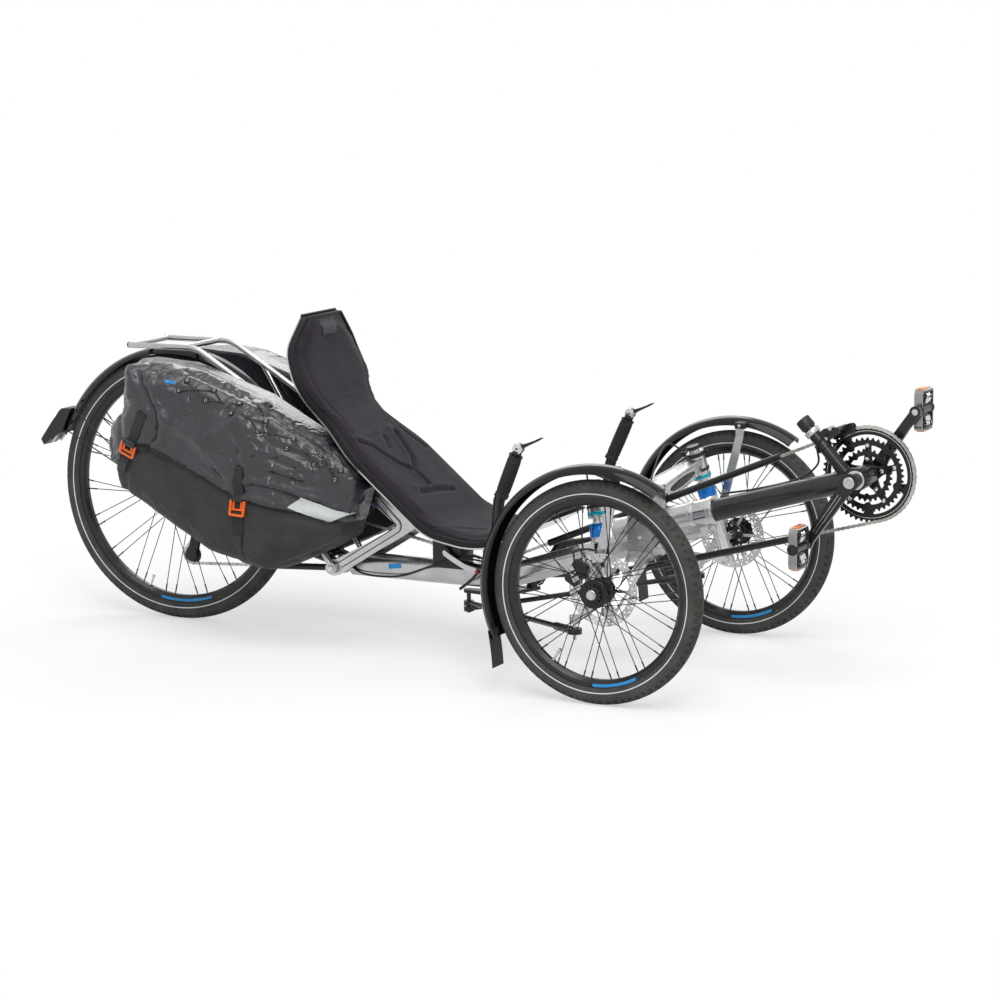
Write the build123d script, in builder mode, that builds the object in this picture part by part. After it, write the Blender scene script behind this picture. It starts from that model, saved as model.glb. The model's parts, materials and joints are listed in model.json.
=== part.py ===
from build123d import *
from math import asin, atan2, cos, hypot, pi, radians, sin, sqrt, tan
import os

# Recumbent trike: two steered front wheels, one driven rear wheel, reclined seat and rear bags.
# Millimetres. X points forward, Y to the rider's left, Z up, with the floor at Z = 0.

# Stance
WHEELBASE = 1310.0
TRACK = 780.0
REAR_OVERHANG = 390.0
REAR_END = WHEELBASE + REAR_OVERHANG
RUNNING_GAP = 0.05
SEAT_GAP = 0.2

# Wheels
FRONT_TYRE_R = 245.0
FRONT_TYRE_W = 44.0
FRONT_RIM_R = 207.0
REAR_TYRE_R = 328.0
REAR_TYRE_W = 46.0
REAR_RIM_R = 287.0
RIM_W = 25.0
RIM_DEPTH = 17.0
SPOKES = 36
SPOKE_W = 2.4
SPOKE_T = 1.8
DISC_R = 80.0
DISC_T = 2.0
DISC_BAND = 18.0
DISC_HOLES = 30
DISC_HOLE_R = 2.4

# Steering geometry: the kingpin leans back and in, and passes this far inboard of the wheel's middle
CASTER = 13.0
KINGPIN_LEAN = 13.0
KINGPIN_INBOARD = 68.0
KINGPIN_BACK = 12.0
STEER_ARM = 85.0
AXLE_R = 6.0
BALL_PIN_R = 8.0
STRUT_R = 12.5

# Frame
TUBE_H = 56.0
TUBE_W = 50.0
TUBE_CORNER = 21.0
FRAME_REAR = (-838.0, 176.0)
FRAME_KNEE = (-420.0, 174.0)
FRAME_NOSE = (78.0, 334.0)
FRAME_BEND_R = 300.0
BOOM_R = 25.0
BOOM_PITCH = 15.6
SLEEVE_WALL = 6.0
SLEEVE_REAR_X = -130.0
SLEEVE_FRONT_X = 112.0
BOOM_REAR_X = -20.0
CARRIER_HALF_W = 34.0

# Drive
BB_X = 451.0
BB_Z = 464.0
BB_SHELL_R = 21.0
BB_SHELL_W = 70.0
SPINDLE_R = 12.0
CRANK = 170.0
CRANK_ANGLE = 55.5
CHAIN_Y = 52.0
DROPOUT_Y = 74.0
CHAIN_W = 5.6
CHAIN_HALF_H = 4.6
PITCH = 12.7
RING_TEETH = (52, 40, 28)
RING_STEP = 6.5
RING_T = 1.8
COG_TEETH = 18
COG_STEP = 4.4
IDLER_TEETH = 13
PULLEY_TEETH = 11
PEDAL_W = 80.0
PEDAL_H = 94.0
PEDAL_T = 26.0
PEDAL_WINDOW_H = 28.0
PEDAL_WINDOW_Z = PEDAL_H / 2 - 7 - PEDAL_WINDOW_H / 2

# Handlebar
BAR_R = 11.0
BAR_PIVOT_X = -430.0
GRIP_R = 17.0
PLATE_Z = 134.0
PLATE_T = 8.0

# Seat
SHELL_T = 5.0
PAD_T = 20.0
SEAT_HALF_W = 165.0
HEAD_HALF_W = 76.0
WAIST_HALF_W = 118.0

# Bags and rack
RACK_Y = 80.0
RACK_R = 7.0
BAG_IN = RACK_Y + RACK_R + SEAT_GAP
BAG_OUT = 238.0

SIDES = (("right", -1), ("left", 1))

# the foremost point, ahead of the bottom bracket, is the pedal or the chain on the large ring
FRONT_REACH = max(CRANK * cos(radians(CRANK_ANGLE)) + PEDAL_T / 2,
                  PITCH / (2 * sin(pi / RING_TEETH[0])) + CHAIN_HALF_H)
# the front axle line lies this far ahead of the middle of the trike's length
FRONT_X = (REAR_END - BB_X - FRONT_REACH) / 2


def at(x, y=0.0, z=0.0):
    """a point measured from the front axle line on the floor"""
    return (FRONT_X + x, y, z)


def side_plane(y):
    """the side view at a given y: local x forward from the front axle line, local y up"""
    return Plane(origin=at(0, y), x_dir=(1, 0, 0), z_dir=(0, -1, 0))


def pitch_radius(teeth):
    """pitch radius of a chain wheel"""
    return PITCH / (2 * sin(pi / teeth))


def kingpin(side, z):
    """a point on the kingpin axis at height z"""
    rise = z - FRONT_TYRE_R
    inboard = TRACK / 2 - KINGPIN_INBOARD - rise * tan(radians(KINGPIN_LEAN))
    return at(-KINGPIN_BACK - rise * tan(radians(CASTER)), side * inboard, z)


def write(part, label):
    """label a finished piece and store it"""
    part.label = label
    export_step(part, f"parts/{label}.step")


os.makedirs("parts", exist_ok=True)

front_hub = {side: at(0, side * TRACK / 2, FRONT_TYRE_R) for _, side in SIDES}
rear_hub = at(-WHEELBASE, 0, REAR_TYRE_R)
boom_dir = (cos(radians(BOOM_PITCH)), 0, sin(radians(BOOM_PITCH)))


def boom_point(x):
    """a point on the boom's axis at a distance x from the front axle line"""
    return at(x, 0, BB_Z + (x - BB_X) * tan(radians(BOOM_PITCH)))


def wheel_plane(centre):
    """a plane through a wheel's middle: local x is the radius, local y points to the left"""
    return Plane(origin=centre, x_dir=(1, 0, 0), z_dir=(0, 0, 1))


def turned(centre, outline):
    """turn a closed outline of (radius, left) points about the axle through centre"""
    with BuildPart() as piece:
        with BuildSketch(wheel_plane(centre)):
            with BuildLine():
                Polyline(*outline, close=True)
            make_face()
        revolve(axis=Axis(centre, (0, 1, 0)))
    return piece.part


def tyre(centre, outer_r, width, rim_r):
    """a tyre of round section, cut flat where it stands on the rim"""
    seat_r = rim_r + SEAT_GAP
    foot = sqrt((width / 2) ** 2 - (outer_r - width / 2 - seat_r) ** 2)
    with BuildPart() as piece:
        with BuildSketch(wheel_plane(centre)):
            with BuildLine():
                Line((seat_r, -foot), (seat_r, foot))
                ThreePointArc((seat_r, foot), (outer_r, 0), (seat_r, -foot))
            make_face()
        revolve(axis=Axis(centre, (0, 1, 0)))
    return piece.part


def rim(centre, rim_r):
    """a box rim with sloping sides, open to the spokes at its inner edge"""
    inner = rim_r - RIM_DEPTH
    half = RIM_W / 2
    return turned(centre, [(inner, -5), (inner, 5), (inner + 7, half), (rim_r, half), (rim_r, -half),
                           (inner + 7, -half)])


def spoked_hub(centre, outline, flanges, rim_r, bore):
    """a turned hub whose flanges carry crossed spokes; flanges is a list of (left, radius)"""
    reach = rim_r - RIM_DEPTH - 3 * SEAT_GAP
    count = SPOKES // 4
    with BuildPart() as piece:
        add(turned(centre, outline))
        for left, flange_r in flanges:
            for lean, start in ((1, 0.0), (-1, 0.5)):
                for index in range(count):
                    angle = 2 * pi * (index + start) / count + (pi / SPOKES if left > 0 else 0)
                    foot_angle = angle - lean * radians(70)
                    foot = Vector(flange_r * cos(foot_angle), left + lean * SPOKE_W / 2, flange_r * sin(foot_angle))
                    tip = Vector(reach * cos(angle), left * 0.12, reach * sin(angle))
                    run = tip - foot
                    plane = Plane(origin=Vector(*centre) + foot, x_dir=(0, 1, 0), z_dir=run)
                    with BuildSketch(plane):
                        Rectangle(SPOKE_T, SPOKE_W)
                    extrude(amount=run.length)
        with Locations(Plane(origin=centre, z_dir=(0, 1, 0))):
            Cylinder(bore, 400, mode=Mode.SUBTRACT)
    return piece.part


# Front wheels
for name, side in SIDES:
    hub = front_hub[side]
    write(tyre(hub, FRONT_TYRE_R, FRONT_TYRE_W, FRONT_RIM_R), f"front_tyre_{name}")
    write(rim(hub, FRONT_RIM_R), f"front_rim_{name}")
    profile = [(1, -27), (22, -27), (22, -22), (29, -22), (29, -18), (13, -14), (13, 14), (32, 18), (32, 23),
               (18, 25), (16, 33), (1, 33)]
    outline = [(radius, side * out) for radius, out in profile]
    write(spoked_hub(hub, outline, [(side * -20, 26), (side * 20, 29)], FRONT_RIM_R, AXLE_R + RUNNING_GAP),
          f"front_hub_{name}")
    disc_y = hub[1] - side * (27 + DISC_T / 2)
    with BuildPart() as disc:
        with BuildSketch(Plane(origin=(hub[0], disc_y, hub[2]), x_dir=(1, 0, 0), z_dir=(0, -1, 0))):
            Circle(DISC_R)
            Circle(DISC_R - DISC_BAND, mode=Mode.SUBTRACT)
            Circle(24)
            with PolarLocations((24 + DISC_R - 16) / 2, 6):
                Rectangle(DISC_R - 16 - 24 + 10, 7)
            Circle(AXLE_R + 6, mode=Mode.SUBTRACT)
            for row, start in ((0.3, 0), (0.68, 180 / DISC_HOLES)):
                with PolarLocations(DISC_R - row * DISC_BAND, DISC_HOLES, start_angle=start):
                    Circle(DISC_HOLE_R, mode=Mode.SUBTRACT)
        extrude(amount=DISC_T / 2, both=True)
    write(disc.part, f"brake_disc_{name}")

# Rear wheel and cassette
write(tyre(rear_hub, REAR_TYRE_R, REAR_TYRE_W, REAR_RIM_R), "rear_tyre")
write(rim(rear_hub, REAR_RIM_R), "rear_rim")
rear_profile = [(1, -58), (11, -58), (11, -38), (30, -36), (30, -32), (13, -28), (13, 22), (30, 24), (30, 28),
                (16, 29), (16, 62), (1, 62)]
write(spoked_hub(rear_hub, rear_profile, [(-34, 27), (26, 27)], REAR_RIM_R, AXLE_R + RUNNING_GAP), "rear_hub")

cassette_cogs = [(COG_TEETH + 2 * step, CHAIN_Y - step * COG_STEP) for step in range(-1, 5)]
with BuildPart() as cassette:
    for teeth, cog_y in cassette_cogs:
        with BuildSketch(Plane(origin=(rear_hub[0], cog_y, rear_hub[2]), x_dir=(1, 0, 0), z_dir=(0, -1, 0))):
            Circle(pitch_radius(teeth) + 2.4)
            Circle(16 + SEAT_GAP, mode=Mode.SUBTRACT)
        extrude(amount=RING_T / 2, both=True)
    with BuildSketch(Plane(origin=(rear_hub[0], CHAIN_Y - 4 * COG_STEP, rear_hub[2]), x_dir=(1, 0, 0),
                           z_dir=(0, 1, 0))):
        Circle(22)
        Circle(16 + SEAT_GAP, mode=Mode.SUBTRACT)
    extrude(amount=5 * COG_STEP)
write(cassette.part, "cassette")

# Chain path: one loop over the chain wheels, in travel order; turn is 1 where it runs anticlockwise
# (x, z, pitch radius, turn, tip clearance radius or 0 for a bend of the guide tubes)
COG_R = pitch_radius(COG_TEETH)
IDLER_R = pitch_radius(IDLER_TEETH)
PULLEY_R = pitch_radius(PULLEY_TEETH)
RING_R = pitch_radius(RING_TEETH[0])
IDLER = (-470.0, 222.0)
GUIDE = (-1288.0, 252.0)
TENSION = (-1312.0, 150.0)
TUBE_BEND = (-448.0, 1874.6, 1700.0)
chain_wheels = [
    (BB_X, BB_Z, RING_R, 1, True),
    (IDLER[0], IDLER[1], IDLER_R, -1, True),
    (-WHEELBASE, REAR_TYRE_R, COG_R, 1, True),
    (GUIDE[0], GUIDE[1], PULLEY_R, -1, True),
    (TENSION[0], TENSION[1], PULLEY_R, 1, True),
    (TUBE_BEND[0], TUBE_BEND[1], TUBE_BEND[2], 1, False),
]


def tangents(wheels):
    """the direction of each straight run, from one wheel to the next, in radians"""
    runs = []
    for first, second in zip(wheels, wheels[1:] + wheels[:1]):
        gap_x = second[0] - first[0]
        gap_z = second[1] - first[1]
        swing = asin((first[3] * first[2] - second[3] * second[2]) / hypot(gap_x, gap_z))
        runs.append(atan2(gap_z, gap_x) + swing)
    return runs


def touch(wheel, heading, offset):
    """where a run with this heading touches a wheel, offset to the loop's outer side"""
    radius = wheel[3] * (wheel[2] + wheel[3] * offset)
    return (wheel[0] + radius * sin(heading), wheel[1] - radius * cos(heading))


def loop_edges(wheels, offset):
    """arcs over the wheels joined by straight runs, offset outward from the pitch line"""
    runs = tangents(wheels)
    for index, wheel in enumerate(wheels):
        heading_in = runs[index - 1]
        heading_out = runs[index]
        sweep_angle = (heading_out - heading_in) * wheel[3] % (2 * pi)
        middle = heading_in + wheel[3] * sweep_angle / 2
        ThreePointArc(touch(wheel, heading_in, offset), touch(wheel, middle, offset),
                      touch(wheel, heading_out, offset))
        following = wheels[(index + 1) % len(wheels)]
        Line(touch(wheel, heading_out, offset), touch(following, heading_out, offset))


TUBE_R = 8.0
TUBE_BORE_R = 6.2
# the lower tube ends this far ahead of the rear axle
TUBE_REAR_X = 180.0
runs = tangents(chain_wheels)
power_start = touch(chain_wheels[0], runs[0], 0)
power_slope = tan(runs[0])
return_slope_rear = tan(runs[4])
return_rear = touch(chain_wheels[4], runs[4], 0)
return_front = touch(chain_wheels[0], runs[5], 0)
return_slope_front = tan(runs[5])


def on_power(x):
    """a point of the upper run at x"""
    return at(x, CHAIN_Y, power_start[1] + (x - power_start[0]) * power_slope)


def on_return_rear(x):
    """a point of the lower run behind the bend"""
    return at(x, CHAIN_Y, return_rear[1] + (x - return_rear[0]) * return_slope_rear)


def on_return_front(x):
    """a point of the lower run ahead of the bend"""
    return at(x, CHAIN_Y, return_front[1] + (x - return_front[0]) * return_slope_front)


# Main frame: one bent tube, a sleeve for the boom, and a carrier for the front suspension
CARRIER_X = (-92.0, -28.0)
CARRIER_Z = (246.0, 412.0)
PIVOT = (-838.0, 176.0)
PIVOT_R = 16.0
PIVOT_PIN_R = 8.0
SHOCK_PIN_R = 8.0
SHAFT_R = 12.0
with BuildPart() as main_frame:
    with BuildLine() as spine:
        FilletPolyline(at(FRAME_REAR[0] + 18, 0, FRAME_REAR[1]), at(FRAME_KNEE[0], 0, FRAME_KNEE[1]),
                       at(FRAME_NOSE[0], 0, FRAME_NOSE[1]), radius=FRAME_BEND_R)
    with BuildSketch(Plane(origin=spine.line @ 0, x_dir=(0, 1, 0), z_dir=spine.line % 0)):
        RectangleRounded(TUBE_W, TUBE_H, TUBE_CORNER)
    sweep()
    sleeve_len = (SLEEVE_FRONT_X - SLEEVE_REAR_X) / cos(radians(BOOM_PITCH))
    with BuildSketch(Plane(origin=boom_point(SLEEVE_REAR_X), z_dir=boom_dir)):
        Circle(BOOM_R + SLEEVE_WALL)
    extrude(amount=sleeve_len)
    with BuildSketch(side_plane(0)):
        with Locations(((CARRIER_X[0] + CARRIER_X[1]) / 2, (CARRIER_Z[0] + CARRIER_Z[1]) / 2)):
            RectangleRounded(CARRIER_X[1] - CARRIER_X[0], CARRIER_Z[1] - CARRIER_Z[0], 12)
    extrude(amount=CARRIER_HALF_W, both=True)
    # the swingarm's pivot barrel behind the tube
    with Locations(Plane(origin=at(PIVOT[0], 0, PIVOT[1]), z_dir=(0, 1, 0))):
        Cylinder(PIVOT_R + 6, 44)
        Cylinder(PIVOT_PIN_R + RUNNING_GAP, 60, mode=Mode.SUBTRACT)
    # the boom's bore, open to the front
    with BuildSketch(Plane(origin=boom_point(BOOM_REAR_X - 1), z_dir=boom_dir)):
        Circle(BOOM_R + SEAT_GAP / 2)
    extrude(amount=sleeve_len, mode=Mode.SUBTRACT)
    # the steering shaft's bore
    with Locations(Plane(origin=at(BAR_PIVOT_X, 0, FRAME_KNEE[1]))):
        Cylinder(SHAFT_R + RUNNING_GAP, 160, mode=Mode.SUBTRACT)
write(main_frame.part, "main_frame")

# Boom with the bottom bracket shell
POST_BASE = (421.0, 468.0)
POST_TOP = (321.0, 577.0)
POST_R = 14.0
boom_len = (BB_X - BOOM_REAR_X) / cos(radians(BOOM_PITCH))
with BuildPart() as boom:
    with BuildSketch(Plane(origin=boom_point(BOOM_REAR_X), z_dir=boom_dir)):
        Circle(BOOM_R)
    extrude(amount=boom_len)
    with Locations(Plane(origin=at(BB_X, 0, BB_Z), z_dir=(0, 1, 0))):
        Cylinder(BB_SHELL_R + 4, BB_SHELL_W)
        Cylinder(SPINDLE_R + RUNNING_GAP, BB_SHELL_W + 20, mode=Mode.SUBTRACT)
    split(bisect_by=Plane(origin=at(BB_X + BB_SHELL_R + 4, 0, BB_Z), z_dir=(1, 0, 0)), keep=Keep.BOTTOM)
write(boom.part, "boom")

# Derailleur post: a stub tube with a clamp ring and a cap, coped to the boom
post_dir = Vector(POST_TOP[0] - POST_BASE[0], 0, POST_TOP[1] - POST_BASE[1])
post_plane = Plane(origin=at(POST_BASE[0], 0, POST_BASE[1]), z_dir=post_dir)
with BuildPart() as post:
    with BuildSketch(post_plane):
        Circle(POST_R)
    extrude(amount=post_dir.length)
    with BuildSketch(post_plane.offset(post_dir.length - 32)):
        Circle(POST_R + 3)
    extrude(amount=12)
    with BuildSketch(post_plane.offset(post_dir.length - 14)):
        Circle(POST_R + 2)
    extrude(amount=24)
    with BuildSketch(Plane(origin=boom_point(BOOM_REAR_X), z_dir=boom_dir)):
        Circle(BOOM_R + SEAT_GAP)
    extrude(amount=boom_len, mode=Mode.SUBTRACT)
    with Locations(Plane(origin=at(BB_X, 0, BB_Z), z_dir=(0, 1, 0))):
        Cylinder(BB_SHELL_R + 4 + SEAT_GAP, BB_SHELL_W, mode=Mode.SUBTRACT)
write(post.part.solids().sort_by(SortBy.VOLUME)[-1], "derailleur_post")

# Suspension towers and lower arms
TOWER_Z = (388.0, 452.0)
TOWER_R = STRUT_R + 9
EYE_Z = (184.0, 200.0)
LOWER_ARM_Z = 262.0


def kingpin_plane(side, z):
    """a plane square to the kingpin axis at height z"""
    low = Vector(*kingpin(side, 0))
    high = Vector(*kingpin(side, 500))
    return Plane(origin=kingpin(side, z), x_dir=(1, 0, 0), z_dir=high - low)


def kingpin_run(z_low, z_high):
    """length along the kingpin axis between two heights"""
    return (Vector(*kingpin(1, z_high)) - Vector(*kingpin(1, z_low))).length


with BuildPart() as towers:
    for name, side in SIDES:
        outer = kingpin(side, (TOWER_Z[0] + TOWER_Z[1]) / 2)
        root = at((CARRIER_X[0] + CARRIER_X[1]) / 2, side * CARRIER_HALF_W, 387)
        with BuildSketch(Plane(origin=root, x_dir=(1, 0, 0), z_dir=(0, side, 0))):
            RectangleRounded(54, 46, 8)
        with BuildSketch(Plane(origin=(outer[0], outer[1] - side * 8, outer[2]), x_dir=(1, 0, 0),
                               z_dir=(0, side, 0))):
            RectangleRounded(30, 34, 6)
        loft()
        with BuildSketch(kingpin_plane(side, TOWER_Z[0])):
            Circle(TOWER_R)
        extrude(amount=kingpin_run(*TOWER_Z))
        with BuildSketch(kingpin_plane(side, TOWER_Z[0] - 30)):
            Circle(STRUT_R + RUNNING_GAP)
        extrude(amount=kingpin_run(TOWER_Z[0] - 30, TOWER_Z[1] + 30), mode=Mode.SUBTRACT)
    # a saddle that the upper chain tube passes under
    with BuildSketch(Plane(origin=on_power(-160), z_dir=Vector(*on_power(40)) - Vector(*on_power(-160)))):
        Circle(TUBE_R + 5)
    extrude(amount=220, mode=Mode.SUBTRACT)
write(towers.part, "strut_towers")

with BuildPart() as lower_arms:
    for name, side in SIDES:
        eye = Vector(*kingpin(side, EYE_Z[0] + 4))
        inner = Vector(*at((CARRIER_X[0] + CARRIER_X[1]) / 2, side * CARRIER_HALF_W, LOWER_ARM_Z))
        run = eye - inner
        slope = Plane(origin=inner, x_dir=(1, 0, 0), z_dir=(0, run.Z, -run.Y))
        reach = hypot(run.Y, run.Z)
        forward = run.X
        local_side = 1 if slope.to_local_coords(eye).Y > 0 else -1
        with BuildSketch(slope):
            with BuildLine():
                Polyline((-28, 0), (28, 0), (forward + 12, local_side * reach), (forward - 12, local_side * reach),
                         close=True)
            make_face()
            with BuildLine():
                Polyline((-14, local_side * 34), (14, local_side * 34), (forward * 0.6, local_side * reach * 0.66),
                         close=True)
            make_face(mode=Mode.SUBTRACT)
        extrude(amount=6, both=True)
        with BuildSketch(kingpin_plane(side, EYE_Z[0])):
            Circle(BALL_PIN_R + 8)
        extrude(amount=kingpin_run(*EYE_Z))
        with BuildSketch(kingpin_plane(side, EYE_Z[0] - 30)):
            Circle(BALL_PIN_R + RUNNING_GAP)
        extrude(amount=kingpin_run(EYE_Z[0] - 30, EYE_Z[1] + 30), mode=Mode.SUBTRACT)
    # square the inner ends to the carrier's sides
    with BuildSketch(side_plane(0)):
        with Locations((-60, 262)):
            Rectangle(200, 200)
    extrude(amount=CARRIER_HALF_W, both=True, mode=Mode.SUBTRACT)
write(lower_arms.part, "lower_arms")

# Knuckles: upright, ball pin, stub axle, steering arm and brake post
UPRIGHT_Z = (214.0, 300.0)
UPRIGHT_R = 17.0
ROD_EYE_Z = 144.0
ROD_EYE_T = 12.0
STUD_R = 4.0
STUD_GAP = 11.0
# the caliper's depth inboard and outboard of the disc's middle plane
CALIPER_IN = 13.0
CALIPER_OUT = 7.5
# outline of the plate that carries the caliper, from the axle, seen from the side
brake_plate = [(-6, 264), (-8, 290), (-46, 312), (-78, 300), (-82, 268), (-60, 262)]


def arm_end(side):
    """where the steering arm's stud stands, over the tie rod's outer eye"""
    foot = kingpin(side, ROD_EYE_Z + 20)
    return (foot[0] - STEER_ARM, foot[1], ROD_EYE_Z)


for name, side in SIDES:
    hub = front_hub[side]
    stud = arm_end(side)
    arm_z = ROD_EYE_Z + ROD_EYE_T / 2 + STUD_GAP
    with BuildPart() as knuckle:
        with BuildSketch(kingpin_plane(side, UPRIGHT_Z[0])):
            Circle(UPRIGHT_R)
        extrude(amount=kingpin_run(*UPRIGHT_Z))
        with BuildSketch(kingpin_plane(side, EYE_Z[0] - 4)):
            Circle(BALL_PIN_R)
        extrude(amount=kingpin_run(EYE_Z[0] - 4, UPRIGHT_Z[0] + 4))
        # stub axle with the shoulder that the hub runs against
        with BuildSketch(Plane(origin=(hub[0], kingpin(side, hub[2])[1], hub[2]), z_dir=(0, side, 0))):
            Circle(AXLE_R)
        extrude(amount=KINGPIN_INBOARD + 36)
        with BuildSketch(Plane(origin=(hub[0], kingpin(side, hub[2])[1], hub[2]), z_dir=(0, side, 0))):
            Circle(11)
        extrude(amount=KINGPIN_INBOARD - 30)
        with BuildSketch(Plane(origin=(hub[0], hub[1] + side * 33.5, hub[2]), z_dir=(0, side, 0))):
            Circle(9)
        extrude(amount=5)
        # steering arm, rearward and down to the stud
        with BuildSketch(Plane(origin=(hub[0] - 26, kingpin(side, 235)[1], 232), x_dir=(0, 1, 0),
                               z_dir=(-1, 0, 0))):
            RectangleRounded(16, 34, 5)
        with BuildSketch(Plane(origin=(stud[0] + 8, stud[1], arm_z + 9), x_dir=(0, 1, 0), z_dir=(-1, 0, 0))):
            RectangleRounded(16, 18, 5)
        loft()
        with Locations(Plane(origin=(stud[0], stud[1], arm_z + 9))):
            Cylinder(12, 18)
        with BuildSketch(Plane(origin=(stud[0], stud[1], ROD_EYE_Z - ROD_EYE_T / 2 - 14))):
            Circle(STUD_R)
        extrude(amount=arm_z + 4 - (ROD_EYE_Z - ROD_EYE_T / 2 - 14))
        with BuildSketch(Plane(origin=(hub[0] - 12, kingpin(side, 240)[1], 240), x_dir=(0, 1, 0), z_dir=(-1, 0, 0))):
            RectangleRounded(16, 40, 5)
        extrude(amount=16)
        # brake post: a boss from the upright to a plate against the caliper
        post_y = hub[1] - side * (27 + DISC_T / 2 + CALIPER_IN)
        with BuildSketch(Plane(origin=(kingpin(side, 276)[0], kingpin(side, 276)[1], 276), z_dir=(0, side, 0))):
            Circle(10)
        extrude(amount=abs(post_y - kingpin(side, 276)[1]) - 4)
        with BuildSketch(Plane(origin=(0, post_y, 0), x_dir=(1, 0, 0), z_dir=(0, -side, 0))):
            with BuildLine():
                Polyline(*[(hub[0] + x, z if side > 0 else -z) for x, z in brake_plate], close=True)
            make_face()
        extrude(amount=8)
    write(knuckle.part, f"knuckle_{name}")

    # telescopic strut over the kingpin, with its blue collar
    with BuildPart() as strut:
        with BuildSketch(kingpin_plane(side, UPRIGHT_Z[1])):
            Circle(STRUT_R)
        extrude(amount=kingpin_run(UPRIGHT_Z[1], TOWER_Z[1] + 12))
        with BuildSketch(kingpin_plane(side, 336)):
            Circle(STRUT_R + 8)
        extrude(amount=kingpin_run(336, 376))
    write(strut.part, f"strut_{name}")

    # brake caliper behind the axle, straddling the disc
    disc_y = hub[1] - side * (27 + DISC_T / 2)
    with BuildPart() as caliper:
        caliper_plane = Plane(origin=(hub[0] - 62, disc_y, hub[2] + 34), x_dir=(cos(radians(30)), 0, -sin(radians(30))),
                              z_dir=(0, 1, 0))
        with BuildSketch(caliper_plane.offset(side * (CALIPER_OUT - CALIPER_IN) / 2)):
            RectangleRounded(34, 58, 8)
        extrude(amount=(CALIPER_OUT + CALIPER_IN) / 2, both=True)
        with Locations(Plane(origin=(hub[0], disc_y, hub[2]), z_dir=(0, 1, 0))):
            Cylinder(DISC_R + 4, DISC_T + 2.4, mode=Mode.SUBTRACT)
    write(caliper.part, f"brake_caliper_{name}")

# Front fenders: a crowned strip turned about the axle, with a flap and a stay
FENDER_R = 279.0
FENDER_HALF_W = 29.0
FENDER_CROWN = 17.0
FENDER_T = 2.2
FENDER_FROM = 57.0
FENDER_TO = 206.0


def fender(centre, outer_r, half_w, crown, start, stop):
    """a crowned strip from start to stop, in degrees from straight ahead over the top"""
    with BuildPart() as piece:
        plane = Plane(origin=centre, x_dir=(cos(radians(start)), 0, sin(radians(start))),
                      z_dir=(-sin(radians(start)), 0, cos(radians(start))))
        with BuildSketch(plane):
            with BuildLine():
                ThreePointArc((outer_r - crown, -half_w), (outer_r, 0), (outer_r - crown, half_w))
                Line((outer_r - crown, half_w), (outer_r - crown - FENDER_T, half_w - 1))
                ThreePointArc((outer_r - crown - FENDER_T, half_w - 1), (outer_r - FENDER_T, 0),
                              (outer_r - crown - FENDER_T, -half_w + 1))
                Line((outer_r - crown - FENDER_T, -half_w + 1), (outer_r - crown, -half_w))
            make_face()
        revolve(axis=Axis(centre, (0, -1, 0)), revolution_arc=stop - start)
    return piece.part


for name, side in SIDES:
    hub = front_hub[side]
    crown_z = FRONT_TYRE_R + FENDER_R - 9
    foot_x = kingpin(side, 291)[0]
    foot_y = kingpin(side, 291)[1] + side * (UPRIGHT_R / cos(radians(KINGPIN_LEAN)) + 2 + SEAT_GAP)
    with BuildPart() as front_fender:
        add(fender(hub, FENDER_R, FENDER_HALF_W, FENDER_CROWN, FENDER_FROM, FENDER_TO))
        # rubber flap at the rear end
        flap_top = (hub[0] + (FENDER_R - 9) * cos(radians(FENDER_TO - 3)),
                    hub[2] + (FENDER_R - 9) * sin(radians(FENDER_TO - 3)))
        with BuildSketch(Plane(origin=(flap_top[0], hub[1], flap_top[1]), x_dir=(0, 1, 0),
                               z_dir=(0.2, 0, -1))):
            Rectangle(50, 3)
        extrude(amount=74)
        # stay from the knuckle to the crown
        with BuildLine() as stay:
            FilletPolyline((foot_x, foot_y, 291), (foot_x + 6, foot_y + side * 8, 314),
                           (hub[0] + 24, hub[1] - side * 42, crown_z - 34),
                           (hub[0] + 24, hub[1] - side * 42, crown_z - 6), radius=12)
        with BuildSketch(Plane(origin=stay.line @ 0, x_dir=(1, 0, 0), z_dir=stay.line % 0)):
            Rectangle(20, 4)
        sweep()
        with BuildSketch(Plane(origin=(hub[0] + 24, hub[1] - side * 44, crown_z - 9), x_dir=(1, 0, 0),
                               z_dir=(0, side, 0))):
            Rectangle(24, 14)
        extrude(amount=26)
    write(front_fender.part, f"front_fender_{name}")

# Handlebar: a plate under the frame on a shaft through it, and two arms that rise to the grips
SHAFT_TOP_Z = 222.0
bar_points = [(-391, 88, 152), (-385, 104, 152), (-358, 165, 226), (-306, 280, 222), (-285, 288, 408),
              (-239, 296, 515)]
bar_radii = [14, 22, 34, 80]
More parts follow.
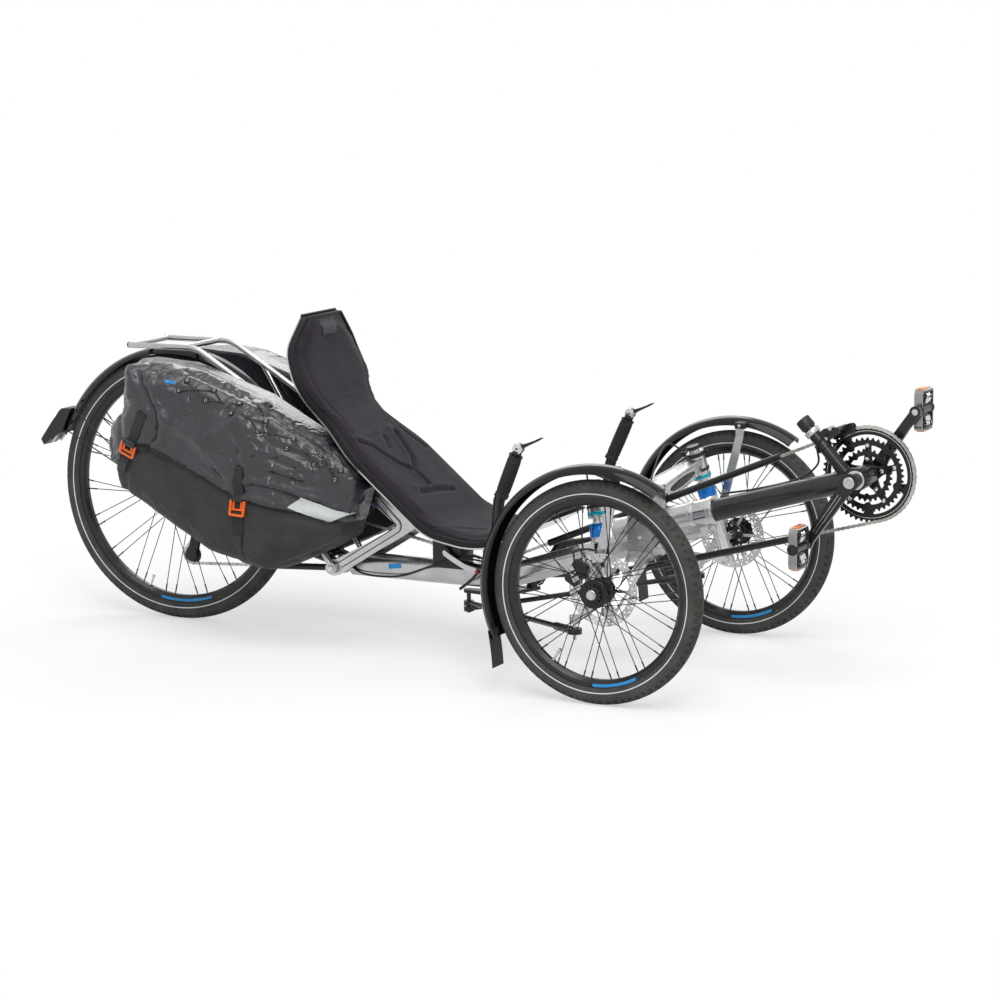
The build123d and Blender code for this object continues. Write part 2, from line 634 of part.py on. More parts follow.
# height of each tie rod's inner eye on the plate's stud
rod_levels = {-1: 105.0, 1: 91.0}
with BuildPart() as handlebar:
    with BuildSketch(Plane(origin=at(BAR_PIVOT_X, 0, PLATE_Z - PLATE_T / 2))):
        Circle(26)
        with BuildLine():
            Polyline((-14, -20), (-STEER_ARM - 6, -10), (-STEER_ARM - 6, 10), (-14, 20), close=True)
        make_face()
        with Locations((-STEER_ARM, 0)):
            Circle(12)
        for side in (-1, 1):
            with BuildLine():
                Polyline((-16, side * 4), (22, side * 100), (56, side * 94), (20, side * -2), close=True)
            make_face()
    extrude(amount=PLATE_T)
    with BuildSketch(Plane(origin=at(BAR_PIVOT_X, 0, PLATE_Z))):
        Circle(SHAFT_R)
    extrude(amount=SHAFT_TOP_Z - PLATE_Z)
    with BuildSketch(Plane(origin=at(BAR_PIVOT_X - STEER_ARM, 0, min(rod_levels.values()) - 9))):
        Circle(STUD_R + 1)
    extrude(amount=PLATE_Z - min(rod_levels.values()) + 9)
    for side in (-1, 1):
        with BuildLine() as bar:
            FilletPolyline(*[at(x, side * y, z) for x, y, z in bar_points], radius=bar_radii)
        with BuildSketch(Plane(origin=bar.line @ 0, z_dir=bar.line % 0)):
            Circle(BAR_R)
        sweep()
        foot = bar_points[0]
        with BuildSketch(Plane(origin=at(foot[0] - 1, side * (foot[1] - 2), PLATE_Z))):
            Circle(13)
        extrude(amount=foot[2] - PLATE_Z)
write(handlebar.part, "handlebar")

# Grips over the upper stretch of each arm
grip_top = Vector(*bar_points[-1])
grip_low = Vector(*bar_points[-2])
grip_axis = (grip_low - grip_top).normalized()
GRIP_LEN = 100.0
with BuildPart() as grips:
    for side in (-1, 1):
        top = grip_top + grip_axis * 1
        down = Vector(grip_axis.X, side * grip_axis.Y, grip_axis.Z)
        grip_plane = Plane(origin=at(top.X, side * top.Y, top.Z), z_dir=down)
        with BuildSketch(grip_plane):
            Circle(GRIP_R)
            Circle(BAR_R + SEAT_GAP, mode=Mode.SUBTRACT)
        extrude(amount=GRIP_LEN)
write(grips.part, "grips")

# Bar-end controls: a pod on top of each arm and a thin lever
with BuildPart() as controls:
    for side in (-1, 1):
        up = Vector(-grip_axis.X, -side * grip_axis.Y, -grip_axis.Z)
        base = Vector(*at(grip_top.X, side * grip_top.Y, grip_top.Z))
        with BuildSketch(Plane(origin=base, z_dir=up)):
            Circle(11)
        extrude(amount=14)
        with Locations(Plane(origin=base + up * 16, z_dir=(0, 1, 0))):
            Cylinder(12, 18)
        with BuildSketch(Plane(origin=base + up * 20, z_dir=(0.93, 0, 0.36))):
            Rectangle(4, 12)
        with BuildSketch(Plane(origin=base + up * 20 + Vector(56, 0, 22), z_dir=(0.93, 0, 0.36))):
            Rectangle(3, 8)
        loft()
write(controls.part, "bar_end_controls")

# Tie rods: from the plate's stud to each knuckle's stud
ROD_R = 6.0
for name, side in SIDES:
    inner = Vector(*at(BAR_PIVOT_X - STEER_ARM, 0, rod_levels[side]))
    outer = Vector(*arm_end(side))
    run = (outer - inner).normalized()
    with BuildPart() as rod:
        with BuildSketch(Plane(origin=inner + run * 8, z_dir=run)):
            Circle(ROD_R)
        extrude(amount=(outer - inner).length - 16)
        with BuildSketch(Plane(origin=outer - run * 92, z_dir=run)):
            Circle(ROD_R + 3)
        extrude(amount=78)
        with Locations(Plane(origin=inner)):
            Cylinder(12, 11)
            Cylinder(STUD_R + 1 + RUNNING_GAP, 40, mode=Mode.SUBTRACT)
        with Locations(Plane(origin=outer)):
            Cylinder(16, ROD_EYE_T)
            Cylinder(STUD_R + 5, 60, mode=Mode.SUBTRACT)
    write(rod.part, f"tie_rod_{name}")

# Cranks
left_pedal = (BB_X + CRANK * cos(radians(CRANK_ANGLE)), BB_Z + CRANK * sin(radians(CRANK_ANGLE)))
right_pedal = (2 * BB_X - left_pedal[0], 2 * BB_Z - left_pedal[1])
ARM_Y = {-1: 70.0, 1: 78.0}
ARM_T = 13.0
PEDAL_GAP = 6.0
PEDAL_PIN_R = 5.0
with BuildPart() as cranks:
    with Locations(Plane(origin=at(BB_X, (ARM_Y[1] - ARM_Y[-1]) / 2, BB_Z), z_dir=(0, 1, 0))):
        Cylinder(SPINDLE_R, ARM_Y[1] + ARM_Y[-1] - 2)
    for side, (end_x, end_z) in ((1, left_pedal), (-1, right_pedal)):
        arm_y = side * ARM_Y[side]
        with BuildSketch(side_plane(arm_y)):
            with BuildLine():
                along = Vector(end_x - BB_X, end_z - BB_Z, 0).normalized()
                cross = Vector(-along.Y, along.X, 0)
                hub_end = Vector(BB_X, BB_Z, 0)
                tip = Vector(end_x, end_z, 0)
                Polyline(hub_end + cross * 15, tip + cross * 10, tip - cross * 10, hub_end - cross * 15, close=True)
            make_face()
            with Locations((BB_X, BB_Z)):
                Circle(19)
            with Locations((end_x, end_z)):
                Circle(13)
        extrude(amount=ARM_T / 2, both=True)
        with Locations(Plane(origin=at(end_x, arm_y + side * (ARM_T / 2 + (PEDAL_GAP + PEDAL_W - 8) / 2), end_z),
                             z_dir=(0, 1, 0))):
            Cylinder(PEDAL_PIN_R, PEDAL_GAP + PEDAL_W - 8)
write(cranks.part, "crank_arms")

for name, side in SIDES:
    end_x, end_z = left_pedal if side > 0 else right_pedal
    inner_y = side * (ARM_Y[side] + ARM_T / 2 + PEDAL_GAP)
    middle = at(end_x, inner_y + side * PEDAL_W / 2, end_z)
    with BuildPart() as pedal:
        with BuildSketch(Plane(origin=middle, x_dir=(0, 1, 0), z_dir=(1, 0, 0))):
            RectangleRounded(PEDAL_W, PEDAL_H, 8)
            with Locations((0, PEDAL_WINDOW_Z), (0, -PEDAL_WINDOW_Z)):
                RectangleRounded(PEDAL_W - 16, PEDAL_WINDOW_H, 4, mode=Mode.SUBTRACT)
        extrude(amount=PEDAL_T / 2, both=True)
        with Locations(Plane(origin=middle, z_dir=(0, 1, 0))):
            Cylinder(PEDAL_PIN_R + RUNNING_GAP, PEDAL_W - 16, mode=Mode.SUBTRACT)
        with Locations(Plane(origin=(middle[0], middle[1] - side * 10, middle[2]), z_dir=(0, 1, 0))):
            Cylinder(PEDAL_PIN_R + RUNNING_GAP, PEDAL_W - 16, mode=Mode.SUBTRACT)
    write(pedal.part, f"pedal_{name}")

# Chainrings on a five-arm spider
with BuildPart() as rings:
    for step, teeth in enumerate(RING_TEETH):
        ring_y = CHAIN_Y - step * RING_STEP
        root_r = pitch_radius(teeth) - 3.6
        with BuildSketch(side_plane(ring_y)):
            with Locations((BB_X, BB_Z)):
                Circle(root_r)
                with PolarLocations(root_r, teeth):
                    Rectangle(11.2, 3.6)
                Circle(root_r - 12, mode=Mode.SUBTRACT)
        extrude(amount=RING_T / 2, both=True)
    # spider arms reach from the axle to the outer rings
    with BuildSketch(side_plane(CHAIN_Y - RING_STEP)):
        with Locations((BB_X, BB_Z)):
            Circle(22)
            with PolarLocations(46, 5):
                Rectangle(92, 13)
            Circle(SPINDLE_R + SEAT_GAP, mode=Mode.SUBTRACT)
    extrude(amount=RING_STEP, both=True)
write(rings.part, "chainrings")


# Chain
chain_plane = side_plane(CHAIN_Y)
with BuildPart() as chain:
    with BuildSketch(chain_plane):
        with BuildLine():
            loop_edges(chain_wheels, CHAIN_HALF_H)
        make_face()
        with BuildLine():
            loop_edges(chain_wheels, -CHAIN_HALF_H)
        make_face(mode=Mode.SUBTRACT)
    extrude(amount=CHAIN_W / 2, both=True)
    for x, z, radius, _, toothed in chain_wheels:
        if toothed:
            with Locations(Plane(origin=at(x, CHAIN_Y, z), z_dir=(0, 1, 0))):
                Cylinder(radius + 3.4, RING_T + 1.2, mode=Mode.SUBTRACT)
write(chain.part, "chain")

# Guide tubes round the hidden runs of the chain
bend_in = touch(chain_wheels[5], runs[4], 0)
bend_mid = touch(chain_wheels[5], (runs[4] + runs[5]) / 2, 0)
bend_out = touch(chain_wheels[5], runs[5], 0)
with BuildPart() as chain_tubes:
    with BuildLine() as upper:
        Line(on_power(242), on_power(-330))
    with BuildSketch(Plane(origin=upper.line @ 0, z_dir=upper.line % 0)):
        Circle(TUBE_R)
        Circle(TUBE_BORE_R, mode=Mode.SUBTRACT)
    sweep()
    with BuildLine() as lower:
        Line(on_return_front(262), at(bend_out[0], CHAIN_Y, bend_out[1]))
        ThreePointArc(at(bend_out[0], CHAIN_Y, bend_out[1]), at(bend_mid[0], CHAIN_Y, bend_mid[1]),
                      at(bend_in[0], CHAIN_Y, bend_in[1]))
        Line(at(bend_in[0], CHAIN_Y, bend_in[1]), on_return_rear(TUBE_REAR_X - WHEELBASE))
    with BuildSketch(Plane(origin=on_return_front(262), z_dir=lower.line % 0)):
        Circle(TUBE_R)
        Circle(TUBE_BORE_R, mode=Mode.SUBTRACT)
    sweep(path=lower.line)
write(chain_tubes.part, "chain_tubes")

# Idler beside the frame tube
with BuildPart() as idler:
    with Locations(Plane(origin=at(IDLER[0], CHAIN_Y, IDLER[1]), z_dir=(0, 1, 0))):
        Cylinder(IDLER_R - 5.4, 9)
        Cylinder(IDLER_R + 2.2, RING_T)
    with BuildSketch(Plane(origin=at(IDLER[0], TUBE_W / 2, IDLER[1]), z_dir=(0, 1, 0))):
        Circle(9)
    extrude(amount=CHAIN_Y - TUBE_W / 2 + 10)
    with BuildSketch(Plane(origin=at(IDLER[0], TUBE_W / 2, IDLER[1] - 16), x_dir=(1, 0, 0), z_dir=(0, 1, 0))):
        RectangleRounded(40, 48, 6)
    extrude(amount=6)
write(idler.part, "chain_idler")

# Rear derailleur: cage plates and two pulleys under the cassette
with BuildPart() as rear_derailleur:
    for x, z in (GUIDE, TENSION):
        with Locations(Plane(origin=at(x, CHAIN_Y, z), z_dir=(0, 1, 0))):
            Cylinder(PULLEY_R - 5.4, 9)
            Cylinder(PULLEY_R + 2.2, RING_T)
    for offset in (-1, 1):
        with BuildSketch(side_plane(CHAIN_Y + offset * 5.5)):
            with BuildLine():
                Polyline((GUIDE[0] - 9, GUIDE[1] + 6), (GUIDE[0] + 13, GUIDE[1] + 6), (TENSION[0] + 12, TENSION[1] - 8),
                         (TENSION[0] - 12, TENSION[1] - 8), close=True)
            make_face()
            with Locations(GUIDE):
                Circle(14)
            with Locations(TENSION):
                Circle(17)
        extrude(amount=1, both=True)
    # body from the cage up to the hanger beside the dropout
    with Locations(Plane(origin=at(GUIDE[0], (CHAIN_Y + DROPOUT_Y) / 2 - 1, GUIDE[1] - 4), z_dir=(0, 1, 0))):
        Cylinder(9, DROPOUT_Y - CHAIN_Y - 14)
    with BuildSketch(side_plane(DROPOUT_Y - 12)):
        with BuildLine():
            Polyline((GUIDE[0] - 16, GUIDE[1] - 18), (GUIDE[0] + 18, GUIDE[1] - 14), (-WHEELBASE + 40, 304),
                     (-WHEELBASE + 16, 308), close=True)
        make_face()
    extrude(amount=-6)
write(rear_derailleur.part, "rear_derailleur")

# Front derailleur round the chain behind the big ring
cage_x = 392.0
cage_z = on_power(392.0)[2]
with BuildPart() as front_derailleur:
    for offset in (-1, 1):
        with BuildSketch(Plane(origin=at(cage_x, CHAIN_Y + offset * 7, cage_z + 3), x_dir=(1, 0, 0.4),
                               z_dir=(0, 1, 0))):
            RectangleRounded(56, 22, 6)
        extrude(amount=1, both=True)
    with BuildSketch(Plane(origin=at(cage_x + 4, CHAIN_Y, cage_z + 16), x_dir=(1, 0, 0.4), z_dir=(0, 1, 0))):
        Rectangle(24, 4)
    extrude(amount=8, both=True)
    # a band round the post, its lug and the link that crosses to the cage
    with BuildSketch(post_plane.offset(76)):
        Circle(POST_R + 4)
    extrude(amount=18)
    with BuildSketch(side_plane(0)):
        with BuildLine():
            Polyline((350, 554), (366, 534), (402, 560), (394, 572), (366, 568), close=True)
        make_face()
    extrude(amount=7, both=True)
    with BuildSketch(Plane(origin=at(cage_x, -7, cage_z + 12), x_dir=(1, 0, 0.4), z_dir=(0, 1, 0))):
        RectangleRounded(20, 12, 4)
    extrude(amount=CHAIN_Y + 1)
    with BuildSketch(post_plane.offset(-40)):
        Circle(POST_R + SEAT_GAP)
    extrude(amount=post_dir.length + 80, mode=Mode.SUBTRACT)
write(front_derailleur.part, "front_derailleur")

# Seat: shell and pad follow one side profile of straight runs and arcs
# (x, z, radius) along the shell's face, from the head to the front lip
seat_line = [(-904, 775, 0), (-907, 691, 140), (-855, 554, 170), (-539, 288, 140),
             (-439, 270, 190), (-374, 275, 110), (-292, 323, 0)]


def offset_line(points, distance):
    """the profile moved square to itself by distance, up and forward where it is positive"""
    moved = []
    for index, (x, z, radius) in enumerate(points):
        before = points[max(index - 1, 0)]
        after = points[min(index + 1, len(points) - 1)]
        if index == 0:
            before = (x, z)
        if index == len(points) - 1:
            after = (x, z)
        heading_in = atan2(z - before[1], x - before[0]) if index else atan2(after[1] - z, after[0] - x)
        heading_out = atan2(after[1] - z, after[0] - x) if index < len(points) - 1 else heading_in
        middle = (heading_in + heading_out) / 2
        stretch = distance / cos((heading_out - heading_in) / 2)
        moved.append((x - stretch * sin(middle), z + stretch * cos(middle), max(radius - distance, 0)))
    return moved


def seat_band(low, high):
    """a closed face between two offsets of the seat's profile"""
    lower = offset_line(seat_line, low)
    upper = offset_line(seat_line, high)
    FilletPolyline(*[(x, z) for x, z, _ in lower], radius=[r for _, _, r in lower[1:-1]])
    Line(lower[-1][:2], upper[-1][:2])
    FilletPolyline(*[(x, z) for x, z, _ in upper], radius=[r for _, _, r in upper[1:-1]])
    Line(upper[0][:2], lower[0][:2])


# (z, half width, corner radius) of the seat's outline seen from the front, from the pan to the head
seat_outline = [(200, SEAT_HALF_W, 0), (452, SEAT_HALF_W, 70), (532, WAIST_HALF_W, 50),
                (622, SEAT_HALF_W - 4, 70), (700, SEAT_HALF_W - 18, 90), (775, HEAD_HALF_W, 40),
                (830, HEAD_HALF_W - 40, 0)]


def seat_cut(inset):
    """the seat's front outline as a closed face, inset from its edge"""
    radii = [radius for _, _, radius in seat_outline[1:-1]]
    for hand in (-1, 1):
        FilletPolyline(*[(hand * (width - inset), z) for z, width, _ in seat_outline], radius=radii)
    for z, width, _ in (seat_outline[0], seat_outline[-1]):
        Line((inset - width, z), (width - inset, z))


front_view = Plane(origin=at(0), x_dir=(0, 1, 0), z_dir=(1, 0, 0))
with BuildPart() as seat_shell:
    with BuildSketch(side_plane(0)):
        with BuildLine():
            seat_band(-SHELL_T, 0)
        make_face()
    extrude(amount=SEAT_HALF_W + 20, both=True)
    with BuildSketch(front_view):
        with BuildLine():
            seat_cut(0)
        make_face()
    extrude(amount=1000, both=True, mode=Mode.INTERSECT)
write(seat_shell.part, "seat_shell")

with BuildPart() as seat_pad:
    with BuildSketch(side_plane(0)):
        with BuildLine():
            seat_band(0.3, PAD_T)
        make_face()
    extrude(amount=SEAT_HALF_W + 20, both=True)
    with BuildSketch(front_view):
        with BuildLine():
            seat_cut(2)
        make_face()
    extrude(amount=1000, both=True, mode=Mode.INTERSECT)
write(seat_pad.part, "seat_pad")

# Seat brackets: a V forging each side of the shock, from the pivot up to the shell
BRACKET_Y = 66.0
BRACKET_T = 12.0
SHOCK_LOW = (-866.0, 228.0)
SHOCK_TOP = (-742.0, 354.0)
bracket_outline = [(-848, 168), (-826, 158), (-618, 286), (-716, 366), (-742, 476), (-800, 510), (-766, 362),
                   (-662, 287), (-838, 192)]
with BuildPart() as brackets:
    for side in (-1, 1):
        with BuildSketch(side_plane(side * BRACKET_Y)):
            with BuildLine():
                Polyline(*bracket_outline, close=True)
            make_face()
            with Locations(PIVOT):
                Circle(20)
        extrude(amount=BRACKET_T / 2, both=True)
    # the pivot pin joins both forgings through the frame's barrel
    with Locations(Plane(origin=at(PIVOT[0], 0, PIVOT[1]), z_dir=(0, 1, 0))):
        Cylinder(PIVOT_PIN_R, 2 * RACK_Y + 16)
    with Locations(Plane(origin=at(SHOCK_TOP[0], 0, SHOCK_TOP[1]), z_dir=(0, 1, 0))):
        Cylinder(SHOCK_PIN_R, 2 * BRACKET_Y)
    # the shell's underside trims the upper ends
    with BuildSketch(side_plane(0)):
        with BuildLine():
            seat_band(-SHELL_T - SEAT_GAP, 60)
        make_face()
    extrude(amount=BRACKET_Y + 30, both=True, mode=Mode.SUBTRACT)
write(brackets.part, "seat_brackets")

# Seat clamp on the tube under the seat pan
with BuildPart() as seat_clamp:
    with BuildSketch(side_plane(0)):
        with BuildLine():
            Polyline((-592, 190), (-520, 190), (-516, 250), (-530, 312), (-592, 360), close=True)
        make_face()
    extrude(amount=32, both=True)
    with BuildSketch(side_plane(0)):
        with BuildLine():
            seat_band(-SHELL_T - SEAT_GAP, 100)
        make_face()
    extrude(amount=60, both=True, mode=Mode.SUBTRACT)
    with BuildSketch(Plane(origin=at(-700, 0, 175.3), x_dir=(0, 1, 0), z_dir=(1, 0, 0))):
        RectangleRounded(TUBE_W + 2 * SEAT_GAP, TUBE_H + 2 * SEAT_GAP, TUBE_CORNER)
    extrude(amount=240, mode=Mode.SUBTRACT)
write(seat_clamp.part.solids().sort_by(SortBy.VOLUME)[-1], "seat_clamp")

# Swingarm: two legs from the pivot to the rear axle, braced to the shock
ARM_R = 11.0
with BuildPart() as swingarm:
    for side in (-1, 1):
        with BuildLine() as leg:
            FilletPolyline(at(PIVOT[0] - 2, side * 33, PIVOT[1]), at(PIVOT[0] - 46, side * 35, 192),
                           at(-WHEELBASE + 180, side * DROPOUT_Y, REAR_TYRE_R - 60),
                           at(-WHEELBASE + 15, side * DROPOUT_Y, REAR_TYRE_R - 5), radius=[40, 60])
        with BuildSketch(Plane(origin=leg.line @ 0, z_dir=leg.line % 0)):
            Circle(ARM_R)
        sweep()
        with BuildSketch(side_plane(side * DROPOUT_Y)):
            with Locations((-WHEELBASE, REAR_TYRE_R)):
                Circle(18)
        extrude(amount=6, both=True)
        if side > 0:
            # hanger for the rear derailleur
            with BuildSketch(side_plane(DROPOUT_Y - 3)):
                with BuildLine():
                    Polyline((-WHEELBASE + 10, 296), (-WHEELBASE + 32, 296), (-WHEELBASE + 24, 336),
                             (-WHEELBASE - 4, 336), close=True)
                make_face()
            extrude(amount=3, both=True)
        with Locations(Plane(origin=at(PIVOT[0], side * 34, PIVOT[1]), z_dir=(0, 1, 0))):
            Cylinder(PIVOT_R, 20)
    with Locations(Plane(origin=at(-WHEELBASE, 0, REAR_TYRE_R), z_dir=(0, 1, 0))):
        Cylinder(AXLE_R, 2 * DROPOUT_Y + 20)
    with Locations(Plane(origin=at(-882, 0, 197), z_dir=(0, 1, 0))):
        Cylinder(12, 74)
    with BuildSketch(side_plane(0)):
        with BuildLine():
            Polyline((-892, 196), (-868, 200), (SHOCK_LOW[0] + 9, SHOCK_LOW[1] + 10),
                     (SHOCK_LOW[0] - 11, SHOCK_LOW[1] + 10), close=True)
        make_face()
    extrude(amount=17, both=True)
    with BuildSketch(side_plane(0)):
        with Locations((SHOCK_LOW[0], SHOCK_LOW[1] + 2)):
            Rectangle(60, 34)
    extrude(amount=11, both=True, mode=Mode.SUBTRACT)
    with Locations(Plane(origin=at(SHOCK_LOW[0], 0, SHOCK_LOW[1]), z_dir=(0, 1, 0))):
        Cylinder(5, 34)
    with Locations(Plane(origin=at(PIVOT[0], 0, PIVOT[1]), z_dir=(0, 1, 0))):
        Cylinder(PIVOT_PIN_R + RUNNING_GAP, 120, mode=Mode.SUBTRACT)
write(swingarm.part, "swingarm")

# Rear shock between the swingarm and the seat bracket's cross tube
shock_run = Vector(SHOCK_TOP[0] - SHOCK_LOW[0], 0, SHOCK_TOP[1] - SHOCK_LOW[1])
shock_plane = Plane(origin=at(SHOCK_LOW[0], 0, SHOCK_LOW[1]), z_dir=shock_run)
# (start and end from the lower eye as shares of the length between the eyes, radius)
shock_steps = [(0.0, 0.2, 8), (0.14, 0.52, 19), (0.52, 0.78, 13), (0.78, 0.86, 17), (0.86, 1.0, 8)]
with BuildPart() as shock:
    for start, end, radius in shock_steps:
        with BuildSketch(shock_plane.offset(start * shock_run.length)):
            Circle(radius)
        extrude(amount=(end - start) * shock_run.length)
    for (x, z), pin_r in ((SHOCK_LOW, 5), (SHOCK_TOP, SHOCK_PIN_R)):
        with Locations(Plane(origin=at(x, 0, z), z_dir=(0, 1, 0))):
            Cylinder(pin_r + 5, 20)
            Cylinder(pin_r + SEAT_GAP, 60, mode=Mode.SUBTRACT)
write(shock.part, "rear_shock")

# Rack: a rail each side from the seat bracket over the rear wheel, with stays down to the pivot
REAR_FENDER_R = REAR_TYRE_R + 18
RACK_TOP = REAR_TYRE_R + REAR_FENDER_R + 8
RACK_REAR = 80.0
# where each stay meets its rail, as a share of the rail's length from its rear end
STAY_SHARE = 0.41
with BuildPart() as rack:
    for side in (-1, 1):
        with BuildLine() as rail:
            FilletPolyline(at(-WHEELBASE - RACK_REAR, side * RACK_Y, RACK_TOP),
                           at(-WHEELBASE + 110, side * RACK_Y, RACK_TOP),
                           at(-752, side * RACK_Y, 412), radius=80)
        with BuildSketch(Plane(origin=rail.line @ 0, z_dir=rail.line % 0)):
            Circle(RACK_R)
        sweep()
        with BuildLine() as stay:
            Line(rail.line @ STAY_SHARE, at(PIVOT[0], side * RACK_Y, PIVOT[1]))
        with BuildSketch(Plane(origin=stay.line @ 0, z_dir=stay.line % 0)):
            Circle(RACK_R)
        sweep()
        with Locations(Plane(origin=at(PIVOT[0], side * RACK_Y, PIVOT[1]), z_dir=(0, 1, 0))):
            Cylinder(PIVOT_PIN_R + 6, 12)
            Cylinder(PIVOT_PIN_R + SEAT_GAP, 40, mode=Mode.SUBTRACT)
        # a short pin holds the rail's end to the bracket
        with BuildSketch(Plane(origin=at(-758, side * (BRACKET_Y + BRACKET_T / 2), 416), z_dir=(0, side, 0))):
            Circle(5)
        extrude(amount=RACK_Y - BRACKET_Y - BRACKET_T / 2)
    for forward in (-RACK_REAR + 5, 70):
        with Locations(Plane(origin=at(-WHEELBASE + forward, 0, RACK_TOP), z_dir=(0, 1, 0))):
            Cylinder(RACK_R, 2 * RACK_Y)
write(rack.part, "rack")

# Rear fender and its light
EYE_T = 7.0
WIRE_R = 2.0
WIRE_Y = DROPOUT_Y + 10.6
with BuildPart() as rear_fender:
    add(fender(rear_hub, REAR_FENDER_R, 30, 14, 22, 160))
    # wire stays from the rear half down to an eye on each end of the axle
    for side in (-1, 1):
        with Locations(Plane(origin=at(-WHEELBASE, side * (DROPOUT_Y + 6 + EYE_T / 2), REAR_TYRE_R),
                             z_dir=(0, 1, 0))):
            Cylinder(14, EYE_T)
        for turn in (148, 158):
            rim_end = Vector(*at(-WHEELBASE + (REAR_FENDER_R - 16) * cos(radians(turn)), side * 29,
                                 REAR_TYRE_R + (REAR_FENDER_R - 16) * sin(radians(turn))))
            foot = Vector(*at(-WHEELBASE - 8, side * WIRE_Y, REAR_TYRE_R))
            with BuildSketch(Plane(origin=foot, z_dir=rim_end - foot)):
                Circle(WIRE_R)
            extrude(amount=(rim_end - foot).length)
    with Locations(Plane(origin=rear_hub, z_dir=(0, 1, 0))):
        Cylinder(AXLE_R + SEAT_GAP, 200, mode=Mode.SUBTRACT)
write(rear_fender.part, "rear_fender")

# outline of the light's housing and its flap, from the rear axle
light_outline = [(-290, 180), (-322, 118), (-340, 112), (-382, 84), (-REAR_OVERHANG, 98), (-354, 146), (-326, 178)]
with BuildPart() as rear_light:
    with BuildSketch(side_plane(0)):
        with BuildLine():
            Polyline(*[(x - WHEELBASE, z + REAR_TYRE_R) for x, z in light_outline], close=True)
        make_face()
    extrude(amount=26, both=True)
    with Locations(Plane(origin=rear_hub, z_dir=(0, 1, 0))):
        Cylinder(REAR_FENDER_R + SEAT_GAP, 80, mode=Mode.SUBTRACT)
write(rear_light.part, "rear_light")

# Panniers, hung outside the rack; both outlines are measured from the rear axle
# (forward, up) of the bag's side, from its rear top corner clockwise
bag_outline = [(-8, 336), (130, 327), (335, 262), (613, 110), (638, 68), (585, -62), (380, -154), (205, -120),
               (-42, 24), (-80, 110), (-62, 177), (-26, 220)]
# (forward, half width over both bags) of the outer face seen from above
bag_plan = [(-82, 190), (0, 230), (80, BAG_OUT), (350, BAG_OUT), (640, 178)]
BAG_CORNER_R = 16.0
# the outer face falls away round its edge over this depth, at this angle
BAG_EDGE = 26.0
BAG_EDGE_TAPER = 38.0
bag_side = [(x - WHEELBASE, z + REAR_TYRE_R) for x, z in bag_outline]
for name, side in SIDES:
    with BuildPart() as pannier:
        # the right bag, in two steps outward: the body and its tapered edge
        for start, depth, taper in ((BAG_IN, BAG_OUT - BAG_EDGE - BAG_IN, 0),
                                    (BAG_OUT - BAG_EDGE, BAG_EDGE, BAG_EDGE_TAPER)):
            with BuildSketch(side_plane(-start)):
                with BuildLine():
                    FilletPolyline(*bag_side, radius=BAG_CORNER_R, close=True)
                make_face()
            extrude(amount=depth, taper=taper)
        with BuildSketch(Plane(origin=at(-WHEELBASE))):
            with BuildLine():
                Polyline((bag_plan[0][0] - 10, -BAG_IN), *[(x, -out) for x, out in bag_plan],
                         (bag_plan[-1][0] + 10, -BAG_IN), close=True)
            make_face()
        extrude(amount=1000, mode=Mode.INTERSECT)
        if side > 0:
            mirror(about=Plane.XZ, mode=Mode.REPLACE)
        # the inner half steps back where the seat shell passes
        with BuildSketch(side_plane(0)):
            with BuildLine():
                seat_band(-SHELL_T - 10, 160)
            make_face()
        extrude(amount=SEAT_HALF_W + 8, both=True, mode=Mode.SUBTRACT)
    write(pannier.part.solids().sort_by(SortBy.VOLUME)[-1], f"pannier_{name}")


def bag_face(forward):
    """half width of the bags' outer face at a distance ahead of the rear axle, and its slope there"""
    for (x_low, out_low), (x_high, out_high) in zip(bag_plan, bag_plan[1:]):
        if forward <= x_high:
            break
    slope = (out_high - out_low) / (x_high - x_low)
    return out_low + (forward - x_low) * slope, slope


# Orange buckles on the outer faces: (forward, up) from the rear axle, lean in degrees
buckle_spots = [(-30, 146, 24), (322, 14, 4)]
with BuildPart() as buckles:
    for side in (-1, 1):
        for forward, up, lean in buckle_spots:
            out, slope = bag_face(forward)
            outward = Vector(-slope, side, 0).normalized()
            across = Vector(side, slope, 0).normalized() * side
            tilt = Vector(across.X * cos(radians(lean)), across.Y * cos(radians(lean)), -sin(radians(lean)))
            spot = Vector(*at(forward - WHEELBASE, side * out, up + REAR_TYRE_R)) + outward * SEAT_GAP
            with BuildSketch(Plane(origin=spot, x_dir=tilt, z_dir=outward)):
                RectangleRounded(40, 48, 6)
                with Locations((0, 9)):
                    Rectangle(25, 14, mode=Mode.SUBTRACT)
                with Locations((0, -12)):
                    Rectangle(25, 9, mode=Mode.SUBTRACT)
            extrude(amount=8)
write(buckles.part, "pannier_buckles")
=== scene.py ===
"""Dresses a packed recumbent trike: tyres, spokes, chain, seat pad, side bags, grips and finishes.

The model's frame is X forward, Y to the rider's left, Z up, floor at zero, in metres. Places that `at` takes are
in millimetres ahead of the front axle line, to the left and above the floor. Names that end in _MM are millimetres.
"""
from __future__ import annotations

import json
import logging
import math
from dataclasses import dataclass, field
from enum import Enum
from typing import Callable, Iterable, Sequence

import bmesh
import bpy
import numpy as np
from mathutils import Matrix, Vector, noise
from mathutils.bvhtree import BVHTree

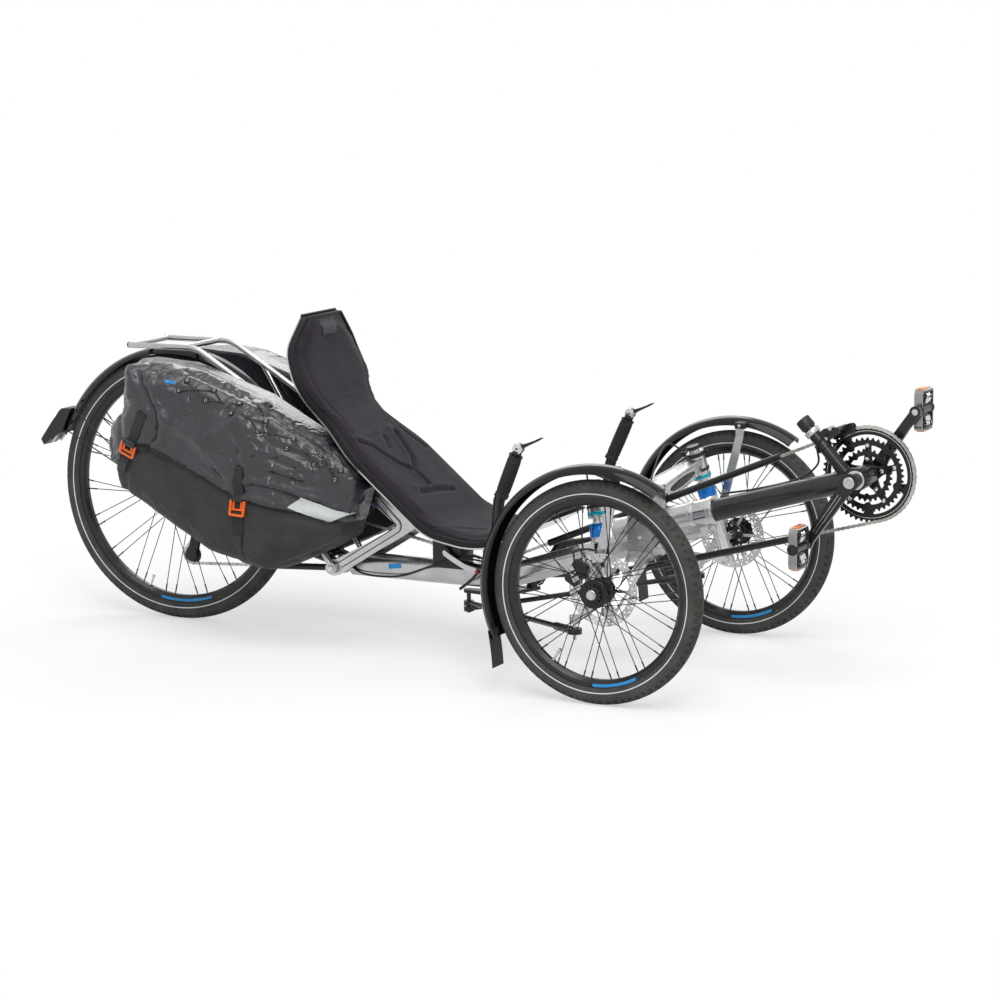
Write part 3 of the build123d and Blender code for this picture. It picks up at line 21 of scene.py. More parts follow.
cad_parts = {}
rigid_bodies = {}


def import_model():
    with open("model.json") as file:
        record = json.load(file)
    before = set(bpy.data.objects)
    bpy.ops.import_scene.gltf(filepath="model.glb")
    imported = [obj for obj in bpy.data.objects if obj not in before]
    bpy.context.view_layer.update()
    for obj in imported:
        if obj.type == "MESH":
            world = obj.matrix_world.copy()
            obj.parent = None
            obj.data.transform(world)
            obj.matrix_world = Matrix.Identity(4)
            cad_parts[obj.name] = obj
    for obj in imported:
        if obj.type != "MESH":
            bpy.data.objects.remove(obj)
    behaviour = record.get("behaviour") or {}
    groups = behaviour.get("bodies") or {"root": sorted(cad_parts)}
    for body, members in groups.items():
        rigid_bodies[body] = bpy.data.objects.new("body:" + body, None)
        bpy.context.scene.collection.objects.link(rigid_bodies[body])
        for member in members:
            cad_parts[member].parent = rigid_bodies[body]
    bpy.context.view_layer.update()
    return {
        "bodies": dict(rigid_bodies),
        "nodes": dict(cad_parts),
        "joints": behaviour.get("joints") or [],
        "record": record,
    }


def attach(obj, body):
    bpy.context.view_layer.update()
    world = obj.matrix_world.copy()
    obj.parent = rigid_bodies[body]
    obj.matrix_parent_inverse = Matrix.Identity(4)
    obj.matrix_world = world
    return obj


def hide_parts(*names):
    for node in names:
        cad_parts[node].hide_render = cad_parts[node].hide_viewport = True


LOG = logging.getLogger("trike")
MM = 0.001
PITCH_MM = 12.7
RING_TEETH = 52
REAR_END_MM = 1700.0
BB_MM = (451.0, 464.0)
CRANK_MM = 170.0
CRANK_DEG = 55.5
# How far the crank arm's end and the ring's teeth reach past the pedal's axle and the pitch circle.
ARM_END_MM = 13.0
TOOTH_TIP_MM = 4.6
FRONT_REACH_MM = max(
    CRANK_MM * math.cos(math.radians(CRANK_DEG)) + ARM_END_MM,
    PITCH_MM / (2 * math.sin(math.pi / RING_TEETH)) + TOOTH_TIP_MM,
)
# The front axle line lies this far ahead of the model's middle.
FRONT_X_MM = (REAR_END_MM - BB_MM[0] - FRONT_REACH_MM) / 2
HALF_TRACK_MM = 390.0
FRONT_AXLE_Z_MM = 245.0
REAR_HUB_MM = (-1310.0, 0.0, 328.0)
FRONT_TYRE_MM = 245.0
REAR_TYRE_MM = 328.0
AXLE_BORE_MM = 6.05
# The kingpins' lean, and their place at axle height.
KINGPIN_DEG = 13.0
KINGPIN_MM = (-12.0, 322.0)
BOOM_DEG = 15.6
SEAT_BRACKET_Y_MM = 72.4
# The swingarm's pivot and the shock's upper eye, ahead and up.
PIVOT_MM = (-838, 176)
SHOCK_TOP_MM = (-742, 354)
# Radians of bend from which an edge is rounded, half a square's diagonal, and the reach within which doubles merge.
BENT = 0.6
CORNER = 0.7071
MERGE_M = 1e-6
LEFTWARD = Vector((0, 1, 0))
UPWARD = Vector((0, 0, 1))
Colour = tuple[float, float, float]
Point2 = tuple[float, float]
Point3 = tuple[float, float, float]
Landing = Callable[[float, float], tuple[Vector, Vector]]


def at(x: float, y: float = 0.0, z: float = 0.0) -> Vector:
    """Turn a place measured from the front axle line into model metres.

    Args:
        x: Millimetres ahead of the front axle line.
        y: Millimetres to the rider's left.
        z: Millimetres above the floor.

    Returns:
        The place in metres in the model's frame.
    """
    return Vector(((FRONT_X_MM + x) * MM, y * MM, z * MM))


def clock(turn: float) -> Vector:
    """The unit way at an angle in radians, from straight ahead over the top."""
    return Vector((math.cos(turn), 0, math.sin(turn)))


def heading(path: Sequence[Vector], index: int) -> Vector:
    """The way that a path runs at one of its points."""
    return (path[min(index + 1, len(path) - 1)] - path[max(index - 1, 0)]).normalized()


def facing(side: Vector, ahead: Vector) -> Matrix:
    """The turn that takes X to side and Z to ahead."""
    return Matrix((side, ahead.cross(side), ahead)).transposed().to_4x4()


def link(obj: bpy.types.Object) -> None:
    """Put an object in the scene."""
    bpy.context.scene.collection.objects.link(obj)


def pitch_radius(teeth: int) -> float:
    """Radius in millimetres of the circle that the chain's pins lie on."""
    return PITCH_MM / (2 * math.sin(math.pi / teeth))


def section(outline: Iterable[Point2], sign: float = 1) -> list[Point2]:
    """Turn an outline from millimetres into metres.

    Args:
        outline: (radius, distance to the left) pairs in millimetres.
        sign: -1 mirrors it to the right.

    Returns:
        The same pairs in metres.
    """
    return [(r * MM, sign * y * MM) for r, y in outline]


class Side(Enum):
    """The rider's two sides; the value is the sign of Y."""

    RIGHT = -1
    LEFT = 1

    @property
    def word(self) -> str:
        """The side's name as the model's nodes spell it."""
        return self.name.lower()


# ---------------------------------------------------------------- shader toolkit


class Val:
    """A shader socket that takes part in arithmetic."""

    def __init__(self, shader: Shader, socket: bpy.types.NodeSocket) -> None:
        """Keep the socket and the shader that owns it."""
        self.shader = shader
        self.socket = socket

    def _sum(self, operation: str, first: Val | float, second: Val | float) -> Val:
        """Add one Math node and return its result."""
        return self.shader.node("ShaderNodeMath", {"operation": operation}, [first, second])

    def __add__(self, other: Val | float) -> Val:
        """Add."""
        return self._sum("ADD", self, other)

    __radd__ = __add__

    def __sub__(self, other: Val | float) -> Val:
        """Subtract."""
        return self._sum("SUBTRACT", self, other)

    def __rsub__(self, other: Val | float) -> Val:
        """Subtract this from other."""
        return self._sum("SUBTRACT", other, self)

    def __mul__(self, other: Val | float) -> Val:
        """Multiply."""
        return self._sum("MULTIPLY", self, other)

    __rmul__ = __mul__

    def __pow__(self, other: Val | float) -> Val:
        """Raise to a power."""
        return self._sum("POWER", self, other)

    def sine(self) -> Val:
        """The sine of this value."""
        return self._sum("SINE", self, 0.0)

    def step(self, low: float, high: float) -> Val:
        """A smooth step from 0 at low to 1 at high.

        Args:
            low: Where the step starts.
            high: Where the step ends.

        Returns:
            The stepped value.
        """
        settings = {"interpolation_type": "SMOOTHSTEP"}
        return self.shader.node("ShaderNodeMapRange", settings, [self, low, high, 0.0, 1.0])


class Shader:
    """One node material under construction."""

    def __init__(self, name: str) -> None:
        """Start a material with a Principled surface.

        Args:
            name: The material's name.
        """
        self.material = bpy.data.materials.new(name)
        self.material.use_nodes = True
        self.tree = self.material.node_tree
        self.tree.nodes.clear()
        self.surface = self.tree.nodes.new("ShaderNodeBsdfPrincipled")
        output = self.tree.nodes.new("ShaderNodeOutputMaterial")
        self.tree.links.new(self.surface.outputs[0], output.inputs[0])

    def node(
        self,
        kind: str,
        settings: dict[str, object] | None = None,
        inputs: Sequence[object] | dict[str, object] = (),
        output: int | str = 0,
    ) -> Val:
        """Add a node, set it up, feed it and return one of its outputs.

        Args:
            kind: The node's type name.
            settings: Properties to set before its sockets are used.
            inputs: Values or links, in socket order or by socket name.
            output: Which output to return.

        Returns:
            The chosen output.
        """
        made = self.tree.nodes.new(kind)
        for key, value in (settings or {}).items():
            setattr(made, key, value)
        pairs = inputs.items() if isinstance(inputs, dict) else enumerate(inputs)
        for key, value in pairs:
            self._feed(made.inputs[key], value)
        return Val(self, made.outputs[output])

    def _feed(self, socket: bpy.types.NodeSocket, value: object) -> None:
        """Link a value into a socket, or set it there."""
        if isinstance(value, Val):
            self.tree.links.new(value.socket, socket)
        elif isinstance(value, tuple) and socket.type == "RGBA" and len(value) == 3:
            socket.default_value = (*value, 1.0)
        elif value is not None:
            socket.default_value = value

    def place(self) -> Val:
        """Object coordinates, which are the model's own metres."""
        return self.node("ShaderNodeTexCoord", output="Object")

    def axis(self, name: str) -> Val:
        """One of the object coordinates, X, Y or Z."""
        return self.node("ShaderNodeSeparateXYZ", None, [self.place()], name)

    def noise(self, size: float, detail: float = 3.0, rough: float = 0.55, stretch: Colour | None = None) -> Val:
        """Cloudy noise whose blotches are about size metres across.

        Args:
            size: Blotch size in metres.
            detail: Levels of finer noise.
            rough: Strength of the finer levels.
            stretch: Scale along each axis, for streaks.

        Returns:
            The noise, from 0 to 1.
        """
        where = self.place()
        if stretch:
            where = self.node("ShaderNodeMapping", None, {"Vector": where, "Scale": stretch})
        feed = {"Vector": where, "Scale": 1.0 / size, "Detail": detail, "Roughness": rough}
        return self.node("ShaderNodeTexNoise", None, feed, "Fac")

    def mix(self, amount: Val | float, first: object, second: object) -> Val:
        """Lay one colour over another.

        Args:
            amount: How much of the second colour shows.
            first: The colour underneath.
            second: The colour on top.

        Returns:
            The mixed colour.
        """
        made = self.tree.nodes.new("ShaderNodeMix")
        made.data_type = "RGBA"
        for index, value in ((0, amount), (6, first), (7, second)):
            self._feed(made.inputs[index], value)
        return Val(self, made.outputs[2])

    def bump(self, height: Val, depth: float) -> None:
        """Raise the surface by a height map.

        Args:
            height: The height, from 0 to 1.
            depth: Metres that a height of 1 stands for.
        """
        raised = self.node("ShaderNodeBump", None, {"Height": height, "Distance": depth, "Strength": 1.0})
        self.feed("Normal", raised)

    def paint(self, colour: object, rough: Val | float) -> None:
        """Set the surface's colour and roughness."""
        self.feed("Base Color", colour)
        self.feed("Roughness", rough)

    def coat(self, weight: float, rough: float) -> None:
        """Lay a clear coat on the surface."""
        self.feed("Coat Weight", weight)
        self.feed("Coat Roughness", rough)

    def feed(self, name: str, value: object) -> None:
        """Set or link one socket of the surface."""
        self._feed(self.surface.inputs[name], value)


@dataclass(frozen=True)
class Finish:
    """A plain moulded or painted finish with fine mottling.

    Attributes:
        name: The material's name.
        colour: Base colour.
        rough: Middle roughness.
        metal: Metallic share.
        coat: Clear coat weight.
        mottle: How much the colour varies.
        grain: Size of the surface grain in metres.
        relief: Height of the grain in metres.
        dust: How much pale dust lies low down and in patches.
        gloss: Level of the plain reflection.
    """

    name: str
    colour: Colour
    rough: float = 0.5
    metal: float = 0.0
    coat: float = 0.0
    mottle: float = 0.12
    grain: float = 0.0006
    relief: float = 0.00003
    dust: float = 0.0
    gloss: float = 0.4

    def build(self) -> bpy.types.Material:
        """Make the material.

        Returns:
            The node material.
        """
        shader = Shader(self.name)
        cloud = shader.noise(0.06, 4.0)
        fine = shader.noise(self.grain, 2.0)
        base = shader.mix(cloud.step(0.3, 0.7), self.tone(1 - self.mottle), self.tone(1 + self.mottle))
        if self.dust:
            low = 1.0 - shader.axis("Z").step(0.0, 0.45)
            patch = shader.noise(0.025, 5.0, 0.7).step(0.42, 0.75)
            base = shader.mix(patch * (low * 0.6 + 0.4) * self.dust, base, (0.2, 0.19, 0.175))
        shader.feed("Specular IOR Level", self.gloss)
        self.detail(shader, base, cloud, fine)
        return shader.material

    def detail(self, shader: Shader, base: Val, cloud: Val, fine: Val) -> None:
        """Set the surface's sockets; special finishes replace this.

        Args:
            shader: The material under construction.
            base: The mottled colour.
            cloud: Large noise.
            fine: Grain noise.
        """
        shader.paint(base, (cloud - 0.5) * 0.16 + (fine - 0.5) * 0.08 + self.rough)
        shader.feed("Metallic", self.metal)
        shader.coat(self.coat, 0.06)
        shader.bump(fine, self.relief)

    def tone(self, share: float, lift: float = 0.0) -> Colour:
        """The finish's colour made darker or paler.

        Args:
            share: What each channel is multiplied by.
            lift: What is added to it.

        Returns:
            The new colour, no channel over 1.
        """
        return tuple(min(c * share + lift, 1) for c in self.colour)


@dataclass(frozen=True)
class Alloy(Finish):
    """Forged or brushed alloy with fine scratches along one axis.

    Attributes:
        along: Stretch of the brushing along each axis; small means long streaks.
    """

    along: Colour = (1.0, 0.08, 1.0)

    def detail(self, shader: Shader, base: Val, cloud: Val, fine: Val) -> None:
        """Brushed streaks in colour, roughness and relief; see Finish.detail."""
        streak = shader.noise(0.0009, 3.0, 0.6, self.along)
        stain = shader.noise(0.02, 4.0, 0.6).step(0.55, 0.8)
        toned = shader.mix(streak.step(0.35, 0.65) * 0.16, base, self.tone(0.72))
        shader.paint(shader.mix(stain * 0.16, toned, self.tone(0.6)),
                     (streak - 0.5) * 0.1 + (cloud - 0.5) * 0.12 + self.rough)
        shader.feed("Metallic", self.metal)
        shader.bump(streak, self.relief)


@dataclass(frozen=True)
class Cloth(Finish):
    """Woven cloth: fine crossed threads, soft wear and a little lint.

    Attributes:
        thread: Distance between threads in metres.
        sheen: Strength of the soft edge glow.
    """

    thread: float = 0.0016
    sheen: float = 0.12

    def detail(self, shader: Shader, base: Val, cloud: Val, fine: Val) -> None:
        """Crossed threads in colour and relief; see Finish.detail."""
        turn = 2 * math.pi / self.thread
        along = (shader.axis("X") + shader.axis("Z") * 0.7) * turn
        across = (shader.axis("Y") + shader.axis("Z") * 0.7 - shader.axis("X") * 0.2) * turn
        warp = along.sine() * 0.5 + 0.5
        weft = across.sine() * 0.5 + 0.5
        threads = warp * 0.5 + weft * 0.5
        lint = shader.noise(0.004, 5.0, 0.7).step(0.6, 0.85)
        toned = shader.mix(threads.step(0.2, 0.9) * 0.4, base, self.tone(1.6))
        shader.paint(shader.mix(lint * 0.2, toned, self.tone(1.9, 0.01)), (cloud - 0.5) * 0.1 + self.rough)
        shader.feed("Sheen Weight", self.sheen)
        shader.feed("Sheen Roughness", 0.5)
        shader.coat(self.coat, 0.25)
        shader.bump(threads + fine * 0.4, self.relief)


@dataclass(frozen=True)
class CoatedCloth(Finish):
    """Waterproof coated cloth: shallow crinkles, scuffs and an uneven shine."""

    def detail(self, shader: Shader, base: Val, cloud: Val, fine: Val) -> None:
        """Crinkled relief and patchy gloss; see Finish.detail."""
        crinkle = shader.noise(0.018, 6.0, 0.62)
        wide = shader.noise(0.11, 2.0, 0.5)
        scuff = shader.noise(0.006, 4.0, 0.75, (0.35, 1.0, 1.0)).step(0.6, 0.8)
        shader.paint(shader.mix(scuff * 0.3, base, self.tone(1.7, 0.006)),
                     (wide - 0.5) * 0.3 + (crinkle - 0.5) * 0.2 + scuff * 0.12 + self.rough)
        shader.coat(self.coat, 0.16)
        shader.bump(crinkle + fine * 0.06, self.relief)


@dataclass(frozen=True)
class Tread(Finish):
    """Rubber with a dry, uneven surface and road dust in its pores."""

    def detail(self, shader: Shader, base: Val, cloud: Val, fine: Val) -> None:
        """Dusty pores in colour, roughness and relief; see Finish.detail."""
        pores = shader.noise(0.0022, 4.0, 0.7)
        dusty = shader.mix(pores.step(0.5, 0.85) * 0.14, base, (0.09, 0.09, 0.082))
        shader.paint(dusty, (pores - 0.5) * 0.2 + self.rough)
        shader.bump(pores, self.relief)


@dataclass(frozen=True)
class Lens(Finish):
    """A moulded reflector or lamp lens with tiny prisms and a painted glow."""

    def detail(self, shader: Shader, base: Val, cloud: Val, fine: Val) -> None:
        """Prism relief and a painted glow, a faint light of the lens's own colour; see Finish.detail."""
        cell = shader.node("ShaderNodeTexVoronoi", {"feature": "F1"}, {"Vector": shader.place(), "Scale": 420.0})
        shader.paint(shader.mix(cell.step(0.1, 0.6) * 0.5, base, self.tone(0.5)), self.rough)
        shader.feed("Coat Weight", 0.8)
        # Painted glow: the lens gives off a faint light of its own colour.
        shader.feed("Emission Color", self.colour)
        shader.feed("Emission Strength", 0.12)
        shader.bump(cell, self.relief)


class Look(Enum):
    """Every finish on the trike."""

    TUBE_SILVER = Alloy("silver_tube", (0.47, 0.475, 0.48), 0.24, 0.92, relief=0.00002, along=(0.05, 1.0, 1.0))
    BOOM_GREY = Finish("dark_boom", (0.03, 0.031, 0.034), 0.27, 0.5, 0.15, relief=0.00001)
    BLACK_METAL = Finish("black_enamel", (0.011, 0.011, 0.012), 0.32, 0.2, 0.12, relief=0.00001)
    FORGED = Alloy("forged_alloy", (0.54, 0.54, 0.55), 0.25, 0.94, relief=0.00003)
    PEDAL_ALLOY = Alloy("pedal_alloy", (0.3, 0.29, 0.285), 0.26, 0.95, relief=0.00002)
    STEEL = Alloy("bright_steel", (0.6, 0.595, 0.585), 0.24, 1.0, relief=0.00001, along=(1.0, 1.0, 0.2))
    CHAIN_STEEL = Alloy("oiled_chain", (0.46, 0.445, 0.415), 0.3, 1.0, mottle=0.3, relief=0.00001)
    DISC_STEEL = Alloy("ground_disc", (0.6, 0.6, 0.595), 0.3, 1.0, relief=0.00001, along=(1.0, 1.0, 1.0))
    RIM_BLACK = Finish("rim_enamel", (0.009, 0.009, 0.010), 0.3, 0.2, 0.15, dust=0.1, relief=0.00001)
    SPOKE_BLACK = Finish("black_spoke", (0.013, 0.013, 0.014), 0.35, 0.4, relief=0.00001)
    TYRE = Tread("tyre_compound", (0.053, 0.054, 0.049), 0.78, mottle=0.2, dust=0.1, relief=0.00012, gloss=0.2)
    STRIPE = Finish("reflex_stripe", (0.66, 0.67, 0.68), 0.42, 0.1, mottle=0.1, dust=0.15)
    FENDER = Finish("gloss_fender", (0.0035, 0.0038, 0.006), 0.1, 0.0, 0.1, dust=0.02, relief=0.000008, gloss=0.24)
    FLAP = Tread("flap_rubber", (0.012, 0.012, 0.0125), 0.55, relief=0.00005, gloss=0.3)
    PLASTIC = Finish("moulded_black", (0.012, 0.012, 0.013), 0.42, relief=0.00004)
    SLEEVE = Finish("chain_sleeve", (0.008, 0.008, 0.009), 0.34, relief=0.00002)
    GRIP = Tread("grip_compound", (0.029, 0.029, 0.027), 0.66, relief=0.00008, gloss=0.16)
    SEAT = Cloth("seat_mesh", (0.0195, 0.0155, 0.0215), 0.84, mottle=0.14, relief=0.00035, gloss=0.16)
    BINDING = Cloth("edge_tape", (0.006, 0.006, 0.007), 0.7, thread=0.0011, relief=0.0002, gloss=0.25)
    BAG_TOP = CoatedCloth("bag_lid_cloth", (0.02, 0.0205, 0.026), 0.3, coat=0.5, mottle=0.22, relief=0.0016, gloss=0.4)
    BAG_LOW = CoatedCloth("bag_body_cloth", (0.034, 0.036, 0.0335), 0.6, mottle=0.16, relief=0.0008, gloss=0.25)
    WEBBING = Cloth("strap_webbing", (0.02, 0.021, 0.0205), 0.75, thread=0.0013, relief=0.0003, gloss=0.25)
    PATCH = Finish("reflex_patch", (0.56, 0.58, 0.58), 0.5, 0.0, mottle=0.06, grain=0.0012, relief=0.00006)
    ORANGE = Finish("orange_buckle", (0.85, 0.13, 0.012), 0.34, 0.0, 0.2, mottle=0.06)
    AMBER = Lens("amber_reflector", (0.9, 0.26, 0.02), 0.22, relief=0.0004)
    RED = Lens("red_lens", (0.55, 0.015, 0.01), 0.2, relief=0.0004)
    WHITE_CABLE = Finish("clear_cable", (0.62, 0.62, 0.6), 0.35)
    BLUE = Finish("blue_anodised", (0.0, 0.15, 0.52), 0.26, 0.6, 0.2, relief=0.00001)
    TEAL = Finish("teal_ring", (0.0, 0.36, 0.48), 0.3, 0.5, 0.2, relief=0.00001)
    DECAL = Finish("blue_decal", (0.004, 0.24, 0.58), 0.35, 0.0, 0.2, relief=0.00001)
    CABLE = Finish("cable_sleeve", (0.009, 0.009, 0.010), 0.36, relief=0.00001)
    RING_BLACK = Finish("ring_anodised", (0.009, 0.009, 0.010), 0.26, 0.4, 0.1, relief=0.00001)
    LABEL = Cloth("woven_label", (0.045, 0.047, 0.055), 0.7, thread=0.0009, relief=0.00015, gloss=0.25)
    THREAD = Finish("sewing_thread", (0.05, 0.05, 0.054), 0.7, gloss=0.25)
    LACE = Finish("lace_cord", (0.035, 0.035, 0.037), 0.5)
    LOCK_RED = Finish("red_anodised", (0.5, 0.02, 0.04), 0.3, 0.5, relief=0.00001)

    def material(self) -> bpy.types.Material:
        """The finish's material, made on first use."""
        return bpy.data.materials.get(self.value.name) or self.value.build()


# ---------------------------------------------------------------- mesh toolkit


@dataclass
class Part:
    """A piece under construction.

    Attributes:
        name: The piece's name.
        look: Its main finish.
        body: The body that it rides on.
        slot: The record's material slot; not used.
        nodes: Solids that it stands for.
        sharp: Degrees above which an edge stays sharp.
    """

    name: str
    look: Look
    body: str
    slot: str
    nodes: tuple[str, ...] = ()
    sharp: float = 35.0
    mesh: bmesh.types.BMesh = field(default_factory=bmesh.new)

    def lathe(self, centre: Vector, profile: Sequence[Point2], steps: int, start: float = 0.0,
              sweep: float = 360.0) -> None:
        """Turn a closed profile about an axle along Y.

        Args:
            centre: The middle of the axle.
            profile: (radius, distance to the left) pairs in metres.
            steps: Faces around the turn.
            start: First angle in degrees, from straight ahead over the top.
            sweep: Degrees turned.
        """
        before = set(self.mesh.verts)
        turn = Matrix.Rotation(-math.radians(start), 3, "Y")
        row = [self.mesh.verts.new(centre + turn @ Vector((r, y, 0.0))) for r, y in profile]
        edges = [self.mesh.edges.new(pair) for pair in zip(row, row[1:] + row[:1])]
        full = abs(sweep) >= 359.9
        bmesh.ops.spin(self.mesh, geom=row + edges, cent=centre, axis=(0, -1, 0), angle=math.radians(sweep),
                       steps=steps, use_merge=full, use_duplicate=False)
        if not full:
            rims = {e for v in self.mesh.verts if v not in before for e in v.link_edges if e.is_boundary}
            bmesh.ops.holes_fill(self.mesh, edges=list(rims), sides=0)

    def drum(self, centre: Vector, axis: Vector, radius: float, length: float, sides: int = 24,
             tip: float | None = None, bevel: float = 0.0) -> None:
        """Add a straight round piece.

        Args:
            centre: Its middle.
            axis: Its direction.
            radius: Its radius at the start.
            length: Its length.
            sides: Faces around it.
            tip: Its radius at the far end.
            bevel: Width of the rounding at its two rims.
        """
        place = Matrix.Translation(centre) @ axis.normalized().to_track_quat("Z", "Y").to_matrix().to_4x4()
        made = bmesh.ops.create_cone(self.mesh, cap_ends=True, segments=sides, radius1=radius,
                                     radius2=radius if tip is None else tip, depth=length, matrix=place)["verts"]
        if bevel:
            rims = {e for v in made for e in v.link_edges if any(len(f.verts) > 4 for f in e.link_faces)}
            self._round(list(rims), bevel)

    def _round(self, edges: list[bmesh.types.BMEdge], width: float, segments: int = 2) -> None:
        """Round edges by a width in metres, with some faces across each."""
        bmesh.ops.bevel(self.mesh, geom=edges, offset=width, segments=segments, profile=0.5, affect="EDGES",
                        material=-1)

    def block(self, centre: Vector, size: Sequence[float], turn: Matrix | None = None, bevel: float = 0.0,
              segments: int = 2) -> None:
        """Add a box with rounded edges.

        Args:
            centre: Its middle.
            size: Its three lengths.
            turn: Its rotation.
            bevel: Radius of its edges.
            segments: Faces across each rounding.
        """
        place = Matrix.Translation(centre) @ (turn.to_4x4() if turn else Matrix.Identity(4)) @ Matrix.Diagonal(
            (*size, 1.0))
        made = bmesh.ops.create_cube(self.mesh, size=1.0, matrix=place)["verts"]
        if bevel:
            self._round(list({e for v in made for e in v.link_edges}), bevel, segments)

    def slab(self, outline: Sequence[Vector], push: Vector, bevel: float = 0.0) -> None:
        """Extrude a flat outline.

        Args:
            outline: Its corners in order.
            push: The extrusion.
            bevel: Radius of its edges.
        """
        row = [self.mesh.verts.new(p) for p in outline]
        face = self.mesh.faces.new(row)
        grown = bmesh.ops.extrude_face_region(self.mesh, geom=[face])["geom"]
        moved = [g for g in grown if isinstance(g, bmesh.types.BMVert)]
        bmesh.ops.translate(self.mesh, verts=moved, vec=push)
        made = row + moved
        bmesh.ops.recalc_face_normals(self.mesh, faces=list({f for v in made for f in v.link_faces}))
        if bevel:
            edges = {e for v in made for e in v.link_edges}
            self._round([e for e in edges if e.calc_face_angle(0.0) > BENT], bevel)

    def _skin(self, rings: Sequence[list[bmesh.types.BMVert]], loop: bool = False) -> None:
        """Bridge rings in turn, then close the two ends or join them.

        Args:
            rings: Loops of vertices in order.
            loop: Whether the last ring joins the first.
        """
        pairs = list(zip(rings, rings[1:])) + ([(rings[-1], rings[0])] if loop else [])
        for first, second in pairs:
            sets = (set(first), set(second))
            edges = {e for v in first + second for e in v.link_edges if any(set(e.verts) <= s for s in sets)}
            bmesh.ops.bridge_loops(self.mesh, edges=list(edges))
        if not loop:
            for ring in (rings[0], rings[-1]):
                rim = {e for v in ring for e in v.link_edges if set(e.verts) <= set(ring)}
                bmesh.ops.edgeloop_fill(self.mesh, edges=list(rim))
        faces = {f for ring in rings for v in ring for f in v.link_faces}
        bmesh.ops.recalc_face_normals(self.mesh, faces=list(faces))

    def _ring(self, centre: Vector, frame: Matrix, radius: float, sides: int) -> list[bmesh.types.BMVert]:
        """Add a circle of vertices about a place, turned by a frame."""
        place = Matrix.Translation(centre) @ frame
        return bmesh.ops.create_circle(self.mesh, cap_ends=False, segments=sides, radius=radius, matrix=place)["verts"]

    def tube(self, path: Sequence[Vector], radius: float, sides: int = 10,
             widths: Sequence[float] | None = None) -> None:
        """Run a round tube through a path.

        Args:
            path: Points on its middle line.
            radius: Its radius.
            sides: Faces around it.
            widths: A share of the radius at each point.
        """
        rings: list[list[bmesh.types.BMVert]] = []
        side = Vector((0, 0, 0))
        for index, point in enumerate(path):
            ahead = heading(path, index)
            turned = side - ahead * side.dot(ahead)
            side = turned.normalized() if turned.length > 0.05 else ahead.orthogonal().normalized()
            share = radius * (widths[index] if widths else 1.0)
            rings.append(self._ring(point, facing(side, ahead), share, sides))
        self._skin(rings)

    def band(self, path: Sequence[Vector], normals: Sequence[Vector], width: float, thick: float,
             loop: bool = False) -> None:
        """Run a flat strap through a path.

        Args:
            path: Points on its middle line.
            normals: The way its broad face looks at each point.
            width: Its width.
            thick: Its thickness.
            loop: Whether its ends meet.
        """
        rings = []
        spin = Matrix.Diagonal((width * CORNER, thick * CORNER, 1.0, 1.0)) @ Matrix.Rotation(math.pi / 4, 4, "Z")
        for index, (point, normal) in enumerate(zip(path, normals)):
            after, before = path[(index + 1) % len(path)], path[index - 1]
            ahead = (after - before).normalized() if loop else heading(path, index)
            rings.append(self._ring(point, facing(ahead.cross(normal).normalized(), ahead) @ spin, 1.0, 4))
        self._skin(rings, loop)

    def hoop(self, centre: Vector, axis: Vector, radius: float, bead: float, steps: int = 32,
             sides: int = 8) -> None:
        """Lay a round ring about an axis, such as a weld bead or a spring's turn.

        Args:
            centre: Its middle.
            axis: The axis that it goes round.
            radius: Its radius.
            bead: Radius of its section.
            steps: Faces around the ring.
            sides: Faces around the section.
        """
        out = axis.orthogonal().normalized()
        frame = Matrix((out, axis.normalized(), out.cross(axis.normalized()))).transposed().to_4x4()
        made = self._ring(centre + out * radius, frame, bead, sides)
        edges = {e for v in made for e in v.link_edges}
        bmesh.ops.spin(self.mesh, geom=made + list(edges), cent=centre, axis=axis, angle=2 * math.pi, steps=steps,
                       use_merge=True, use_duplicate=False)

    def plate(self, centre: Vector, outer: Callable[[float], float], inner: Callable[[float], float],
              thick: float, steps: int) -> None:
        """Cut a flat ring about an axle along Y, both edges given as a radius for each angle.

        Args:
            centre: The middle of the ring.
            outer: Radius of the outer edge at an angle in radians.
            inner: Radius of the inner edge.
            thick: Its thickness.
            steps: Points around each edge.
        """
        base = centre - Vector((0, thick / 2, 0))
        loops = [self._ring(base, Matrix.Rotation(math.pi / 2, 4, "X"), 1.0, steps) for _ in range(2)]
        for loop, shape in zip(loops, (outer, inner)):
            for vert in loop:
                arm = vert.co - base
                vert.co = base + arm.normalized() * shape(math.atan2(arm.z, arm.x))
        edges = {e for loop in loops for v in loop for e in v.link_edges}
        flat = bmesh.ops.bridge_loops(self.mesh, edges=list(edges))["faces"]
        grown = bmesh.ops.extrude_face_region(self.mesh, geom=flat)["geom"]
        moved = [g for g in grown if isinstance(g, bmesh.types.BMVert)]
        bmesh.ops.translate(self.mesh, verts=moved, vec=(0, thick, 0))
        made = {f for v in moved + loops[0] + loops[1] for f in v.link_faces}
        bmesh.ops.recalc_face_normals(self.mesh, faces=list(made))

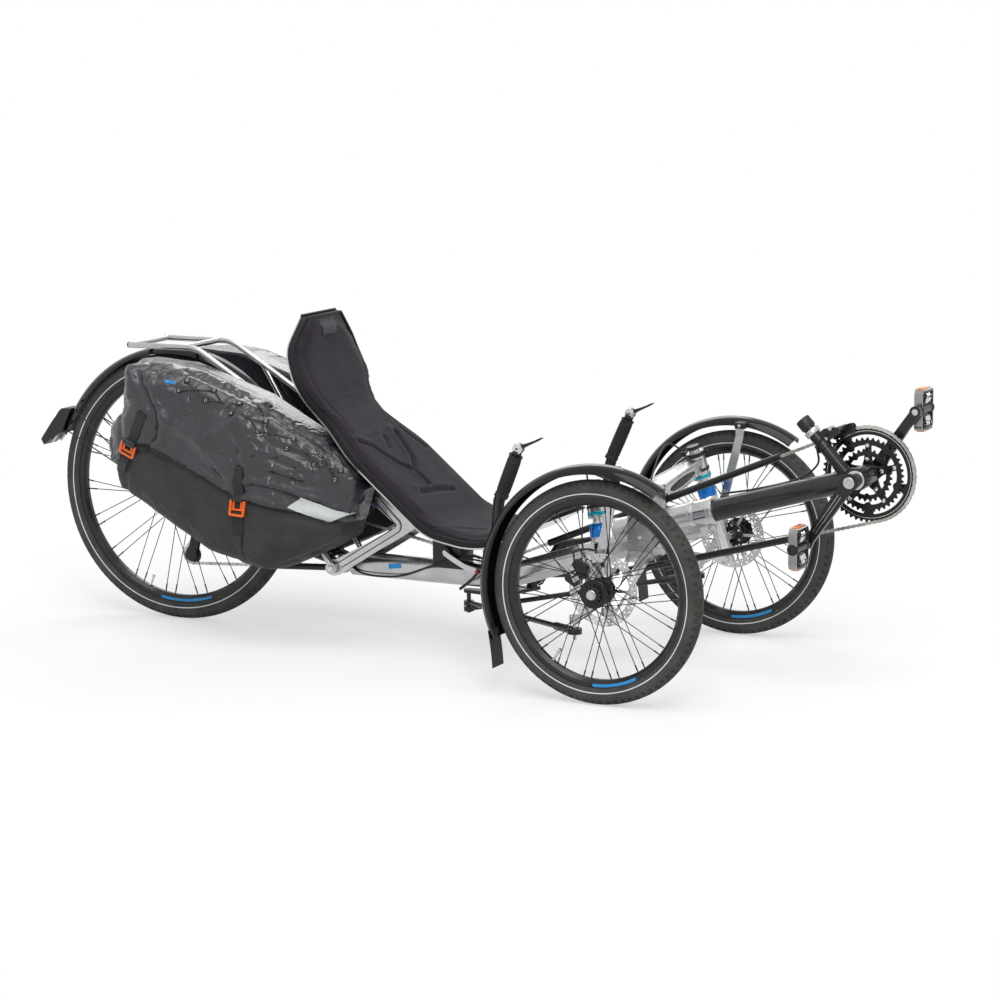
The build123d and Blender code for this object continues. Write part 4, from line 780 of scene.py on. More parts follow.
    def patch(self, corners: Sequence[Point2], land: Landing, lift: float, thick: float,
              cuts: tuple[int, int] = (14, 8)) -> None:
        """Lay a thin four-cornered patch on a curved surface.

        Args:
            corners: Its corners in the surface's own two measures.
            land: Turns the two measures into a place and the surface's normal.
            lift: How far its back stands off the surface.
            thick: Its thickness.
            cuts: Cells along each way.
        """
        grid = bmesh.ops.create_grid(self.mesh, x_segments=cuts[0], y_segments=cuts[1], size=0.5)["verts"]
        low_left, low_right, high_right, high_left = (Vector((*c, 0.0)) for c in corners)
        for vert in grid:
            s, t = vert.co.x + 0.5, vert.co.y + 0.5
            spot = low_left.lerp(low_right, s).lerp(high_left.lerp(high_right, s), t)
            place, normal = land(spot.x, spot.y)
            vert.co = place + normal * (lift + thick)
        faces = list({f for v in grid for f in v.link_faces})
        bmesh.ops.recalc_face_normals(self.mesh, faces=faces)
        place, normal = land(*corners[0])
        if faces[0].normal.dot(normal) < 0:
            bmesh.ops.reverse_faces(self.mesh, faces=faces)
        bmesh.ops.solidify(self.mesh, geom=faces, thickness=thick)

    def weld(self) -> None:
        """Merge doubles and point every face outwards."""
        bmesh.ops.remove_doubles(self.mesh, verts=self.mesh.verts[:], dist=MERGE_M)
        bmesh.ops.recalc_face_normals(self.mesh, faces=self.mesh.faces[:])

    def done(self, weld: bool = False) -> None:
        """Turn the mesh into a finished piece.

        Args:
            weld: Whether to merge doubles and recalculate normals first.
        """
        if weld:
            self.weld()
        mesh = bpy.data.meshes.new(self.name)
        self.mesh.to_mesh(mesh)
        self.mesh.free()
        register(mesh, self)


def register(mesh: bpy.types.Mesh, part: Part) -> bpy.types.Object:
    """Put a mesh in the scene as a piece.

    Args:
        mesh: The finished mesh.
        part: Its name, finish, body and the nodes that it stands for.

    Returns:
        The new object.
    """
    for poly in mesh.polygons:
        poly.use_smooth = True
    mesh.set_sharp_from_angle(angle=math.radians(part.sharp))
    obj = bpy.data.objects.new(part.name, mesh)
    link(obj)
    if not mesh.materials:
        mesh.materials.append(part.look.material())
    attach(obj, part.body)
    if part.nodes:
        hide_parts(*part.nodes)
    LOG.info("%s: %d faces on %s", part.name, len(mesh.polygons), part.body)
    return obj


def spread(first: float, last: float, count: int) -> list[float]:
    """Evenly spaced numbers, both ends included."""
    return [first + (last - first) * i / (count - 1) for i in range(count)]


def smooth_path(points: Sequence[Vector], steps: int = 8) -> list[Vector]:
    """Run a smooth curve through points.

    Args:
        points: The points to pass through.
        steps: Pieces between two points.

    Returns:
        Points along the curve.
    """
    rows = [points[0] * 2 - points[1], *points, points[-1] * 2 - points[-2]]
    path = []
    for before, start, end, after in zip(rows, rows[1:], rows[2:], rows[3:]):
        for step in range(steps):
            t = step / steps
            path.append(0.5 * (2 * start + (end - before) * t + (2 * before - 5 * start + 4 * end - after) * t * t
                               + (3 * start - before - 3 * end + after) * t ** 3))
    path.append(points[-1].copy())
    return path


def round_path(points: Sequence[Vector], radii: Sequence[float], steps: int = 6) -> list[Vector]:
    """Join points by straight runs whose corners are arcs.

    Args:
        points: The runs' ends, in metres.
        radii: The arc's radius at each inner point.
        steps: Pieces in each arc.

    Returns:
        Points along the path.
    """
    path = [points[0].copy()]
    for before, corner, after, radius in zip(points, points[1:], points[2:], radii):
        back, ahead = (before - corner).normalized(), (after - corner).normalized()
        half = back.angle(ahead) / 2
        reach = radius / math.tan(half)
        middle = corner + (back + ahead).normalized() * (radius / math.sin(half))
        start, stop = (corner + back * reach - middle).normalized(), (corner + ahead * reach - middle).normalized()
        path.extend(middle + start.slerp(stop, step / steps) * radius for step in range(steps + 1))
    path.append(points[-1].copy())
    return path


# ---------------------------------------------------------------- wheels


@dataclass
class Wheel:
    """One wheel: tyre, stripe, rim decal, hub and wire spokes.

    Attributes:
        word: Which wheel, as its nodes spell it.
        body: The body that it turns with.
        centre: Its middle.
        outer: Tyre radius in millimetres.
        width: Tyre width in millimetres.
        rim: Rim seat radius in millimetres.
        flanges: (place to the left, radius) of each spoke flange in millimetres.
        hub: Turned outline of the hub, (radius, place to the left) in millimetres.
        steps: Faces round the tyre.
        spokes: Number of spokes.
        rim_depth: Height of the rim in millimetres.
    """

    word: str
    body: str
    centre: Vector
    outer: float
    width: float
    rim: float
    flanges: tuple[Point2, Point2]
    hub: tuple[Point2, ...]
    steps: int
    spokes: int = 36
    rim_depth: float = 17.0

    def build(self) -> None:
        """Make every piece of the wheel."""
        self.tyre()
        self.stripes()
        self.hub_shell()
        self.wires()
        self.decal()

    def tyre(self) -> None:
        """A round tyre with grooves, shoulder blocks and moulded side ribs."""
        half = self.width / 2
        middle = self.outer - half
        seat = self.rim + 0.3
        limit = 90 + math.degrees(math.asin(min((middle - seat) / half, 0.95)))
        outline: list[Point2] = [(seat, 0.0)]
        for angle in spread(-limit, limit, 37):
            turn = math.radians(angle)
            groove = 1.1 if 9 < abs(angle) < 13.5 or 29 < abs(angle) < 33.5 else 0.0
            rib = 0.35 if 74 < abs(angle) < 80 else 0.0
            reach = half - groove + rib
            outline.append((middle + reach * math.cos(turn), reach * math.sin(turn)))
        part = Part(f"{self.word}_tyre_tread", Look.TYRE, self.body, "tyre_rubber", (self.word_node("tyre"),), sharp=28)
        part.lathe(self.centre, section(outline), self.steps)
        self._cut_tread(part, half)
        part.done()

    def _cut_tread(self, part: Part, half: float) -> None:
        """Sink every other crown and shoulder face to leave tread blocks.

        Args:
            part: The tyre under construction.
            half: Half its width in millimetres.
        """
        mesh = part.mesh
        mesh.normal_update()
        step = 2 * math.pi / self.steps
        chosen = []
        for face in mesh.faces:
            spot = face.calc_center_median() - self.centre
            radius = math.hypot(spot.x, spot.z)
            lean = math.degrees(math.atan2(abs(spot.y) / MM, radius / MM - (self.outer - half)))
            index = int(math.floor(math.atan2(spot.z, spot.x) / step + 0.5))
            shoulder = 35 < lean < 64 and index % 2 == 0
            crown = 14 < lean < 28 and (index + (1 if spot.y > 0 else 0)) % 3 == 0
            if shoulder or crown:
                chosen.append(face)
        grown = bmesh.ops.extrude_discrete_faces(mesh, faces=chosen)["faces"]
        for face in grown:
            push = -face.normal * 0.0011
            bmesh.ops.translate(mesh, verts=list(face.verts), vec=push)
            bmesh.ops.scale(mesh, verts=list(face.verts), vec=(0.86, 0.86, 0.86),
                            space=Matrix.Translation(-face.calc_center_median()))

    def word_node(self, kind: str) -> str:
        """The name of this wheel's solid of one kind."""
        return f"rear_{kind}" if self.word == "rear" else f"front_{kind}_{self.word.split('_')[1]}"

    def stripes(self) -> None:
        """A pale reflective ring on both sidewalls."""
        half = self.width / 2
        middle = self.outer - half
        part = Part(f"{self.word}_stripe", Look.STRIPE, self.body, "tyre_rubber")
        raised = half + 0.35
        for sign in (-1, 1):
            ring = []
            for reach, angle in ((raised, 103.0), (raised, 109.0), (half, 109.0), (half, 103.0)):
                turn = math.radians(angle)
                ring.append((middle + reach * math.cos(turn), reach * math.sin(turn)))
            part.lathe(self.centre, section(ring, sign), 144)
        part.done(weld=True)

    def hub_shell(self) -> None:
        """A turned hub with its flanges and stepped ends."""
        part = Part(f"{self.word}_hub_shell", Look.SPOKE_BLACK, self.body, "spoke_black", (self.word_node("hub"),),
                    sharp=32)
        part.lathe(self.centre, section(self.hub), 56)
        part.done(weld=True)

    def wires(self) -> None:
        """Crossed round spokes with nipples at the rim."""
        part = Part(f"{self.word}_spokes", Look.SPOKE_BLACK, self.body, "spoke_black", sharp=60)
        count = self.spokes // 4
        reach = self.rim - self.rim_depth
        for left, flange in self.flanges:
            for lean, start in ((1, 0.0), (-1, 0.5)):
                for index in range(count):
                    angle = 2 * math.pi * (index + start) / count + (math.pi / self.spokes if left > 0 else 0)
                    foot_angle = angle - lean * math.radians(70)
                    foot = Vector((flange * math.cos(foot_angle), left + lean * 1.2, flange * math.sin(foot_angle)))
                    tip = Vector((reach * math.cos(angle), left * 0.12, reach * math.sin(angle)))
                    run = (tip - foot) * MM
                    low = self.centre + foot * MM
                    part.drum(low + run / 2, run, 0.00105, run.length, 6)
                    part.drum(low + run * 0.955, run, 0.0019, run.length * 0.075, 6, 0.0016)
        part.done()

    def decal(self) -> None:
        """A plain blue arc on each face of the rim, where it stands lowest."""
        part = Part(f"{self.word}_rim_decal", Look.DECAL, self.body, "rim_black")
        inner, outer = self.rim - self.rim_depth + 8.2, self.rim - 2.2
        face, top = 12.52, 12.75
        for sign in (-1, 1):
            band = section(((inner, face), (outer, face), (outer, top), (inner, top)), sign)
            part.lathe(self.centre, band, 18, start=259 if self.word == "rear" else 268, sweep=30)
        part.done(weld=True)


# ---------------------------------------------------------------- soft goods


def surface_tree(obj: bpy.types.Object) -> BVHTree:
    """A search tree over an object's faces, in model metres."""
    verts = [obj.matrix_world @ v.co for v in obj.data.vertices]
    return BVHTree.FromPolygons(verts, [tuple(p.vertices) for p in obj.data.polygons])


def applied(obj: bpy.types.Object) -> bpy.types.Mesh:
    """A new mesh of what an object shows with its modifiers on."""
    graph = bpy.context.evaluated_depsgraph_get()
    return bpy.data.meshes.new_from_object(obj.evaluated_get(graph))


def bell(values: np.ndarray, middle: float, width: float) -> np.ndarray:
    """1 at the middle, faded to about a third at one width from it."""
    return np.exp(-((values - middle) / width) ** 2)


def groove(spots: np.ndarray, line: Sequence[Point2], width: float) -> np.ndarray:
    """How near each spot lies to a line, falling off as a bell.

    Args:
        spots: Two measures of each spot, one row each.
        line: The line's points in the same measures.
        width: Distance at which it has faded to about a third.

    Returns:
        1 on the line, near 0 away from it.
    """
    nearest = np.full(len(spots), 1e9)
    for first, second in zip(line, line[1:]):
        start, run = np.array(first), np.array(second) - np.array(first)
        share = np.clip(((spots - start) @ run) / max(float(run @ run), 1e-9), 0.0, 1.0)
        nearest = np.minimum(nearest, np.linalg.norm(spots - start - share[:, None] * run, axis=1))
    return bell(nearest, 0.0, width)


def soft_step(values: np.ndarray, low: float, high: float) -> np.ndarray:
    """A smooth step from 0 at low to 1 at high, over an array."""
    share = np.clip((values - low) / (high - low), 0.0, 1.0)
    return share * share * (3 - 2 * share)


def rumple(places: np.ndarray, size: float, stretch: Colour, seed: float) -> np.ndarray:
    """Fixed noise from -1 to 1 at each place.

    Args:
        places: Places in metres, one row each.
        size: Size of a ripple in metres.
        stretch: Scale along each axis.
        seed: Shifts the pattern.

    Returns:
        The noise for each place.
    """
    rows = places * (np.array(stretch) / size) + seed
    return np.array([noise.fractal(Vector(row), 0.8, 2.1, 3) for row in rows])


@dataclass
class Stuffed:
    """Turns a plain solid into a filled, sewn form.

    Attributes:
        voxel: Size of the cells that it is first rebuilt from, in metres.
        shrink: How far it is drawn in before it swells.
        cap: How far a point may move as it swells.
        pressure: Pressure inside it.
        frames: Steps of the swelling.
    """

    voxel: float = 0.0055
    shrink: float = 0.0015
    cap: float = 0.006
    pressure: float = 4.0
    frames: int = 20

    def form(self, node: bpy.types.Object, held: Callable[[np.ndarray], np.ndarray]) -> bpy.types.Mesh:
        """Rebuild, swell and refine a copy of a solid.

        Args:
            node: The solid.
            held: From places, the share of its swelling that each point keeps.

        Returns:
            The swollen mesh, one subdivision finer.
        """
        obj = self._remeshed(node)
        before = mesh_places(obj.data)
        self._swell(obj, before, held(before))
        finer = obj.modifiers.new("finer", "SUBSURF")
        finer.levels = finer.render_levels = 1
        mesh = applied(obj)
        bpy.data.objects.remove(obj)
        return mesh

    def _remeshed(self, node: bpy.types.Object) -> bpy.types.Object:
        """Copy a solid, merge it, rebuild it from even cells and draw it in a little."""
        bm = bmesh.new()
        bm.from_mesh(node.data)
        bmesh.ops.remove_doubles(bm, verts=bm.verts[:], dist=1e-5)
        bmesh.ops.transform(bm, matrix=node.matrix_world, verts=bm.verts[:])
        bmesh.ops.recalc_face_normals(bm, faces=bm.faces[:])
        mesh = bpy.data.meshes.new("stuffing")
        bm.to_mesh(mesh)
        bm.free()
        obj = bpy.data.objects.new("stuffing", mesh)
        link(obj)
        cells = obj.modifiers.new("cells", "REMESH")
        cells.mode = "VOXEL"
        cells.voxel_size = self.voxel
        even = applied(obj)
        obj.modifiers.clear()
        bm = bmesh.new()
        bm.from_mesh(even)
        for _ in range(4):
            bmesh.ops.smooth_vert(bm, verts=bm.verts[:], factor=0.5, use_axis_x=True, use_axis_y=True,
                                  use_axis_z=True)
        bm.normal_update()
        for vert, way in [(v, v.normal.copy()) for v in bm.verts]:
            vert.co -= way * self.shrink
        bm.to_mesh(even)
        bm.free()
        obj.data = even
        return obj

    def _swell(self, obj: bpy.types.Object, before: np.ndarray, keep: np.ndarray) -> None:
        """Blow the cloth up and bring back what went further than the cap.

        Args:
            obj: The rebuilt form.
            before: Its places at the start.
            keep: The share of the movement that each point keeps.
        """
        cloth = obj.modifiers.new("swell", "CLOTH")
        cloth.settings.use_pressure = True
        cloth.settings.uniform_pressure_force = self.pressure
        cloth.settings.effector_weights.gravity = 0.0
        cloth.settings.quality = 4
        cloth.collision_settings.use_collision = False
        cloth.point_cache.frame_start = 1
        cloth.point_cache.frame_end = self.frames
        for step in range(1, self.frames + 1):
            bpy.context.scene.frame_set(step)
        swollen = mesh_places(applied(obj))
        obj.modifiers.clear()
        bpy.context.scene.frame_set(1)
        moved = swollen - before
        length = np.linalg.norm(moved, axis=1)
        limit = np.minimum(1.0, self.cap / np.maximum(length, 1e-9))
        after = before + moved * (limit * keep)[:, None]
        obj.data.vertices.foreach_set("co", after.ravel())
        obj.data.update()


def mesh_rows(mesh: bpy.types.Mesh, kind: str) -> np.ndarray:
    """One vector of every vertex, "co" for its place or "normal", one row each."""
    flat = np.empty(len(mesh.vertices) * 3)
    mesh.vertices.foreach_get(kind, flat)
    return flat.reshape(-1, 3)


def mesh_places(mesh: bpy.types.Mesh) -> np.ndarray:
    """Every vertex's place, one row each."""
    return mesh_rows(mesh, "co")


def reshaped(mesh: bpy.types.Mesh, places: np.ndarray) -> None:
    """Move a mesh's vertices and take off its finishes.

    Args:
        mesh: The mesh.
        places: Every vertex's new place, one row each.
    """
    mesh.vertices.foreach_set("co", places.ravel())
    mesh.update()
    mesh.materials.clear()


@dataclass
class Seat:
    """The reclined seat: sewn pad, edge binding, a painted highlight on the shell's rim and the fittings on its back.

    Attributes:
        line: (ahead, up, corner radius) of the shell's face from head to front lip, in millimetres.
        creases: Folds in the pad as points (distance from the head along the line, distance to the left).
        presses: Depth and width of each fold.
    """

    line: tuple[Point3, ...] = (
        (-904, 775, 0), (-907, 691, 140), (-855, 554, 170), (-539, 288, 140), (-439, 270, 190), (-374, 275, 110),
        (-292, 323, 0))
    creases: tuple[tuple[Point2, ...], ...] = (
        ((366, -2), (378, -8), (394, -22)), ((362, 58), (400, 46), (443, 26), (479, -10), (522, -12)),
        ((360, -112), (380, -84), (437, -54), (480, -22)), ((540, -66), (546, -30), (547, 4), (558, 60)),
        ((690, -120), (720, -92), (746, -74)), ((300, 104), (364, 96), (420, 118)))
    presses: tuple[Point2, ...] = ((6.6, 7.5), (10.6, 8.0), (8.4, 7.5), (7.2, 7.5), (3.8, 9.0), (5.4, 9.0))

    def build(self, frame: dict) -> None:
        """Make the pad, its binding, the rim's painted highlight bead and the bare head patch.

        Args:
            frame: The loaded frame.
        """
        self._measure()
        self.solid = surface_tree(frame["nodes"]["seat_pad"])
        self.shell = surface_tree(frame["nodes"]["seat_shell"])
        self.cushion(frame["nodes"]["seat_pad"])
        self.edges()
        self.head_patch()

    def _measure(self) -> None:
        """Work out even stations along the rounded side line."""
        path = round_path([at(x, 0, z) for x, z, _ in self.line], [r * MM for _, _, r in self.line[1:-1]], 14)
        lengths = [0.0]
        for first, second in zip(path, path[1:]):
            lengths.append(lengths[-1] + (second - first).length)
        self.total = lengths[-1]
        self.stations = np.array([(p.x, p.z) for p in path])
        self.lengths = np.array(lengths)

    def along(self, distance: float) -> tuple[Vector, Vector]:
        """The place on the shell's face at a distance from the head, and the way out of the face.

        Args:
            distance: Metres along the line.

        Returns:
            The place in the middle plane, and the unit normal.
        """
        near = [distance, distance - 0.002, distance + 0.002]
        x, z = (np.interp(near, self.lengths, self.stations[:, column]) for column in (0, 1))
        ahead = Vector((x[2] - x[1], 0, z[2] - z[1])).normalized()
        return Vector((x[0], 0, z[0])), Vector((-ahead.z, 0, ahead.x))

    def coordinates(self, places: np.ndarray) -> tuple[np.ndarray, np.ndarray]:
        """Distance from the head, and height over the shell, of many places.

        Args:
            places: Places in metres, one row each.

        Returns:
            Distance along the line and height above it, in millimetres.
        """
        flat = places[:, (0, 2)]
        best = np.full(len(flat), 1e9)
        run_at = np.zeros(len(flat))
        height = np.zeros(len(flat))
        for index in range(len(self.stations) - 1):
            start = self.stations[index]
            run = self.stations[index + 1] - start
            span = float(np.hypot(*run))
            if span < 1e-6:
                continue
            share = np.clip(((flat - start) @ run) / span ** 2, 0.0, 1.0)
            off = flat - start - share[:, None] * run
            far = np.hypot(off[:, 0], off[:, 1])
            closer = far < best
            best = np.where(closer, far, best)
            run_at = np.where(closer, self.lengths[index] + share * span, run_at)
            height = np.where(closer, (run[0] * off[:, 1] - run[1] * off[:, 0]) / span, height)
        return run_at / MM, height / MM

    def edge(self, distance: float, height: float, tree: BVHTree) -> float:
        """Half width of a solid at a place along the line.

        Args:
            distance: Metres from the head.
            height: Metres over the shell's face.
            tree: The solid.

        Returns:
            The half width in metres.
        """
        place, up = self.along(distance)
        start = place + up * height + Vector((0, -0.4, 0))
        hit = tree.ray_cast(start, LEFTWARD)[0]
        return abs(hit.y) if hit else 0.03

    def cushion(self, node: bpy.types.Object) -> None:
        """Swell the pad, then press in its sewn channel, folds and panel lines.

        Args:
            node: The pad's solid.
        """
        def held(places: np.ndarray) -> np.ndarray:
            """Keep the side that lies on the shell where it is."""
            _, height = self.coordinates(places)
            return soft_step(height, 3.0, 12.0)

        mesh = Stuffed(voxel=0.0055, shrink=0.001, cap=0.007).form(node, held)
        places = mesh_places(mesh)
        run, height = self.coordinates(places)
        wide = np.interp(run, *self._widths())
        side = places[:, 1] / MM
        inner = wide - np.abs(side)
        spots = np.stack([run, side], axis=1)
        top = soft_step(height, 9.0, 16.0)
        crown = 2.4 * soft_step(inner, 0.0, 60.0) - 1.2
        sink = 1.2 * bell(inner, 30, 6.0) * (1 - soft_step(run, 330, 400))
        sink += bell(inner, 22, 6.0) * soft_step(run, 420, 520)
        sink += 1.4 * bell(run, 356, 5.0) * (1 - soft_step(np.abs(side), 60, 90))
        for crease, (depth, width) in zip(self.creases, self.presses):
            sink += depth * groove(spots, crease, width) - 0.35 * depth * groove(spots + (12.0, 9.0), crease, 14.0)
        ripple = rumple(places, 0.075, (1.0, 0.6, 1.0), 3.1) + rumple(places, 0.02, (1, 1, 1), 9.7) * 0.22
        lift = (crown - sink + ripple * soft_step(inner, 4.0, 24.0)) * top
        ahead = np.gradient(self.stations, axis=0)
        angle = np.interp(run * MM, self.lengths, np.unwrap(np.arctan2(ahead[:, 1], ahead[:, 0])))
        places[:, 0] += -np.sin(angle) * lift * MM
        places[:, 2] += np.cos(angle) * lift * MM
        reshaped(mesh, places)
        piece = register(mesh, Part("seat_cushion", Look.SEAT, "frame", "seat_fabric", ("seat_pad",), sharp=60))
        self.top = surface_tree(piece)

    def _widths(self) -> tuple[list[float], list[float]]:
        """Stations along the line and the pad's half width at each, in millimetres."""
        stations = spread(0.004, self.total - 0.004, 60)
        return [s / MM for s in stations], [self.edge(s, 0.008, self.solid) / MM for s in stations]

    def outline(self, inset: float, height: float, tree: BVHTree) -> tuple[list[Vector], list[Vector]]:
        """A closed line round the seat with rounded corners.

        Args:
            inset: How far it lies inside the solid's edge, in metres.
            height: How far it lies over the shell's face.
            tree: The solid whose edge it follows.

        Returns:
            Points round the edge, and the way out of the seat's face at each.
        """
        level = 0.008 if tree is self.solid else -0.002
        right = []
        for station in spread(0.008, self.total - 0.008, 64):
            place, up = self.along(station)
            right.append((place + up * height - Vector((0, self.edge(station, level, tree) - inset, 0)), up))
        left = [(Vector((p.x, -p.y, p.z)), up) for p, up in reversed(right)]
        ring = right + left
        return [p for p, _ in ring], [up for _, up in ring]

    def edges(self) -> None:
        """Black tape round the pad and a bright alloy bead round the shell, a painted highlight on its rim; then the
        back.
        """
        tape = Part("seat_binding", Look.BINDING, "frame", "seat_fabric", sharp=50)
        path, ups = self.outline(-0.0012, 0.0065, self.solid)
        tape.band(path, ups, 0.0042, 0.0115, loop=True)
        tape.done()
        # Painted highlight: a thin bright alloy bead stands in for the light along the shell's edge.
        bead = Part("shell_rim_bead", Look.FORGED, "frame", "frame_grey", sharp=60)
        path, ups = self.outline(-0.0006, -0.0026, self.shell)
        bead.band(path, ups, 0.0024, 0.0034, loop=True)
        bead.done()
        self.back()

    def back(self) -> None:
        """Two ribs down the shell's back, and the screws that hold the shell and its ribs."""
        ribs = Part("shell_back_ribs", Look.PLASTIC, "frame", "frame_grey", sharp=60)
        screws = Part("shell_screws", Look.STEEL, "frame", "steel", sharp=30)
        for left in (-0.045, 0.045):
            path, ways = [], []
            for station in spread(0.045, 0.30, 30):
                place, up = self.along(station)
                start = place - up * 0.06 + Vector((0, left, 0))
                hit, way = self.shell.ray_cast(start, up)[:2]
                if hit:
                    path.append(hit + way * 0.0006)
                    ways.append(way)
            ribs.band(path, ways, 0.014, 0.004)
            for share in (0.06, 0.36, 0.66, 0.94):
                index = int(share * (len(path) - 1))
                screws.drum(path[index] + ways[index] * 0.0022, ways[index], 0.0042, 0.0022, 16, bevel=0.0005)
                screws.drum(path[index] + ways[index] * 0.0032, ways[index], 0.0021, 0.0008, 6)
        ribs.done()
        screws.done()

    def head_patch(self) -> None:
        """A bare woven patch sewn on the head of the pad, with its stitches."""
        def land(run: float, left: float) -> tuple[Vector, Vector]:
            """Find the pad's surface at a distance along the line and to the left."""
            place, up = self.along(run)
            hit = self.top.ray_cast(place + up * 0.08 + Vector((0, left, 0)), -up)
            return (hit[0], hit[1]) if hit[0] else (place + up * 0.021 + Vector((0, left, 0)), up)

        part = Part("head_patch", Look.LABEL, "frame", "seat_fabric", sharp=50)
        part.patch([(0.016, -0.036), (0.052, -0.030), (0.052, 0.030), (0.016, 0.036)], land, 0.0016, 0.0009)
        part.done()
        seam = Part("head_patch_stitches", Look.THREAD, "frame", "seat_fabric")
        corners = [(0.019, -0.033), (0.049, -0.028), (0.049, 0.028), (0.019, 0.033)]
        for low, high in zip(corners, corners[1:] + corners[:1]):
            stitch_row(seam, land, low, high, 12, 0.0026)
        seam.done()


def stitch_row(part: Part, land: Landing, low: Point2, high: Point2, count: int, lift: float) -> None:
    """Sew a row of short stitches on a curved surface.

    Args:
        part: The piece that takes the stitches.
        land: Turns the surface's two measures into a place and a normal.
        low: Where the row starts.
        high: Where it ends.
        count: How many stitches.
        lift: How far their middles stand off the surface.
    """
    for index in range(count):
        ends = []
        for share in ((index + 0.18) / count, (index + 0.82) / count):
            place, normal = land(low[0] + (high[0] - low[0]) * share, low[1] + (high[1] - low[1]) * share)
            ends.append(place + normal * lift)
        run = ends[1] - ends[0]
        part.drum((ends[0] + ends[1]) / 2, run, 0.0005, run.length, 5)


